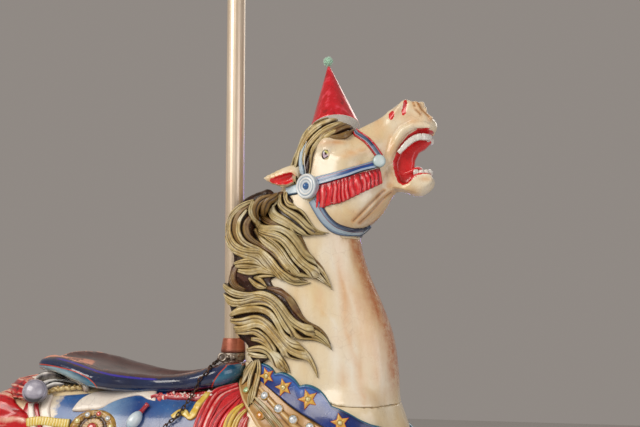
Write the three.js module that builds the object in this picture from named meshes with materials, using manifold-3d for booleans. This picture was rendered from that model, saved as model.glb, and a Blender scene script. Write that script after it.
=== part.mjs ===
// Carved wooden carousel horse (a jumper) on its brass-cased pole, with the floor sleeve that the pole slides in.
// Millimetres, +Z up, +X the way the horse faces, +Y its left side. The origin is the centre of the floor flange's underside, on the pole's axis.
// The horse is at the bottom of its stroke.
import * as THREE from "three";
import { LoftGeometry } from "three/addons/geometries/LoftGeometry.js";
import { mergeVertices } from "three/addons/utils/BufferGeometryUtils.js";
import Module from "manifold-3d";

const wasm = await Module();
wasm.setup();

// ---------------------------------------------------------------- driving dimensions
const GAP = 0.35; // between pieces that rest on each other
const POLE_R = 21; // brass casing, 42 mm across
const POLE_BOTTOM = 20;
const POLE_TOP = 2330;
const FLANGE_R = 95;
const FLANGE_T = 14;
const SLEEVE_R = 33;
const SLEEVE_BORE = 22.5;
const SLEEVE_TOP = 330;
const SEAT_Z = 936; // lowest point of the seat
const BLANKET_T = 7; // carved saddle cloth
const FLAP_T = 9; // saddle flap over it
const COLLAR_T = 13; // breast collar
const STRAP_T = 6; // bridle straps
const FRINGE_T = 12;
const MANE_T = 24;

// Side profiles: [top x, top z, bottom x, bottom z, half width, section exponent]
const TRUNK = [
  [-712, 768, -712, 738, 24, 2],
  [-700, 798, -700, 714, 78, 2.1],
  [-664, 826, -662, 682, 124, 2.2],
  [-600, 854, -597, 650, 152, 2.3],
  [-540, 888, -538, 632, 159, 2.35],
  [-480, 910, -480, 620, 160, 2.4],
  [-380, 928, -380, 602, 156, 2.4],
  [-250, 912, -250, 585, 152, 2.4],
  [-120, 908, -120, 575, 154, 2.4],
  [0, 922, 0, 575, 154, 2.4],
  [110, 934, 110, 590, 150, 2.4],
  [210, 930, 210, 618, 142, 2.3],
  [295, 912, 300, 655, 126, 2.2],
  [352, 886, 362, 700, 98, 2.1],
  [386, 858, 394, 745, 58, 2],
  [400, 830, 404, 778, 20, 2],
];
// front (throat) point, back (crest) point
const NECK = [
  [352, 800, 60, 845, 108, 2.3],
  [378, 868, 36, 900, 112, 2.4],
  [379, 922, 34, 962, 106, 2.5],
  [374, 976, 33, 1018, 99, 2.5],
  [361, 1048, 34, 1078, 91, 2.5],
  [340, 1096, 36, 1132, 85, 2.4],
  [311, 1168, 46, 1202, 78, 2.4],
  [298, 1210, 62, 1258, 74, 2.3],
  [292, 1240, 88, 1308, 71, 2.3],
  [280, 1282, 118, 1360, 68, 2.2],
  [262, 1340, 148, 1412, 62, 2.1],
  [240, 1400, 176, 1442, 44, 2],
];
const HEAD = [
  [170, 1425, 168, 1362, 34, 2],
  [183, 1474, 180, 1306, 66, 2.2],
  [222, 1499, 212, 1264, 84, 2.3],
  [262, 1494, 262, 1247, 88, 2.4],
  [290, 1483, 306, 1256, 82, 2.4],
  [310, 1494, 336, 1290, 72, 2.3],
  [331, 1507, 358, 1350, 60, 2.3],
  [352, 1520, 372, 1402, 52, 2.3],
  [376, 1538, 386, 1442, 48, 2.4],
  [402, 1548, 407, 1460, 50, 2.6],
  [428, 1545, 428, 1468, 50, 2.6],
  [448, 1524, 450, 1468, 44, 2.4],
  [463, 1500, 463, 1476, 24, 2],
];
const JAW = [
  [318, 1330, 310, 1268, 40, 2],
  [348, 1380, 336, 1276, 52, 2.2],
  [370, 1396, 364, 1314, 45, 2.3],
  [382, 1368, 384, 1338, 38, 2.3],
  [400, 1362, 399, 1336, 38, 2.3],
  [416, 1374, 412, 1329, 40, 2.4],
  [432, 1376, 430, 1329, 37, 2.4],
  [450, 1374, 448, 1342, 28, 2.2],
  [461, 1366, 460, 1352, 14, 2],
];

// ---------------------------------------------------------------- shape helpers
function catmull(rows, steps) {
  const out = [];
  const at = (i) => rows[Math.max(0, Math.min(rows.length - 1, i))];
  for (let i = 0; i < rows.length - 1; i++) {
    for (let k = 0; k < steps; k++) {
      const t = k / steps;
      out.push(
        rows[0].map((_, c) => {
          const [p0, p1, p2, p3] = [at(i - 1)[c], at(i)[c], at(i + 1)[c], at(i + 2)[c]];
          return (
            0.5 *
            (2 * p1 +
              (p2 - p0) * t +
              (2 * p0 - 5 * p1 + 4 * p2 - p3) * t * t +
              (3 * p1 - p0 - 3 * p2 + p3) * t * t * t)
          );
        }),
      );
    }
  }
  out.push(rows[rows.length - 1].slice());
  return out;
}

const power = (v, e) => Math.sign(v) * Math.pow(Math.abs(v), 2 / e);

// A body lofted through upright rungs in the plane of symmetry.
function rungLoft(rows, { around = 18, steps = 1, grow = 0 } = {}) {
  const sections = [];
  const fine = catmull(rows, steps);
  fine.forEach(([tx, tz, bx, bz, w, e], i) => {
    const mid = new THREE.Vector2((tx + bx) / 2, (tz + bz) / 2);
    const half = new THREE.Vector2((tx - bx) / 2, (tz - bz) / 2);
    const length = half.length();
    half.multiplyScalar((length + grow) / length);
    // the ends move out by the growth too
    let shift = new THREE.Vector2(0, 0);
    if (grow && (i === 0 || i === fine.length - 1)) {
      const other = fine[i === 0 ? 1 : fine.length - 2];
      shift = new THREE.Vector2(
        mid.x - (other[0] + other[2]) / 2,
        mid.y - (other[1] + other[3]) / 2,
      )
        .normalize()
        .multiplyScalar(grow);
    }
    const points = [];
    for (let j = 0; j < around; j++) {
      const a = ((j + 0.5) / around) * Math.PI * 2;
      const c = power(Math.cos(a), e);
      const s = power(Math.sin(a), e);
      points.push(
        new THREE.Vector3(
          mid.x + half.x * c + shift.x,
          (w + grow) * s,
          mid.y + half.y * c + shift.y,
        ),
      );
    }
    sections.push(points);
  });
  return loft(sections);
}

// A tube lofted along 3-D points: rows of [x, y, z, radius in the plane of symmetry, radius sideways]
function limb(rows, { around = 10, steps = 1, grow = 0 } = {}) {
  const fine = catmull(rows, steps);
  const sections = fine.map((row, i) => {
    const before = fine[Math.max(0, i - 1)];
    const after = fine[Math.min(fine.length - 1, i + 1)];
    const along = new THREE.Vector3(
      after[0] - before[0],
      after[1] - before[1],
      after[2] - before[2],
    ).normalize();
    const side = new THREE.Vector3(0, 1, 0);
    side.addScaledVector(along, -side.dot(along)).normalize();
    const up = new THREE.Vector3().crossVectors(side, along).normalize();
    const end = i === 0 ? -grow : i === fine.length - 1 ? grow : 0;
    const centre = new THREE.Vector3(row[0], row[1], row[2]).addScaledVector(along, end);
    return Array.from({ length: around }, (_, j) => {
      const a = ((j + 0.5) / around) * Math.PI * 2;
      return centre
        .clone()
        .addScaledVector(up, Math.cos(a) * (row[3] + grow))
        .addScaledVector(side, Math.sin(a) * (row[4] + grow));
    });
  });
  return loft(sections);
}

// Rings joined into a solid; each ring is put counterclockwise as seen from the far end.
function loft(sections) {
  const centre = (ring) =>
    ring.reduce((sum, p) => sum.add(p), new THREE.Vector3()).divideScalar(ring.length);
  const along = centre(sections[1]).sub(centre(sections[0]));
  const normal = new THREE.Vector3();
  sections[0].forEach((p, i) => {
    const q = sections[0][(i + 1) % sections[0].length];
    normal.add(new THREE.Vector3().crossVectors(p, q));
  });
  const rings = normal.dot(along) < 0 ? sections.map((ring) => ring.slice().reverse()) : sections;
  return solid(new LoftGeometry(rings, { closed: true, capStart: true, capEnd: true }));
}

// A closed geometry becomes a solid; an inside-out one is turned round.
function solid(geometry) {
  const g = geometry.index ? geometry.toNonIndexed() : geometry.clone();
  const bare = new THREE.BufferGeometry().setAttribute("position", g.getAttribute("position"));
  const merged = mergeVertices(bare, 1e-3);
  const make = (triVerts) =>
    new wasm.Manifold(
      new wasm.Mesh({
        numProp: 3,
        vertProperties: merged.attributes.position.array,
        triVerts,
      }),
    );
  const tris = new Uint32Array(merged.index.array);
  const made = make(tris);
  if (made.volume() >= 0) return made;
  for (let i = 0; i < tris.length; i += 3) [tris[i + 1], tris[i + 2]] = [tris[i + 2], tris[i + 1]];
  return make(tris);
}

function geometryOf(manifold) {
  const m = manifold.getMesh();
  const position = new Float32Array(m.numVert * 3);
  for (let i = 0; i < m.numVert; i++)
    for (let k = 0; k < 3; k++) position[3 * i + k] = m.vertProperties[m.numProp * i + k];
  return new THREE.BufferGeometry()
    .setAttribute("position", new THREE.BufferAttribute(position, 3))
    .setIndex(new THREE.BufferAttribute(new Uint32Array(m.triVerts), 1));
}

// An outline in the side view, [x, z], pushed sideways from y0 to y1.
function prism(outline, y0, y1) {
  const shape = new THREE.Shape(outline.map(([x, z]) => new THREE.Vector2(x, z)));
  const g = new THREE.ExtrudeGeometry(shape, { depth: y1 - y0, bevelEnabled: false });
  g.rotateX(Math.PI / 2);
  g.translate(0, y1, 0);
  return solid(g);
}

// A band of constant width along a line of [x, z] points, as an outline.
function band(line, width) {
  const left = [];
  const right = [];
  line.forEach(([x, z], i) => {
    const a = line[Math.max(0, i - 1)];
    const b = line[Math.min(line.length - 1, i + 1)];
    const d = new THREE.Vector2(b[0] - a[0], b[1] - a[1]).normalize();
    left.push([x - (d.y * width) / 2, z + (d.x * width) / 2]);
    right.unshift([x + (d.y * width) / 2, z - (d.x * width) / 2]);
  });
  return [...left, ...right];
}

function lathe(profile, around, { x = 0, y = 0, z = 0, turn = null } = {}) {
  const g = new THREE.LatheGeometry(
    profile.map(([r, h]) => new THREE.Vector2(r, h)),
    around,
  );
  g.rotateX(Math.PI / 2); // its axis along +Z
  if (turn) g.applyQuaternion(turn);
  g.translate(x, y, z);
  return solid(g);
}

// The other side's twin, across the plane of symmetry.
function mirrored(manifold) {
  const g = geometryOf(manifold);
  const position = g.getAttribute("position");
  for (let i = 0; i < position.count; i++) position.setY(i, -position.getY(i));
  const tris = new Uint32Array(g.index.array);
  for (let i = 0; i < tris.length; i += 3) [tris[i + 1], tris[i + 2]] = [tris[i + 2], tris[i + 1]];
  return new wasm.Manifold(
    new wasm.Mesh({ numProp: 3, vertProperties: position.array, triVerts: tris }),
  );
}

const RIGHT_SIDE = solid(new THREE.BoxGeometry(3000, 1000, 3000).translate(0, -500, 1200));
const even = (manifold) => {
  const half = manifold.intersect(RIGHT_SIDE);
  return half.add(mirrored(half));
};

function largest(manifold) {
  const pieces = manifold.decompose();
  pieces.sort((a, b) => b.volume() - a.volume());
  return pieces[0];
}

// ---------------------------------------------------------------- the horse's masses
const trunkAt = (grow) => even(rungLoft(TRUNK, { around: 20, steps: 1, grow }));
const neckAt = (grow) => even(rungLoft(NECK, { around: 18, steps: 1, grow }));
const headAt = (grow) => even(rungLoft(HEAD, { around: 18, steps: 1, grow }));
const jawAt = (grow) => even(rungLoft(JAW, { around: 14, steps: 1, grow }));
const poleAt = (grow) =>
  solid(
    new THREE.CylinderGeometry(POLE_R + grow, POLE_R + grow, POLE_TOP - POLE_BOTTOM, 24)
      .rotateX(Math.PI / 2)
      .translate(0, 0, (POLE_TOP + POLE_BOTTOM) / 2),
  );
const trunkGap = trunkAt(GAP);
const neckGap = neckAt(GAP);
const headGap = headAt(GAP);
const jawGap = jawAt(GAP);
const poleGap = poleAt(GAP);

const trunk = trunkAt(0).subtract(poleGap);
const neck = neckAt(0).subtract(trunkGap).subtract(poleGap);
const head = headAt(0).subtract(neckGap);
const lowerJaw = largest(jawAt(0).subtract(headGap).subtract(neckGap));

// ---------------------------------------------------------------- legs and hooves
// rows of [x, y, z, radius fore and aft, radius sideways]
const FORELEG_R = [
  [252, -92, 742, 62, 40],
  [276, -104, 690, 58, 42],
  [318, -112, 640, 44, 36],
  [356, -114, 598, 35, 30],
  [392, -114, 560, 33, 29],
  [404, -113, 534, 30, 27],
  [396, -111, 500, 23, 21],
  [382, -110, 458, 19, 18],
  [368, -110, 420, 22, 21],
  [352, -109, 396, 24, 23],
];
const FOREHOOF_R = [
  [350, -109, 392, 27, 25],
  [336, -109, 368, 33, 31],
  [322, -109, 346, 38, 36],
];
const FORELEG_L = [
  [256, 92, 742, 62, 40],
  [290, 104, 694, 58, 42],
  [342, 112, 656, 44, 36],
  [390, 114, 628, 35, 30],
  [432, 114, 602, 33, 29],
  [446, 113, 578, 30, 27],
  [442, 111, 542, 23, 21],
  [430, 110, 502, 19, 18],
  [418, 110, 466, 22, 21],
  [402, 109, 442, 24, 23],
];
const FOREHOOF_L = [
  [400, 109, 438, 27, 25],
  [384, 109, 416, 33, 31],
  [368, 109, 396, 38, 36],
];
const HINDLEG_R = [
  [-574, -98, 788, 86, 50],
  [-556, -112, 726, 90, 52],
  [-536, -118, 662, 72, 46],
  [-556, -120, 612, 52, 38],
  [-600, -120, 566, 38, 30],
  [-640, -118, 532, 33, 28],
  [-658, -116, 500, 30, 25],
  [-662, -114, 452, 22, 20],
  [-664, -113, 412, 21, 20],
  [-676, -112, 378, 25, 24],
  [-690, -112, 358, 25, 24],
];
const HINDHOOF_R = [
  [-692, -112, 354, 27, 25],
  [-708, -112, 332, 33, 31],
  [-724, -112, 312, 38, 36],
];
const HINDLEG_L = [
  [-576, 98, 788, 86, 50],
  [-566, 112, 730, 90, 52],
  [-560, 118, 672, 72, 46],
  [-594, 120, 632, 52, 38],
  [-650, 120, 600, 38, 30],
  [-698, 118, 576, 33, 28],
  [-722, 116, 548, 30, 25],
  [-732, 114, 500, 22, 20],
  [-740, 113, 460, 21, 20],
  [-756, 112, 428, 25, 24],
  [-772, 112, 410, 25, 24],
];
const HINDHOOF_L = [
  [-774, 112, 406, 27, 25],
  [-792, 112, 386, 33, 31],
  [-810, 112, 368, 38, 36],
];
const legSolid = (rows) => largest(limb(rows).subtract(trunkGap));
// the hoof, with its shoe, is cut square where the fetlock stands in it
const hoofSolid = (rows, leg) => largest(limb(rows).subtract(limb(leg, { grow: GAP })));

// ---------------------------------------------------------------- tail, ears
const TAIL = [
  [-668, 0, 800, 26, 26],
  [-702, 0, 814, 31, 29],
  [-744, 0, 802, 39, 35],
  [-780, 0, 760, 46, 41],
  [-798, 0, 700, 50, 44],
  [-799, 0, 636, 48, 42],
  [-795, 0, 576, 42, 38],
  [-806, 0, 520, 33, 31],
  [-828, 0, 480, 20, 20],
  [-846, 0, 456, 7, 7],
];
const tail = largest(limb(TAIL, { around: 12 }).subtract(trunkGap));

const EAR_R = [
  [176, -50, 1382, 30, 17],
  [152, -60, 1376, 30, 17],
  [120, -64, 1374, 22, 13],
  [98, -62, 1374, 10, 8],
  [86, -60, 1374, 2.5, 2.5],
];
const earWhole = limb(EAR_R, { around: 10 }).subtract(headGap).subtract(neckGap);

// ---------------------------------------------------------------- mouth
const upperTeeth = largest(
  prism(
    [
      [388, 1428],
      [396, 1443],
      [408, 1454],
      [424, 1461],
      [444, 1462],
      [459, 1452],
      [460, 1447],
      [442, 1446],
      [424, 1444],
      [409, 1438],
      [393, 1422],
    ],
    -42,
    42,
  )
    .subtract(
      prism(
        [
          [380, 1400],
          [438, 1400],
          [438, 1480],
          [380, 1480],
        ],
        -33,
        33,
      ),
    )
    .subtract(headGap)
    .subtract(jawGap),
);
const lowerTeeth = largest(
  prism(
    [
      [417, 1372],
      [419, 1385],
      [440, 1385],
      [457, 1382],
      [452, 1372],
    ],
    -28,
    28,
  )
    .subtract(
      prism(
        [
          [400, 1350],
          [442, 1350],
          [442, 1400],
          [400, 1400],
        ],
        -19,
        19,
      ),
    )
    .subtract(jawGap),
);
const tongueAt = (grow) =>
  limb(
    [
      [372, 0, 1388, 8, 14],
      [388, 0, 1386, 12, 20],
      [406, 0, 1384, 12, 20],
      [424, 0, 1388, 9, 15],
      [434, 0, 1390, 3, 6],
    ],
    { grow },
  );
const tongue = largest(
  tongueAt(0)
    .subtract(jawGap)
    .subtract(headGap)
    .subtract(
      prism(
        [
          [416, 1350],
          [460, 1350],
          [460, 1386],
          [416, 1386],
        ],
        -29,
        29,
      ),
    ),
);

// ---------------------------------------------------------------- eyes
const eyeBall = (grow) =>
  solid(
    new THREE.SphereGeometry(11 + grow, 16, 10).scale(1, 0.8, 1).translate(232, -78, 1414),
  );
const eye = largest(eyeBall(0).subtract(headGap));

// ---------------------------------------------------------------- hair
const MANE_OUTLINE = [
  [168, 1440],
  [150, 1400],
  [132, 1372],
  [108, 1352],
  [72, 1330],
  [42, 1292],
  [28, 1240],
  [32, 1190],
  [40, 1150],
  [26, 1110],
  [26, 1060],
  [36, 1010],
  [60, 985],
  [92, 975],
  [104, 958],
  [160, 942],
  [186, 946],
  [150, 1000],
  [232, 932],
  [214, 980],
  [180, 1012],
  [256, 1004],
  [244, 1030],
  [190, 1090],
  [150, 1110],
  [206, 1150],
  [258, 1128],
  [246, 1160],
  [214, 1210],
  [196, 1240],
  [252, 1256],
  [222, 1268],
  [190, 1310],
  [176, 1350],
];
const FORELOCK_OUTLINE = [
  [146, 1366],
  [148, 1388],
  [154, 1416],
  [150, 1452],
  [160, 1480],
  [185, 1520],
  [240, 1530],
  [292, 1512],
  [286, 1470],
  [262, 1452],
  [230, 1452],
  [208, 1442],
  [198, 1420],
  [192, 1386],
  [178, 1384],
];
const forelockAt = () =>
  largest(
    headAt(13)
      .intersect(prism(FORELOCK_OUTLINE, -150, 150))
      .subtract(headGap)
      .subtract(neckAt(2))
      .subtract(limb(EAR_R, { around: 10, grow: 1 }))
      .subtract(
        limb(
          EAR_R.map(([x, y, z, a, b]) => [x, -y, z, a, b]),
          { around: 10, grow: 1 },
        ),
      ),
  );
const forelock = forelockAt();

// ---------------------------------------------------------------- bridle
const strapOn = (outline, thick, y0, y1, under = GAP) =>
  headAt(thick).intersect(prism(outline, y0, y1)).subtract(headAt(under)).subtract(neckAt(1));
const CHEEK_LINE = [
  [212, 1355],
  [275, 1371],
  [336, 1390],
];
const cheekStrap = largest(strapOn(band(CHEEK_LINE, 22), STRAP_T, -150, 0));
const FRINGE_OUTLINE = [
  [213, 1341],
  [276, 1358],
  [342, 1377],
  [355, 1349],
  [318, 1332],
  [275, 1316],
  [235, 1304],
  [211, 1299],
];
const fringe = largest(strapOn(FRINGE_OUTLINE, FRINGE_T, -150, 0).subtract(jawAt(1)));
const NOSE_LINE = [
  [268, 1530],
  [287, 1468],
  [306, 1453],
  [324, 1434],
  [332, 1420],
];
const noseband = largest(
  strapOn(
    [
      [266, 1520],
      [281, 1458],
      [300, 1446],
      [316, 1428],
      [326, 1412],
      [340, 1420],
      [331, 1440],
      [312, 1462],
      [298, 1476],
      [296, 1520],
    ],
    STRAP_T,
    -150,
    150,
  ).subtract(
    headAt(13.6).intersect(prism(FORELOCK_OUTLINE, -150, 150)),
  ),
);
const THROAT_LINE = [
  [203, 1316],
  [212, 1300],
  [224, 1288],
  [247, 1265],
  [273, 1250],
  [300, 1250],
  [326, 1256],
];
const throatStrap = largest(
  headAt(STRAP_T)
    .intersect(
      prism(
        [
          [196, 1312],
          [205, 1294],
          [222, 1274],
          [246, 1244],
          [272, 1228],
          [306, 1228],
          [334, 1240],
          [324, 1268],
          [300, 1262],
          [276, 1262],
          [254, 1278],
          [233, 1298],
          [214, 1318],
        ],
        -150,
        150,
      ),
    )
    .subtract(headGap)
    .subtract(neckAt(1))
    .subtract(jawAt(1))
    .subtract(strapOn(FRINGE_OUTLINE, FRINGE_T + 0.6, -150, 150)),
);
const outFrom = (x, y, z) =>
  new THREE.Quaternion().setFromUnitVectors(
    new THREE.Vector3(0, 0, 1),
    new THREE.Vector3(x, y, z).normalize(),
  );
const rosetteAt = (grow) =>
  lathe(
    [
      [0, -20 - grow],
      [28.5 + grow, -20 - grow],
      [28.5 + grow, 5 + grow],
      [24, 9 + grow],
      [12, 9 + grow],
      [8, 12 + grow],
      [0, 12 + grow],
    ],
    20,
    { x: 190, y: -82, z: 1348, turn: outFrom(-0.5, -1, 0) },
  );
const ear = largest(earWhole.subtract(rosetteAt(1)));
const rosette = largest(rosetteAt(0).subtract(headGap).subtract(neckGap));
const buttonAt = (grow) =>
  lathe(
    [
      [0, -16 - grow],
      [16 + grow, -16 - grow],
      [16 + grow, 6 + grow],
      [12, 9 + grow],
      [0, 10 + grow],
    ],
    16,
    { x: 346, y: -64, z: 1401, turn: outFrom(0.35, -1, 0.1) },
  );
const button = largest(buttonAt(0).subtract(headGap).subtract(jawGap));

// ---------------------------------------------------------------- trappings
const COLLAR_OUTLINE = [
  [64, 962],
  [108, 972],
  [134, 953],
  [166, 948],
  [188, 926],
  [212, 928],
  [242, 908],
  [263, 886],
  [299, 870],
  [346, 848],
  [430, 800],
  [430, 690],
  [300, 700],
  [200, 760],
  [96, 842],
  [77, 879],
  [62, 906],
  [60, 930],
];
const maneAt = (outline) =>
  largest(
    neckAt(MANE_T)
      .intersect(prism(outline, -260, -6))
      .subtract(neckGap)
      .subtract(headAt(STRAP_T + FRINGE_T))
      .subtract(trunkAt(COLLAR_T + 1))
      .subtract(neckAt(COLLAR_T + 1).intersect(prism(COLLAR_OUTLINE, -300, 300)))
      .subtract(rosetteAt(1))
      .subtract(poleAt(1.5))
      .subtract(limb(EAR_R, { around: 10, grow: 1 })),
  );
const mane = maneAt(MANE_OUTLINE);

const collarFull = trunkAt(COLLAR_T)
  .add(neckAt(COLLAR_T))
  .intersect(prism(COLLAR_OUTLINE, -300, 300))
  .subtract(trunkGap)
  .subtract(neckGap);
const halfSpace = (y0, y1) =>
  prism(
    [
      [-1200, 0],
      [1200, 0],
      [1200, 2600],
      [-1200, 2600],
    ],
    y0,
    y1,
  );
// the forelegs stand clear below the collar
const collar = largest(
  collarFull
    .subtract(limb(FORELEG_R, { grow: 1 }))
    .subtract(limb(FORELEG_L, { grow: 1 }))
    .subtract(poleAt(1)),
);

const BLANKET_OUTLINE = [
  [-636, 960],
  [-642, 816],
  [-622, 762],
  [-560, 736],
  [-480, 726],
  [-380, 730],
  [-260, 716],
  [-160, 700],
  [-60, 712],
  [20, 742],
  [84, 812],
  [74, 878],
  [58, 900],
  [56, 960],
];
const blanketFull = trunkAt(BLANKET_T)
  .intersect(prism(BLANKET_OUTLINE, -300, 300))
  .subtract(trunkGap)
  .subtract(neckAt(1))
  .subtract(poleGap);
const blanket = largest(
  blanketFull
    .subtract(limb(HINDLEG_R, { grow: 1 }))
    .subtract(limb(HINDLEG_L, { grow: 1 }))
    .subtract(limb(HINDLEG_L.map(([x, y, z, a, b]) => [x, -y, z, a, b]), { grow: 1 }))
    .subtract(limb(TAIL, { around: 12, grow: 1 }))
    .intersect(halfSpace(-400, -0.2)),
);
const FLAP_OUTLINE = [
  [-300, 916],
  [-292, 850],
  [-262, 800],
  [-200, 772],
  [-120, 764],
  [-50, 776],
  [-14, 820],
  [-10, 912],
];
const flap = largest(
  trunkAt(BLANKET_T + FLAP_T)
    .intersect(prism(FLAP_OUTLINE, -300, -40))
    .subtract(trunkAt(BLANKET_T + GAP)),
);

// saddle: rungs from cantle to pommel
const SADDLE = [
  [-440, 966, -435, 936, 84, 2.6],
  [-422, 975, -417, 936, 104, 2.8],
  [-380, 976, -378, 930, 120, 3],
  [-325, 965, -323, 912, 136, 3.1],
  [-285, 953, -285, 902, 142, 3.2],
  [-245, 946, -245, 896, 130, 3.2],
  [-205, 940, -205, 892, 108, 3.2],
  [-160, SEAT_Z, -160, 890, 89, 3.2],
  [-110, 938, -110, 892, 88, 3.2],
  [-60, 949, -60, 898, 98, 3.2],
  [-20, 962, -20, 904, 100, 3],
  [14, 968, 14, 914, 88, 2.8],
  [36, 964, 38, 932, 64, 2.4],
];
const saddleAt = (grow) => even(rungLoft(SADDLE, { around: 18, steps: 1, grow }));
// the pommel is bored out for the pole and counterbored for its fittings
const counterbore = solid(
  new THREE.CylinderGeometry(29.5, 29.5, 60, 28).rotateX(Math.PI / 2).translate(0, 0, 988),
).add(
  solid(
    new THREE.BoxGeometry(44, 26, 40).rotateZ(0.2).translate(-6, -33, 981),
  ),
);
const saddle = largest(
  saddleAt(0)
    .subtract(trunkAt(BLANKET_T + FLAP_T + GAP))
    .subtract(neckAt(1))
    .subtract(counterbore)
    .subtract(poleGap),
);
const flapCut = largest(flap.subtract(saddleAt(GAP)));

// rolled blanket round the back of the cantle
const ROLL = [
  [-418, -142, 898, 20, 20],
  [-440, -132, 900, 23, 23],
  [-468, -104, 899, 25, 25],
  [-489, -54, 897, 26, 26],
  [-495, 0, 896, 26, 26],
  [-489, 54, 897, 26, 26],
  [-468, 104, 899, 25, 25],
  [-440, 132, 900, 23, 23],
  [-418, 142, 898, 20, 20],
];
function rollAt(grow) {
  const sections = ROLL.map(([x, y, z, r], i) => {
    const a = ROLL[Math.max(0, i - 1)];
    const b = ROLL[Math.min(ROLL.length - 1, i + 1)];
    const along = new THREE.Vector3(b[0] - a[0], b[1] - a[1], b[2] - a[2]).normalize();
    const fore = new THREE.Vector3()
      .crossVectors(along, new THREE.Vector3(0, 0, 1))
      .normalize();
    const up = new THREE.Vector3().crossVectors(fore, along).normalize();
    return Array.from({ length: 12 }, (_, j) => {
      const t = ((j + 0.5) / 12) * Math.PI * 2;
      return new THREE.Vector3(x, y, z)
        .addScaledVector(fore, Math.cos(t) * (r + grow))
        .addScaledVector(up, Math.sin(t) * (r + grow));
    });
  });
  return loft(sections);
}
const roll = largest(
  rollAt(0)
    .subtract(trunkAt(BLANKET_T + GAP))
    .subtract(saddleAt(1)),
);

// ---------------------------------------------------------------- pole fittings
const collarCone = lathe(
  [
    [POLE_R + GAP, 982],
    [28, 982],
    [28, 986],
    [23.5, 1014],
    [POLE_R + GAP, 1014],
    [POLE_R + GAP, 982],
  ],
  24,
);
const baseRing = lathe(
  [
    [POLE_R + GAP, 958.8],
    [27, 958.8],
    [28.5, 962],
    [28.5, 978],
    [27, 981.6],
    [POLE_R + GAP, 981.6],
    [POLE_R + GAP, 958.8],
  ],
  24,
);
const eyeBoltAt = (grow) =>
  solid(
    new THREE.TorusGeometry(8, 3 + grow, 8, 14)
      .rotateX(Math.PI / 2)
      .rotateZ(0.2)
      .translate(-15, -35, 972.5),
  )
    .add(
      solid(
        new THREE.CylinderGeometry(2.7 + grow, 2.7 + grow, 22, 10)
          .rotateZ(Math.PI / 2)
          .rotateZ(0.2)
          .translate(4, -31.2, 972.5),
      ),
    )
    .add(solid(new THREE.BoxGeometry(7, 10, 12).translate(4, -29, 972.5)));
const eyeBolt = largest(
  eyeBoltAt(0).subtract(
    solid(
      new THREE.CylinderGeometry(28.5 + GAP, 28.5 + GAP, 60, 24)
        .rotateX(Math.PI / 2)
        .translate(0, 0, 970),
    ),
  ),
);
const poleCap = lathe(
  [
    [0, POLE_TOP + GAP],
    [30, POLE_TOP + GAP],
    [30, POLE_TOP + 26],
    [24, POLE_TOP + 34],
    [0, POLE_TOP + 34],
  ],
  24,
);
// foot rest: a cast collar on the pole with a peg each side
const footRest = (() => {
  let bar = solid(
    new THREE.CylinderGeometry(36, 36, 44, 20).rotateX(Math.PI / 2).translate(0, 0, 470),
  );
  bar = bar.add(solid(new THREE.CylinderGeometry(12, 12, 420, 12).translate(0, 0, 470)));
  for (const side of [-1, 1])
    bar = bar.add(
      solid(new THREE.CylinderGeometry(19, 19, 12, 16).translate(0, side * 206, 470)),
    );
  return bar.subtract(poleGap);
})();

// safety chain from the eye bolt to a ring on the blanket
const CHAIN = [
  [-25, -36, 965, 3.6, 3.6],
  [-36, -56, 962, 3.6, 3.6],
  [-46, -82, 957, 3.6, 3.6],
  [-54, -104, 946, 3.6, 3.6],
  [-60, -122, 926, 3.6, 3.6],
  [-66, -146, 900, 3.6, 3.6],
  [-74, -168, 876, 3.6, 3.6],
  [-88, -176, 848, 3.6, 3.6],
  [-104, -180, 815, 3.6, 3.6],
  [-124, -182, 780, 3.6, 3.6],
];
const chain = (() => {
  const sections = CHAIN.map(([x, y, z, r], i) => {
    const a = CHAIN[Math.max(0, i - 1)];
    const b = CHAIN[Math.min(CHAIN.length - 1, i + 1)];
    const along = new THREE.Vector3(b[0] - a[0], b[1] - a[1], b[2] - a[2]).normalize();
    const fore = new THREE.Vector3(1, 0, 0).addScaledVector(along, -along.x).normalize();
    const up = new THREE.Vector3().crossVectors(fore, along).normalize();
    return Array.from({ length: 8 }, (_, j) => {
      const t = (j / 8) * Math.PI * 2;
      return new THREE.Vector3(x, y, z)
        .addScaledVector(fore, Math.cos(t) * r)
        .addScaledVector(up, Math.sin(t) * r);
    });
  });
  return loft(sections);
})();
const chainCut = largest(
  chain
    .subtract(saddleAt(GAP))
    .subtract(trunkAt(BLANKET_T + FLAP_T + GAP))
    .subtract(eyeBoltAt(GAP))
    .subtract(
      solid(
        new THREE.CylinderGeometry(29, 29, 60, 24).rotateX(Math.PI / 2).translate(0, 0, 970),
      ),
    ),
);

// ---------------------------------------------------------------- party hat
// the hat leans back and towards the horse's left
const HAT_AXIS = new THREE.Vector3(-0.15, 0.33, 0.93).normalize();
const HAT_H = 170;
const hatTurn = new THREE.Quaternion().setFromUnitVectors(new THREE.Vector3(0, 0, 1), HAT_AXIS);
const hat = largest(
  lathe(
    [
      [55, 0],
      [56.2, 0],
      [2.2, HAT_H],
      [0, HAT_H],
      [0, HAT_H - 4],
      [55, 0],
    ],
    24,
    { x: 236, y: 0, z: 1490, turn: hatTurn },
  )
    .subtract(headGap)
    .subtract(headAt(13.6).intersect(prism(FORELOCK_OUTLINE, -160, 160))),
);
const pompom = solid(new THREE.SphereGeometry(12, 14, 8).translate(208.5, 60.5, 1660.2));

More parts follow.
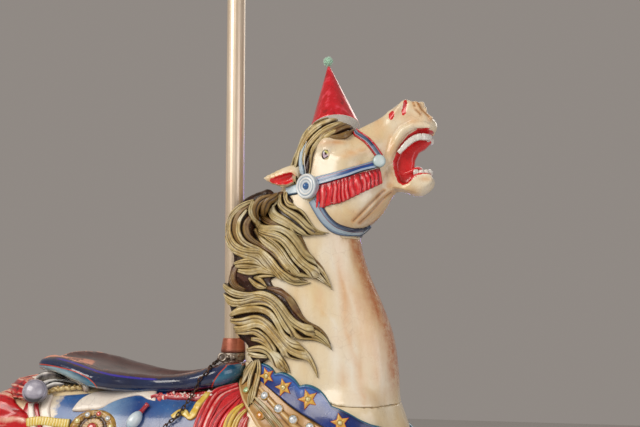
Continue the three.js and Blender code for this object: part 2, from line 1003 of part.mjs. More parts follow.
// ---------------------------------------------------------------- floor fittings
const flange = (() => {
  let f = lathe(
    [
      [0, 0],
      [FLANGE_R, 0],
      [FLANGE_R, FLANGE_T - 3],
      [FLANGE_R - 3, FLANGE_T],
      [0, FLANGE_T],
    ],
    32,
  );
  for (let i = 0; i < 4; i++) {
    const a = Math.PI / 4 + (i * Math.PI) / 2;
    f = f.add(
      solid(
        new THREE.CylinderGeometry(10, 10, 12, 6)
          .rotateX(Math.PI / 2)
          .translate(Math.cos(a) * 70, Math.sin(a) * 70, FLANGE_T + 4),
      ),
    );
  }
  return f;
})();
const sleeve = lathe(
  [
    [SLEEVE_BORE, FLANGE_T + GAP],
    [46, FLANGE_T + GAP],
    [46, FLANGE_T + 18],
    [SLEEVE_R, FLANGE_T + 34],
    [SLEEVE_R, SLEEVE_TOP - 24],
    [SLEEVE_BORE, SLEEVE_TOP - 24],
    [SLEEVE_BORE, FLANGE_T + GAP],
  ],
  32,
);
const bush = lathe(
  [
    [SLEEVE_BORE - 0.5, SLEEVE_TOP - 24 + GAP],
    [38, SLEEVE_TOP - 24 + GAP],
    [38, SLEEVE_TOP - 6],
    [32, SLEEVE_TOP],
    [SLEEVE_BORE - 0.5, SLEEVE_TOP],
    [SLEEVE_BORE - 0.5, SLEEVE_TOP - 24 + GAP],
  ],
  32,
);

// ---------------------------------------------------------------- the scene graph
const paint = (color, roughness = 0.45, metalness = 0) =>
  new THREE.MeshStandardMaterial({ color, roughness, metalness });
const LOOKS = {
  cream: paint(0xe3c79b),
  hair: paint(0x9a8554, 0.4, 0.25),
  hoof: paint(0x3a2c22, 0.5),
  blue: paint(0x1c3a78, 0.35),
  teal: paint(0x1d5f78, 0.35),
  light: paint(0x9db6c8, 0.4),
  red: paint(0xc8202c, 0.4),
  white: paint(0xe8e2d6, 0.4),
  mouth: paint(0xc8141c, 0.35),
  brass: paint(0xc9a86a, 0.25, 1),
  copper: paint(0xc07455, 0.4, 0.6),
  steel: paint(0x77726b, 0.45, 0.9),
  iron: paint(0x2e241e, 0.6, 0.8),
  hat: paint(0xc40a1e, 0.25),
  pompom: paint(0xa8dcc0, 0.8),
  glass: paint(0x30221c, 0.1),
};

const carouselHorse = new THREE.Group();
const floorPart = new THREE.Group();
const horsePart = new THREE.Group();
carouselHorse.add(floorPart, horsePart);

function put(group, name, manifold, look, mirror = false) {
  const mesh = new THREE.Mesh(geometryOf(manifold), LOOKS[look]);
  mesh.name = name;
  if (mirror) mesh.scale.y = -1;
  group.add(mesh);
  return mesh;
}

put(floorPart, "floor_flange", flange, "iron");
put(floorPart, "guide_sleeve", sleeve, "steel");
put(floorPart, "sleeve_bush", bush, "brass");

put(horsePart, "pole", poleAt(0), "brass");
put(horsePart, "pole_cap", poleCap, "steel");
put(horsePart, "pole_collar", collarCone, "copper");
put(horsePart, "pole_base_ring", baseRing, "steel");
put(horsePart, "eye_bolt", eyeBolt, "steel");
put(horsePart, "safety_chain", chainCut, "iron");
put(horsePart, "foot_rest", footRest, "iron");

put(horsePart, "trunk", trunk, "cream");
put(horsePart, "neck", neck, "cream");
put(horsePart, "head", head, "cream");
put(horsePart, "lower_jaw", lowerJaw, "cream");
put(horsePart, "upper_teeth", upperTeeth, "white");
put(horsePart, "lower_teeth", lowerTeeth, "white");
put(horsePart, "tongue", tongue, "mouth");
put(horsePart, "eye_right", eye, "glass");
put(horsePart, "eye_left", eye, "glass", true);
put(horsePart, "ear_right", ear, "cream");
put(horsePart, "ear_left", ear, "cream", true);
put(horsePart, "mane_right", mane, "hair");
put(horsePart, "mane_left", mane, "hair", true);
put(horsePart, "forelock", forelock, "hair");
put(horsePart, "tail", tail, "hair");

put(horsePart, "foreleg_right", legSolid(FORELEG_R), "cream");
put(horsePart, "forehoof_right", hoofSolid(FOREHOOF_R, FORELEG_R), "hoof");
put(horsePart, "foreleg_left", legSolid(FORELEG_L), "cream");
put(horsePart, "forehoof_left", hoofSolid(FOREHOOF_L, FORELEG_L), "hoof");
put(horsePart, "hindleg_right", legSolid(HINDLEG_R), "cream");
put(horsePart, "hindhoof_right", hoofSolid(HINDHOOF_R, HINDLEG_R), "hoof");
put(horsePart, "hindleg_left", legSolid(HINDLEG_L), "cream");
put(horsePart, "hindhoof_left", hoofSolid(HINDHOOF_L, HINDLEG_L), "hoof");

put(horsePart, "saddle", saddle, "blue");
put(horsePart, "saddle_flap_right", flapCut, "blue");
put(horsePart, "saddle_flap_left", flapCut, "blue", true);
const blanketCut = largest(blanket.subtract(saddleAt(GAP)));
put(horsePart, "saddle_cloth_right", blanketCut, "red");
put(horsePart, "saddle_cloth_left", blanketCut, "red", true);
put(horsePart, "blanket_roll", roll, "red");
put(horsePart, "breast_collar", collar, "blue");

const besideButton = (m) => largest(m.subtract(buttonAt(GAP)).subtract(rosetteAt(GAP)));
const mirroredButton = lathe(
  [
    [0, -16 - GAP],
    [16 + GAP, -16 - GAP],
    [16 + GAP, 6 + GAP],
    [12, 9 + GAP],
    [0, 10 + GAP],
  ],
  16,
  { x: 346, y: 64, z: 1401, turn: outFrom(0.35, 1, 0.1) },
);
put(horsePart, "cheek_strap_right", besideButton(cheekStrap), "light");
put(horsePart, "cheek_strap_left", besideButton(cheekStrap), "light", true);
const fringeCut = besideButton(fringe.subtract(headAt(STRAP_T + 1).intersect(prism(band(CHEEK_LINE, 23), -150, 0))));
put(horsePart, "fringe_right", fringeCut, "red");
put(horsePart, "fringe_left", fringeCut, "red", true);
put(horsePart, "noseband", largest(besideButton(noseband).subtract(mirroredButton)), "red");
const leftRosette = lathe(
  [
    [0, -20 - GAP],
    [31 + GAP, -20 - GAP],
    [31 + GAP, 5 + GAP],
    [24, 9 + GAP],
    [12, 9 + GAP],
    [8, 12 + GAP],
    [0, 12 + GAP],
  ],
  20,
  { x: 190, y: 82, z: 1348, turn: outFrom(-0.5, 1, 0) },
);
put(horsePart, "throat_strap", largest(besideButton(throatStrap).subtract(leftRosette)), "light");
put(horsePart, "rosette_right", rosette, "light");
put(horsePart, "rosette_left", rosette, "light", true);
put(horsePart, "bit_button_right", button, "light");
put(horsePart, "bit_button_left", button, "light", true);
put(horsePart, "party_hat", hat, "hat");
put(horsePart, "hat_pompom", pompom, "pompom");

export default carouselHorse;
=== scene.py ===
import math

import bpy
import numpy as np
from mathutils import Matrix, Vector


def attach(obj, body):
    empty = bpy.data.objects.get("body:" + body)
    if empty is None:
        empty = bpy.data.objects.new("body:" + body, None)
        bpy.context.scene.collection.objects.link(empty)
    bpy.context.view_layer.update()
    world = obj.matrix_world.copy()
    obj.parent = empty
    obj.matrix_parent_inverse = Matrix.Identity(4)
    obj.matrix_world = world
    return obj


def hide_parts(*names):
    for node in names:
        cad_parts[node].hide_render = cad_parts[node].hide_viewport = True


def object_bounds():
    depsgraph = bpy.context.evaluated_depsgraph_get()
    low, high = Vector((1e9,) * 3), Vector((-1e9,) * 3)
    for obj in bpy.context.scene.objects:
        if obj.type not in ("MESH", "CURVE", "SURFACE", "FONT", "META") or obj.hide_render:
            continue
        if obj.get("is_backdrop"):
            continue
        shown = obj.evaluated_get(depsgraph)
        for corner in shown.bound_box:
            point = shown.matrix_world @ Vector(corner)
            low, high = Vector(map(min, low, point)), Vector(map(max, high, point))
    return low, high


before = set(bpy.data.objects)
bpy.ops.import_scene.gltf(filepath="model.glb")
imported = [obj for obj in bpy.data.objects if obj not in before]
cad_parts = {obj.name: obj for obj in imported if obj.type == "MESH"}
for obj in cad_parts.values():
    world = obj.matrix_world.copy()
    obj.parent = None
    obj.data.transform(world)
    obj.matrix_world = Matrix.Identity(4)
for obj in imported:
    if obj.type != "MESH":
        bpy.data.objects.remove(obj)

import openvdb as vdb
from mathutils import Vector

cad_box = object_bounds()
ROUGH = 1.0

# ---------------------------------------------------------------- camera
scene = bpy.context.scene
cam_data = bpy.data.cameras.new("camera")
cam_data.lens = 50
cam_data.sensor_width = 36
cam_data.clip_start = 0.05
camera = bpy.data.objects.new("camera", cam_data)
camera.location = (0.61797, -1.95933, 1.120)
camera.rotation_euler = (math.radians(95.0), 0.0, math.radians(12.0))
scene.collection.objects.link(camera)
scene.camera = camera
scene.view_settings.view_transform = "Standard"

# the camera in plain numbers, to place features that were read as pixels of a 640 x 427 frame
AZ, TILT, FOCAL = math.radians(12.0), math.radians(5.0), 888.9
EYE = np.array([617.97, -1959.33, 1120.0])
AHEAD = np.array([-math.sin(AZ), math.cos(AZ)])
ASIDE = np.array([math.cos(AZ), math.sin(AZ)])


def ray(u, v):
    r, w = (u - 320) / FOCAL, (213.5 - v) / FOCAL
    f, z = math.cos(TILT) - w * math.sin(TILT), math.sin(TILT) + w * math.cos(TILT)
    return np.array([AHEAD[0] * f + ASIDE[0] * r, AHEAD[1] * f + ASIDE[1] * r, z])


def on_plane(u, v, y):
    """The point, in mm, that pixel (u, v) shows on the upright plane at that y."""
    d = ray(u, v)
    return EYE + d * ((y - EYE[1]) / d[1])


def seen_at(p):
    """The pixels that points are seen at, with every point moved to the near side first."""
    p = np.array(p, float)
    p[:, 1] = -np.abs(p[:, 1])
    d = p - EYE
    f = (d[:, 0] * AHEAD[0] + d[:, 1] * AHEAD[1]) * math.cos(TILT) + d[:, 2] * math.sin(TILT)
    w = -(d[:, 0] * AHEAD[0] + d[:, 1] * AHEAD[1]) * math.sin(TILT) + d[:, 2] * math.cos(TILT)
    r = d[:, 0] * ASIDE[0] + d[:, 1] * ASIDE[1]
    return 320 + r / f * FOCAL, 213.5 - w / f * FOCAL


def cast(grid, uv, start=-130.0, off=0.0):
    """For each pixel, the point of the surface that it shows. A pixel that passes beside it gives the nearest skin."""
    uv = np.asarray(uv, float)
    d = unit(np.array([ray(u, v) for u, v in uv]))
    p = np.array([on_plane(u, v, start) for u, v in uv])
    best, near = p.copy(), np.full(len(p), 1e9)
    for _ in range(60):
        s = grid.at(p) - off
        better = np.abs(s) < near
        best[better], near[better] = p[better], np.abs(s[better])
        p = p + d * np.clip(s, -15, 15)[:, None] * 0.85
    return grid.onto(best, off, 4)[0]


def seen_on(grid, u, v, start=-95.0):
    """The point of a field's surface that pixel (u, v) shows."""
    d = ray(u, v)
    d = d / np.linalg.norm(d)
    p = on_plane(u, v, start - 60)
    for _ in range(60):
        step = float(grid.at(p[None])[0])
        p = p + d * max(min(step, 20.0), -20.0) * 0.9
        if abs(step) < 0.05:
            break
    return p


# ---------------------------------------------------------------- numbers
def rng(seed):
    return np.random.default_rng(seed)


def smooth(a, b, x):
    t = np.clip((x - a) / (b - a), 0, 1)
    return t * t * (3 - 2 * t)


def spline(rows, steps):
    """Catmull-Rom through the rows."""
    r = np.asarray(rows, float)
    out = []
    n = len(r)
    for i in range(n - 1):
        p0, p1, p2, p3 = r[max(i - 1, 0)], r[i], r[i + 1], r[min(i + 2, n - 1)]
        for k in range(steps):
            t = k / steps
            out.append(
                0.5
                * (
                    2 * p1
                    + (p2 - p0) * t
                    + (2 * p0 - 5 * p1 + 4 * p2 - p3) * t * t
                    + (3 * p1 - p0 - 3 * p2 + p3) * t**3
                )
            )
    out.append(r[-1])
    return np.array(out)


def even(rows, count):
    """The spline through the rows, at count points an equal way apart in its first three (or two) numbers."""
    fine = spline(rows, 24)
    k = min(3, fine.shape[1])
    s = np.r_[0, np.cumsum(np.linalg.norm(np.diff(fine[:, :k], axis=0), axis=1))]
    want = np.linspace(0, s[-1], count)
    return np.stack([np.interp(want, s, fine[:, c]) for c in range(fine.shape[1])], 1)


def unit(v):
    return v / np.maximum(np.linalg.norm(v, axis=-1, keepdims=True), 1e-9)


# ---------------------------------------------------------------- closed shapes as vertices and faces
def rings_mesh(rings, cap=True):
    """rings (R, M, 3) joined into a closed tube with fan caps: vertices, quads, triangles."""
    rings = np.asarray(rings, float)
    R, M = rings.shape[:2]
    v = rings.reshape(-1, 3)
    i = np.arange(R - 1)[:, None] * M
    j = np.arange(M)[None]
    k = (j + 1) % M
    q = np.stack([i + j, i + k, i + M + k, i + M + j], -1).reshape(-1, 4)
    t = np.zeros((0, 3), int)
    if cap:
        v = np.vstack([v, rings[0].mean(0), rings[-1].mean(0)])
        a, b = R * M, R * M + 1
        jj = np.arange(M)
        kk = (jj + 1) % M
        t = np.vstack(
            [
                np.stack([np.full(M, a), kk, jj], -1),
                np.stack([np.full(M, b), (R - 1) * M + jj, (R - 1) * M + kk], -1),
            ]
        )
    return outward(v, q, t)


def outward(v, q, t):
    vol = 0.0
    if len(q):
        a, b, c, d = (v[q[:, k]] for k in range(4))
        vol += (a * np.cross(b, c)).sum() + (a * np.cross(c, d)).sum()
    if len(t):
        a, b, c = (v[t[:, k]] for k in range(3))
        vol += (a * np.cross(b, c)).sum()
    if vol < 0:
        q, t = q[:, ::-1], t[:, ::-1]
    return v, q, t


def rung_loft(rows, around=64, steps=8):
    """A body through upright rungs in the plane of symmetry: [top x, top z, bottom x, bottom z, half width, exponent, egg]."""
    rows = [list(r) + [0.0] * (7 - len(r)) for r in rows]
    fine = spline(rows, steps)
    a = (np.arange(around) + 0.5) / around * 2 * np.pi
    rings = []
    for tx, tz, bx, bz, w, e, egg in fine:
        c = np.sign(np.cos(a)) * np.abs(np.cos(a)) ** (2 / e)
        s = np.sign(np.sin(a)) * np.abs(np.sin(a)) ** (2 / e)
        rings.append(
            np.stack(
                [
                    (tx + bx) / 2 + (tx - bx) / 2 * c,
                    w * s * (1 + egg * c),
                    (tz + bz) / 2 + (tz - bz) / 2 * c,
                ],
                1,
            )
        )
    return rings_mesh(rings)


def limb_loft(rows, around=40, steps=8, turn=0.0):
    """A body along points: [x, y, z, radius fore and aft, radius sideways, exponent]."""
    rows = [list(r) + [2.0] * (6 - len(r)) for r in rows]
    fine = spline(rows, steps)
    p = fine[:, :3]
    along = unit(np.gradient(p, axis=0))
    side = np.tile([0.0, 1.0, 0.0], (len(p), 1))
    side = unit(side - along * (side * along).sum(1, keepdims=True))
    up = unit(np.cross(side, along))
    a = (np.arange(around) + 0.5) / around * 2 * np.pi
    rings = []
    for i in range(len(p)):
        e = fine[i, 5]
        c = np.sign(np.cos(a)) * np.abs(np.cos(a)) ** (2 / e)
        s = np.sign(np.sin(a)) * np.abs(np.sin(a)) ** (2 / e)
        rings.append(
            p[i] + np.outer(c * fine[i, 3], up[i]) + np.outer(s * fine[i, 4], side[i])
        )
    return rings_mesh(rings)


# ---------------------------------------------------------------- solids as distance fields, in mm
def smin(a, b, k):
    if k <= 0:
        return np.minimum(a, b)
    h = np.maximum(k - np.abs(a - b), 0) / k
    return np.minimum(a, b) - h * h * k * 0.25


def smax(a, b, k):
    return -smin(-a, -b, k)


class Solid:
    """A shape's distance function and the box it lies in."""

    def __init__(self, f, lo, hi):
        self.f, self.lo, self.hi = f, np.array(lo, float), np.array(hi, float)


def ball(c, r, turn=(0, 0, 0)):
    """An ellipsoid with radii r, turned by Euler angles in degrees."""
    c, r = np.array(c, float), np.array(r, float) * np.ones(3)
    m = np.eye(3)
    for axis, deg in zip("xyz", turn):
        t = math.radians(deg)
        i, j = {"x": (1, 2), "y": (2, 0), "z": (0, 1)}[axis]
        n = np.eye(3)
        n[i, i] = n[j, j] = math.cos(t)
        n[i, j], n[j, i] = -math.sin(t), math.sin(t)
        m = n @ m
    inv = m.T

    def f(x, y, z):
        px, py, pz = x - c[0], y - c[1], z - c[2]
        q = [
            (inv[k, 0] * px + inv[k, 1] * py + inv[k, 2] * pz).astype(np.float32)
            for k in range(3)
        ]
        k0 = np.sqrt(sum((q[k] / r[k]) ** 2 for k in range(3)))
        k1 = np.sqrt(sum((q[k] / r[k] ** 2) ** 2 for k in range(3)))
        return k0 * (k0 - 1) / np.maximum(k1, 1e-6)

    b = r.max()
    return Solid(f, c - b, c + b)


def rod(points, radii, flat=1.0):
    """Tapered capsules along points. flat below 1 squashes it sideways (in y)."""
    p = np.asarray(points, float)
    r = np.asarray(radii, float) * np.ones(len(p))

    def f(x, y, z):
        best = None
        for a, b, ra, rb in zip(p[:-1], p[1:], r[:-1], r[1:]):
            ab = b - a
            s = np.array([1.0, 1.0 / flat, 1.0])
            w = ab * s
            ww = float((w * w).sum()) + 1e-9
            px, py, pz = (x - a[0]) * s[0], (y - a[1]) * s[1], (z - a[2]) * s[2]
            t = np.clip((px * w[0] + py * w[1] + pz * w[2]) / ww, 0, 1)
            d = np.sqrt(
                (px - w[0] * t) ** 2 + (py - w[1] * t) ** 2 + (pz - w[2] * t) ** 2
            ) - (ra + (rb - ra) * t)
            best = d if best is None else np.minimum(best, d)
        return best * (flat if flat < 1 else 1.0)

    m = r.max() + 1
    return Solid(f, p.min(0) - m, p.max(0) + m)


def polygon(points, closed=True):
    """Signed distance to an outline in the side view, negative inside, as a function of x and z arrays."""
    p = np.asarray(points, float)
    q = np.roll(p, -1, 0) if closed else p[1:]
    p0 = p if closed else p[:-1]

    def f(x, z):
        x, z = np.broadcast_arrays(x, z)
        best = np.full(x.shape, 1e9, np.float32)
        inside = np.zeros(x.shape, bool)
        for (ax, az), (bx, bz) in zip(p0, q):
            ex, ez = bx - ax, bz - az
            wx, wz = x - ax, z - az
            t = np.clip((wx * ex + wz * ez) / (ex * ex + ez * ez + 1e-9), 0, 1)
            best = np.minimum(best, (wx - ex * t) ** 2 + (wz - ez * t) ** 2)
            if closed:
                cross = ((az <= z) != (bz <= z)) & (
                    x < ex * (z - az) / (ez if ez else 1e-9) + ax
                )
                inside ^= cross
        d = np.sqrt(best)
        return np.where(inside, -d, d) if closed else d

    return f


class Grid:
    """A block of distances. With half=True only the right side (y at most 0) is kept, and the left is its mirror image."""

    def __init__(self, lo, hi, h, half=False, far=60.0):
        lo, hi = np.array(lo, float), np.array(hi, float)
        h = h * ROUGH
        if half:
            hi[1] = 0.0
        self.h, self.half = h, half
        self.i = np.floor(lo / h + 1e-6).astype(int)
        self.n = np.ceil(hi / h - 1e-6).astype(int) - self.i + 1
        self.d = np.full(self.n, far, np.float32)
        self.far = far

    def axis(self, k, a=0, b=None):
        b = self.n[k] if b is None else b
        shape = [1, 1, 1]
        shape[k] = b - a
        return ((self.i[k] + np.arange(a, b)) * self.h).astype(np.float32).reshape(shape)

    def window(self, lo, hi, pad=0.0):
        a = np.clip(np.floor((np.array(lo) - pad) / self.h).astype(int) - self.i, 0, self.n)
        b = np.clip(np.ceil((np.array(hi) + pad) / self.h).astype(int) - self.i + 1, 0, self.n)
        if (b <= a).any():
            return None
        return tuple(slice(x, y) for x, y in zip(a, b)), [
            self.axis(k, a[k], b[k]) for k in range(3)
        ]

    def whole(self):
        return [self.axis(k) for k in range(3)]

    def blend_in(self, solid, k, how):
        w = self.window(solid.lo, solid.hi, k + 4 * self.h)
        if w is None:
            return self
        sl, (x, y, z) = w
        d = solid.f(x, y, z).astype(np.float32)
        if how == "add":
            self.d[sl] = smin(self.d[sl], d, k)
        elif how == "cut":
            self.d[sl] = smax(self.d[sl], -d, k)
        return self

    def add(self, solid, k=0.0):
        return self.blend_in(solid, k, "add")

    def cut(self, solid, k=0.0):
        return self.blend_in(solid, k, "cut")

    def from_mesh(self, mesh, band=30.0):
        v, q, t = mesh
        g = vdb.FloatGrid.createLevelSetFromPolygons(
            v.astype(np.float32),
            triangles=t.astype(np.uint32) if len(t) else None,
            quads=q.astype(np.uint32) if len(q) else None,
            transform=vdb.createLinearTransform(voxelSize=self.h),
            halfWidth=band / self.h,
        )
        out = np.empty(self.n, np.float32)
        g.copyToArray(out, ijk=tuple(int(c) for c in self.i))
        return out

    def at(self, p, field=None):
        """The field at points (N, 3)."""
        f = self.d if field is None else field
        p = np.asarray(p, float)
        if self.half:
            p = p.copy()
            p[:, 1] = -np.abs(p[:, 1])
        g = p / self.h - self.i
        g = np.clip(g, 0, self.n - 1.001)
        b = g.astype(int)
        t = g - b
        out = 0.0
        for dx in (0, 1):
            for dy in (0, 1):
                for dz in (0, 1):
                    w = (
                        (t[:, 0] if dx else 1 - t[:, 0])
                        * (t[:, 1] if dy else 1 - t[:, 1])
                        * (t[:, 2] if dz else 1 - t[:, 2])
                    )
                    out = out + w * f[b[:, 0] + dx, b[:, 1] + dy, b[:, 2] + dz]
        return out

    def slope(self, p, e=None):
        e = e or 1.5 * self.h
        g = np.stack(
            [
                self.at(p + np.eye(3)[k] * e) - self.at(p - np.eye(3)[k] * e)
                for k in range(3)
            ],
            1,
        )
        return unit(g)

    def onto(self, p, off=0.0, rounds=5):
        """Points moved straight out or in until they are off mm above the surface."""
        p = np.array(p, float)
        for _ in range(rounds):
            n = self.slope(p)
            p = p - n * np.clip(self.at(p) - off, -12, 12)[:, None] * 0.95
        return p, self.slope(p)

    def down(self, p, off=0.0, sign=-1.0, reach=160.0):
        """Points moved along y, from outside, until they meet the surface: for each (x, z) the y of the skin."""
        p = np.array(p, float)
        p[:, 1] = sign * reach
        for _ in range(40):
            s = self.at(p) - off
            p[:, 1] -= sign * np.clip(s, -6, 40) * 0.8
        return p

    def hollows(self, radius):
        """How much more solid than a flat surface the neighbourhood of each point is: above 0 in grooves, below 0 on ridges."""
        f = self.full()
        r = max(1, int(round(radius / self.h)))
        b = np.clip(f, -3 * radius, 3 * radius)
        for _ in range(2):
            for k in range(3):
                pad = [(0, 0)] * 3
                pad[k] = (r + 1, r)
                c = np.cumsum(np.pad(b, pad, mode="edge"), axis=k, dtype=np.float64)
                n = b.shape[k]
                hi = np.take(c, np.arange(2 * r + 1, 2 * r + 1 + n), axis=k)
                lo = np.take(c, np.arange(0, n), axis=k)
                b = ((hi - lo) / (2 * r + 1)).astype(np.float32)
        return (np.clip(f, -3 * radius, 3 * radius) - b) / radius

    def full(self):
        if not self.half:
            return self.d
        return np.concatenate([self.d, self.d[:, -2::-1]], 1)

    def mesh(self, fine=0.0):
        f = self.full()
        band = 4 * self.h
        g = vdb.FloatGrid(band)
        g.transform = vdb.createLinearTransform(voxelSize=self.h)
        g.copyFromArray(
            np.ascontiguousarray(np.clip(f, -band, band)),
            ijk=tuple(int(c) for c in self.i),
            tolerance=1e-4,
        )
        p, t, q = g.convertToPolygons(isovalue=0.0, adaptivity=fine)
        return outward(p.astype(float), q.astype(int), t.astype(int))

    def sample_full(self, field, p):
        """A field on the whole (mirrored) block, at points."""
        g = np.asarray(p, float) / self.h - self.i
        n = np.array(field.shape)
        g = np.clip(g, 0, n - 1.001)
        b = g.astype(int)
        t = g - b
        out = 0.0
        for dx in (0, 1):
            for dy in (0, 1):
                for dz in (0, 1):
                    w = (
                        (t[:, 0] if dx else 1 - t[:, 0])
                        * (t[:, 1] if dy else 1 - t[:, 1])
                        * (t[:, 2] if dz else 1 - t[:, 2])
                    )
                    out = out + w * field[b[:, 0] + dx, b[:, 1] + dy, b[:, 2] + dz]
        return out


def loft_into(grid, mesh, k=None, band=30.0):
    d = grid.from_mesh(mesh, band)
    grid.d = d if k is None else smin(grid.d, d, k)
    return grid


# ---------------------------------------------------------------- meshes in the scene
def put(name, mesh, materials, body="horse", replaces=(), masks=None, index=None, crisp=None):
    """A piece from vertices in mm. masks holds up to three numbers per vertex under each name."""
    v, q, t = mesh
    me = bpy.data.meshes.new(name)
    nq, nt = len(q), len(t)
    me.vertices.add(len(v))
    me.vertices.foreach_set("co", (np.asarray(v, np.float32) * 0.001).ravel())
    loops = np.concatenate([np.asarray(q, np.int32).ravel(), np.asarray(t, np.int32).ravel()])
    me.loops.add(len(loops))
    me.loops.foreach_set("vertex_index", loops)
    me.polygons.add(nq + nt)
    starts = np.concatenate([np.arange(nq) * 4, nq * 4 + np.arange(nt) * 3]).astype(np.int32)
    me.polygons.foreach_set("loop_start", starts)
    me.update(calc_edges=True)
    me.validate()
    me.polygons.foreach_set("use_smooth", np.ones(len(me.polygons), bool))
    for m in materials if isinstance(materials, (list, tuple)) else [materials]:
        me.materials.append(m)
    if index is not None and len(index) == len(me.polygons):
        me.polygons.foreach_set("material_index", np.asarray(index, np.int32))
    masks = dict(masks or {})
    if "hair" in masks:
        wide_ = np.asarray(masks["hair"], np.float32)
        masks["hair"] = wide_[:, :3]
        masks["flow"] = wide_[:, 3:] if wide_.shape[1] == 6 else np.asarray(mesh[0]) * [0.003, 0.0006, 0.002]
    for key, val in masks.items():
        val = np.asarray(val, np.float32)
        if val.ndim == 1:
            val = val[:, None]
        rgba = np.zeros((len(v), 4), np.float32)
        rgba[:, : val.shape[1]] = val
        rgba[:, 3] = 1
        a = me.color_attributes.new(key, "FLOAT_COLOR", "POINT")
        a.data.foreach_set("color", rgba.ravel())
    if crisp is not None:
        me.set_sharp_from_angle(angle=math.radians(crisp))
    ob = bpy.data.objects.new(name, me)
    scene.collection.objects.link(ob)
    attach(ob, body)
    if replaces:
        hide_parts(*replaces)
    return ob


def join(parts):
    """Several (vertices, quads, triangles) as one."""
    vs, qs, ts, n = [], [], [], 0
    for v, q, t in parts:
        vs.append(v)
        qs.append(np.asarray(q).reshape(-1, 4) + n)
        ts.append(np.asarray(t).reshape(-1, 3) + n)
        n += len(v)
    return np.vstack(vs), np.vstack(qs).astype(int), np.vstack(ts).astype(int)


def flip(mesh):
    """Its twin on the other side."""
    v, q, t = mesh
    v = np.array(v, float).copy()
    v[:, 1] *= -1
    return v, np.asarray(q)[:, ::-1], np.asarray(t)[:, ::-1]


def slots_of(parts, numbers):
    """The material number of each face once parts are joined: first every quad, then every triangle."""
    a = np.concatenate([np.full(len(p[1]), n) for p, n in zip(parts, numbers)])
    b = np.concatenate([np.full(len(p[2]), n) for p, n in zip(parts, numbers)])
    return np.concatenate([a, b])


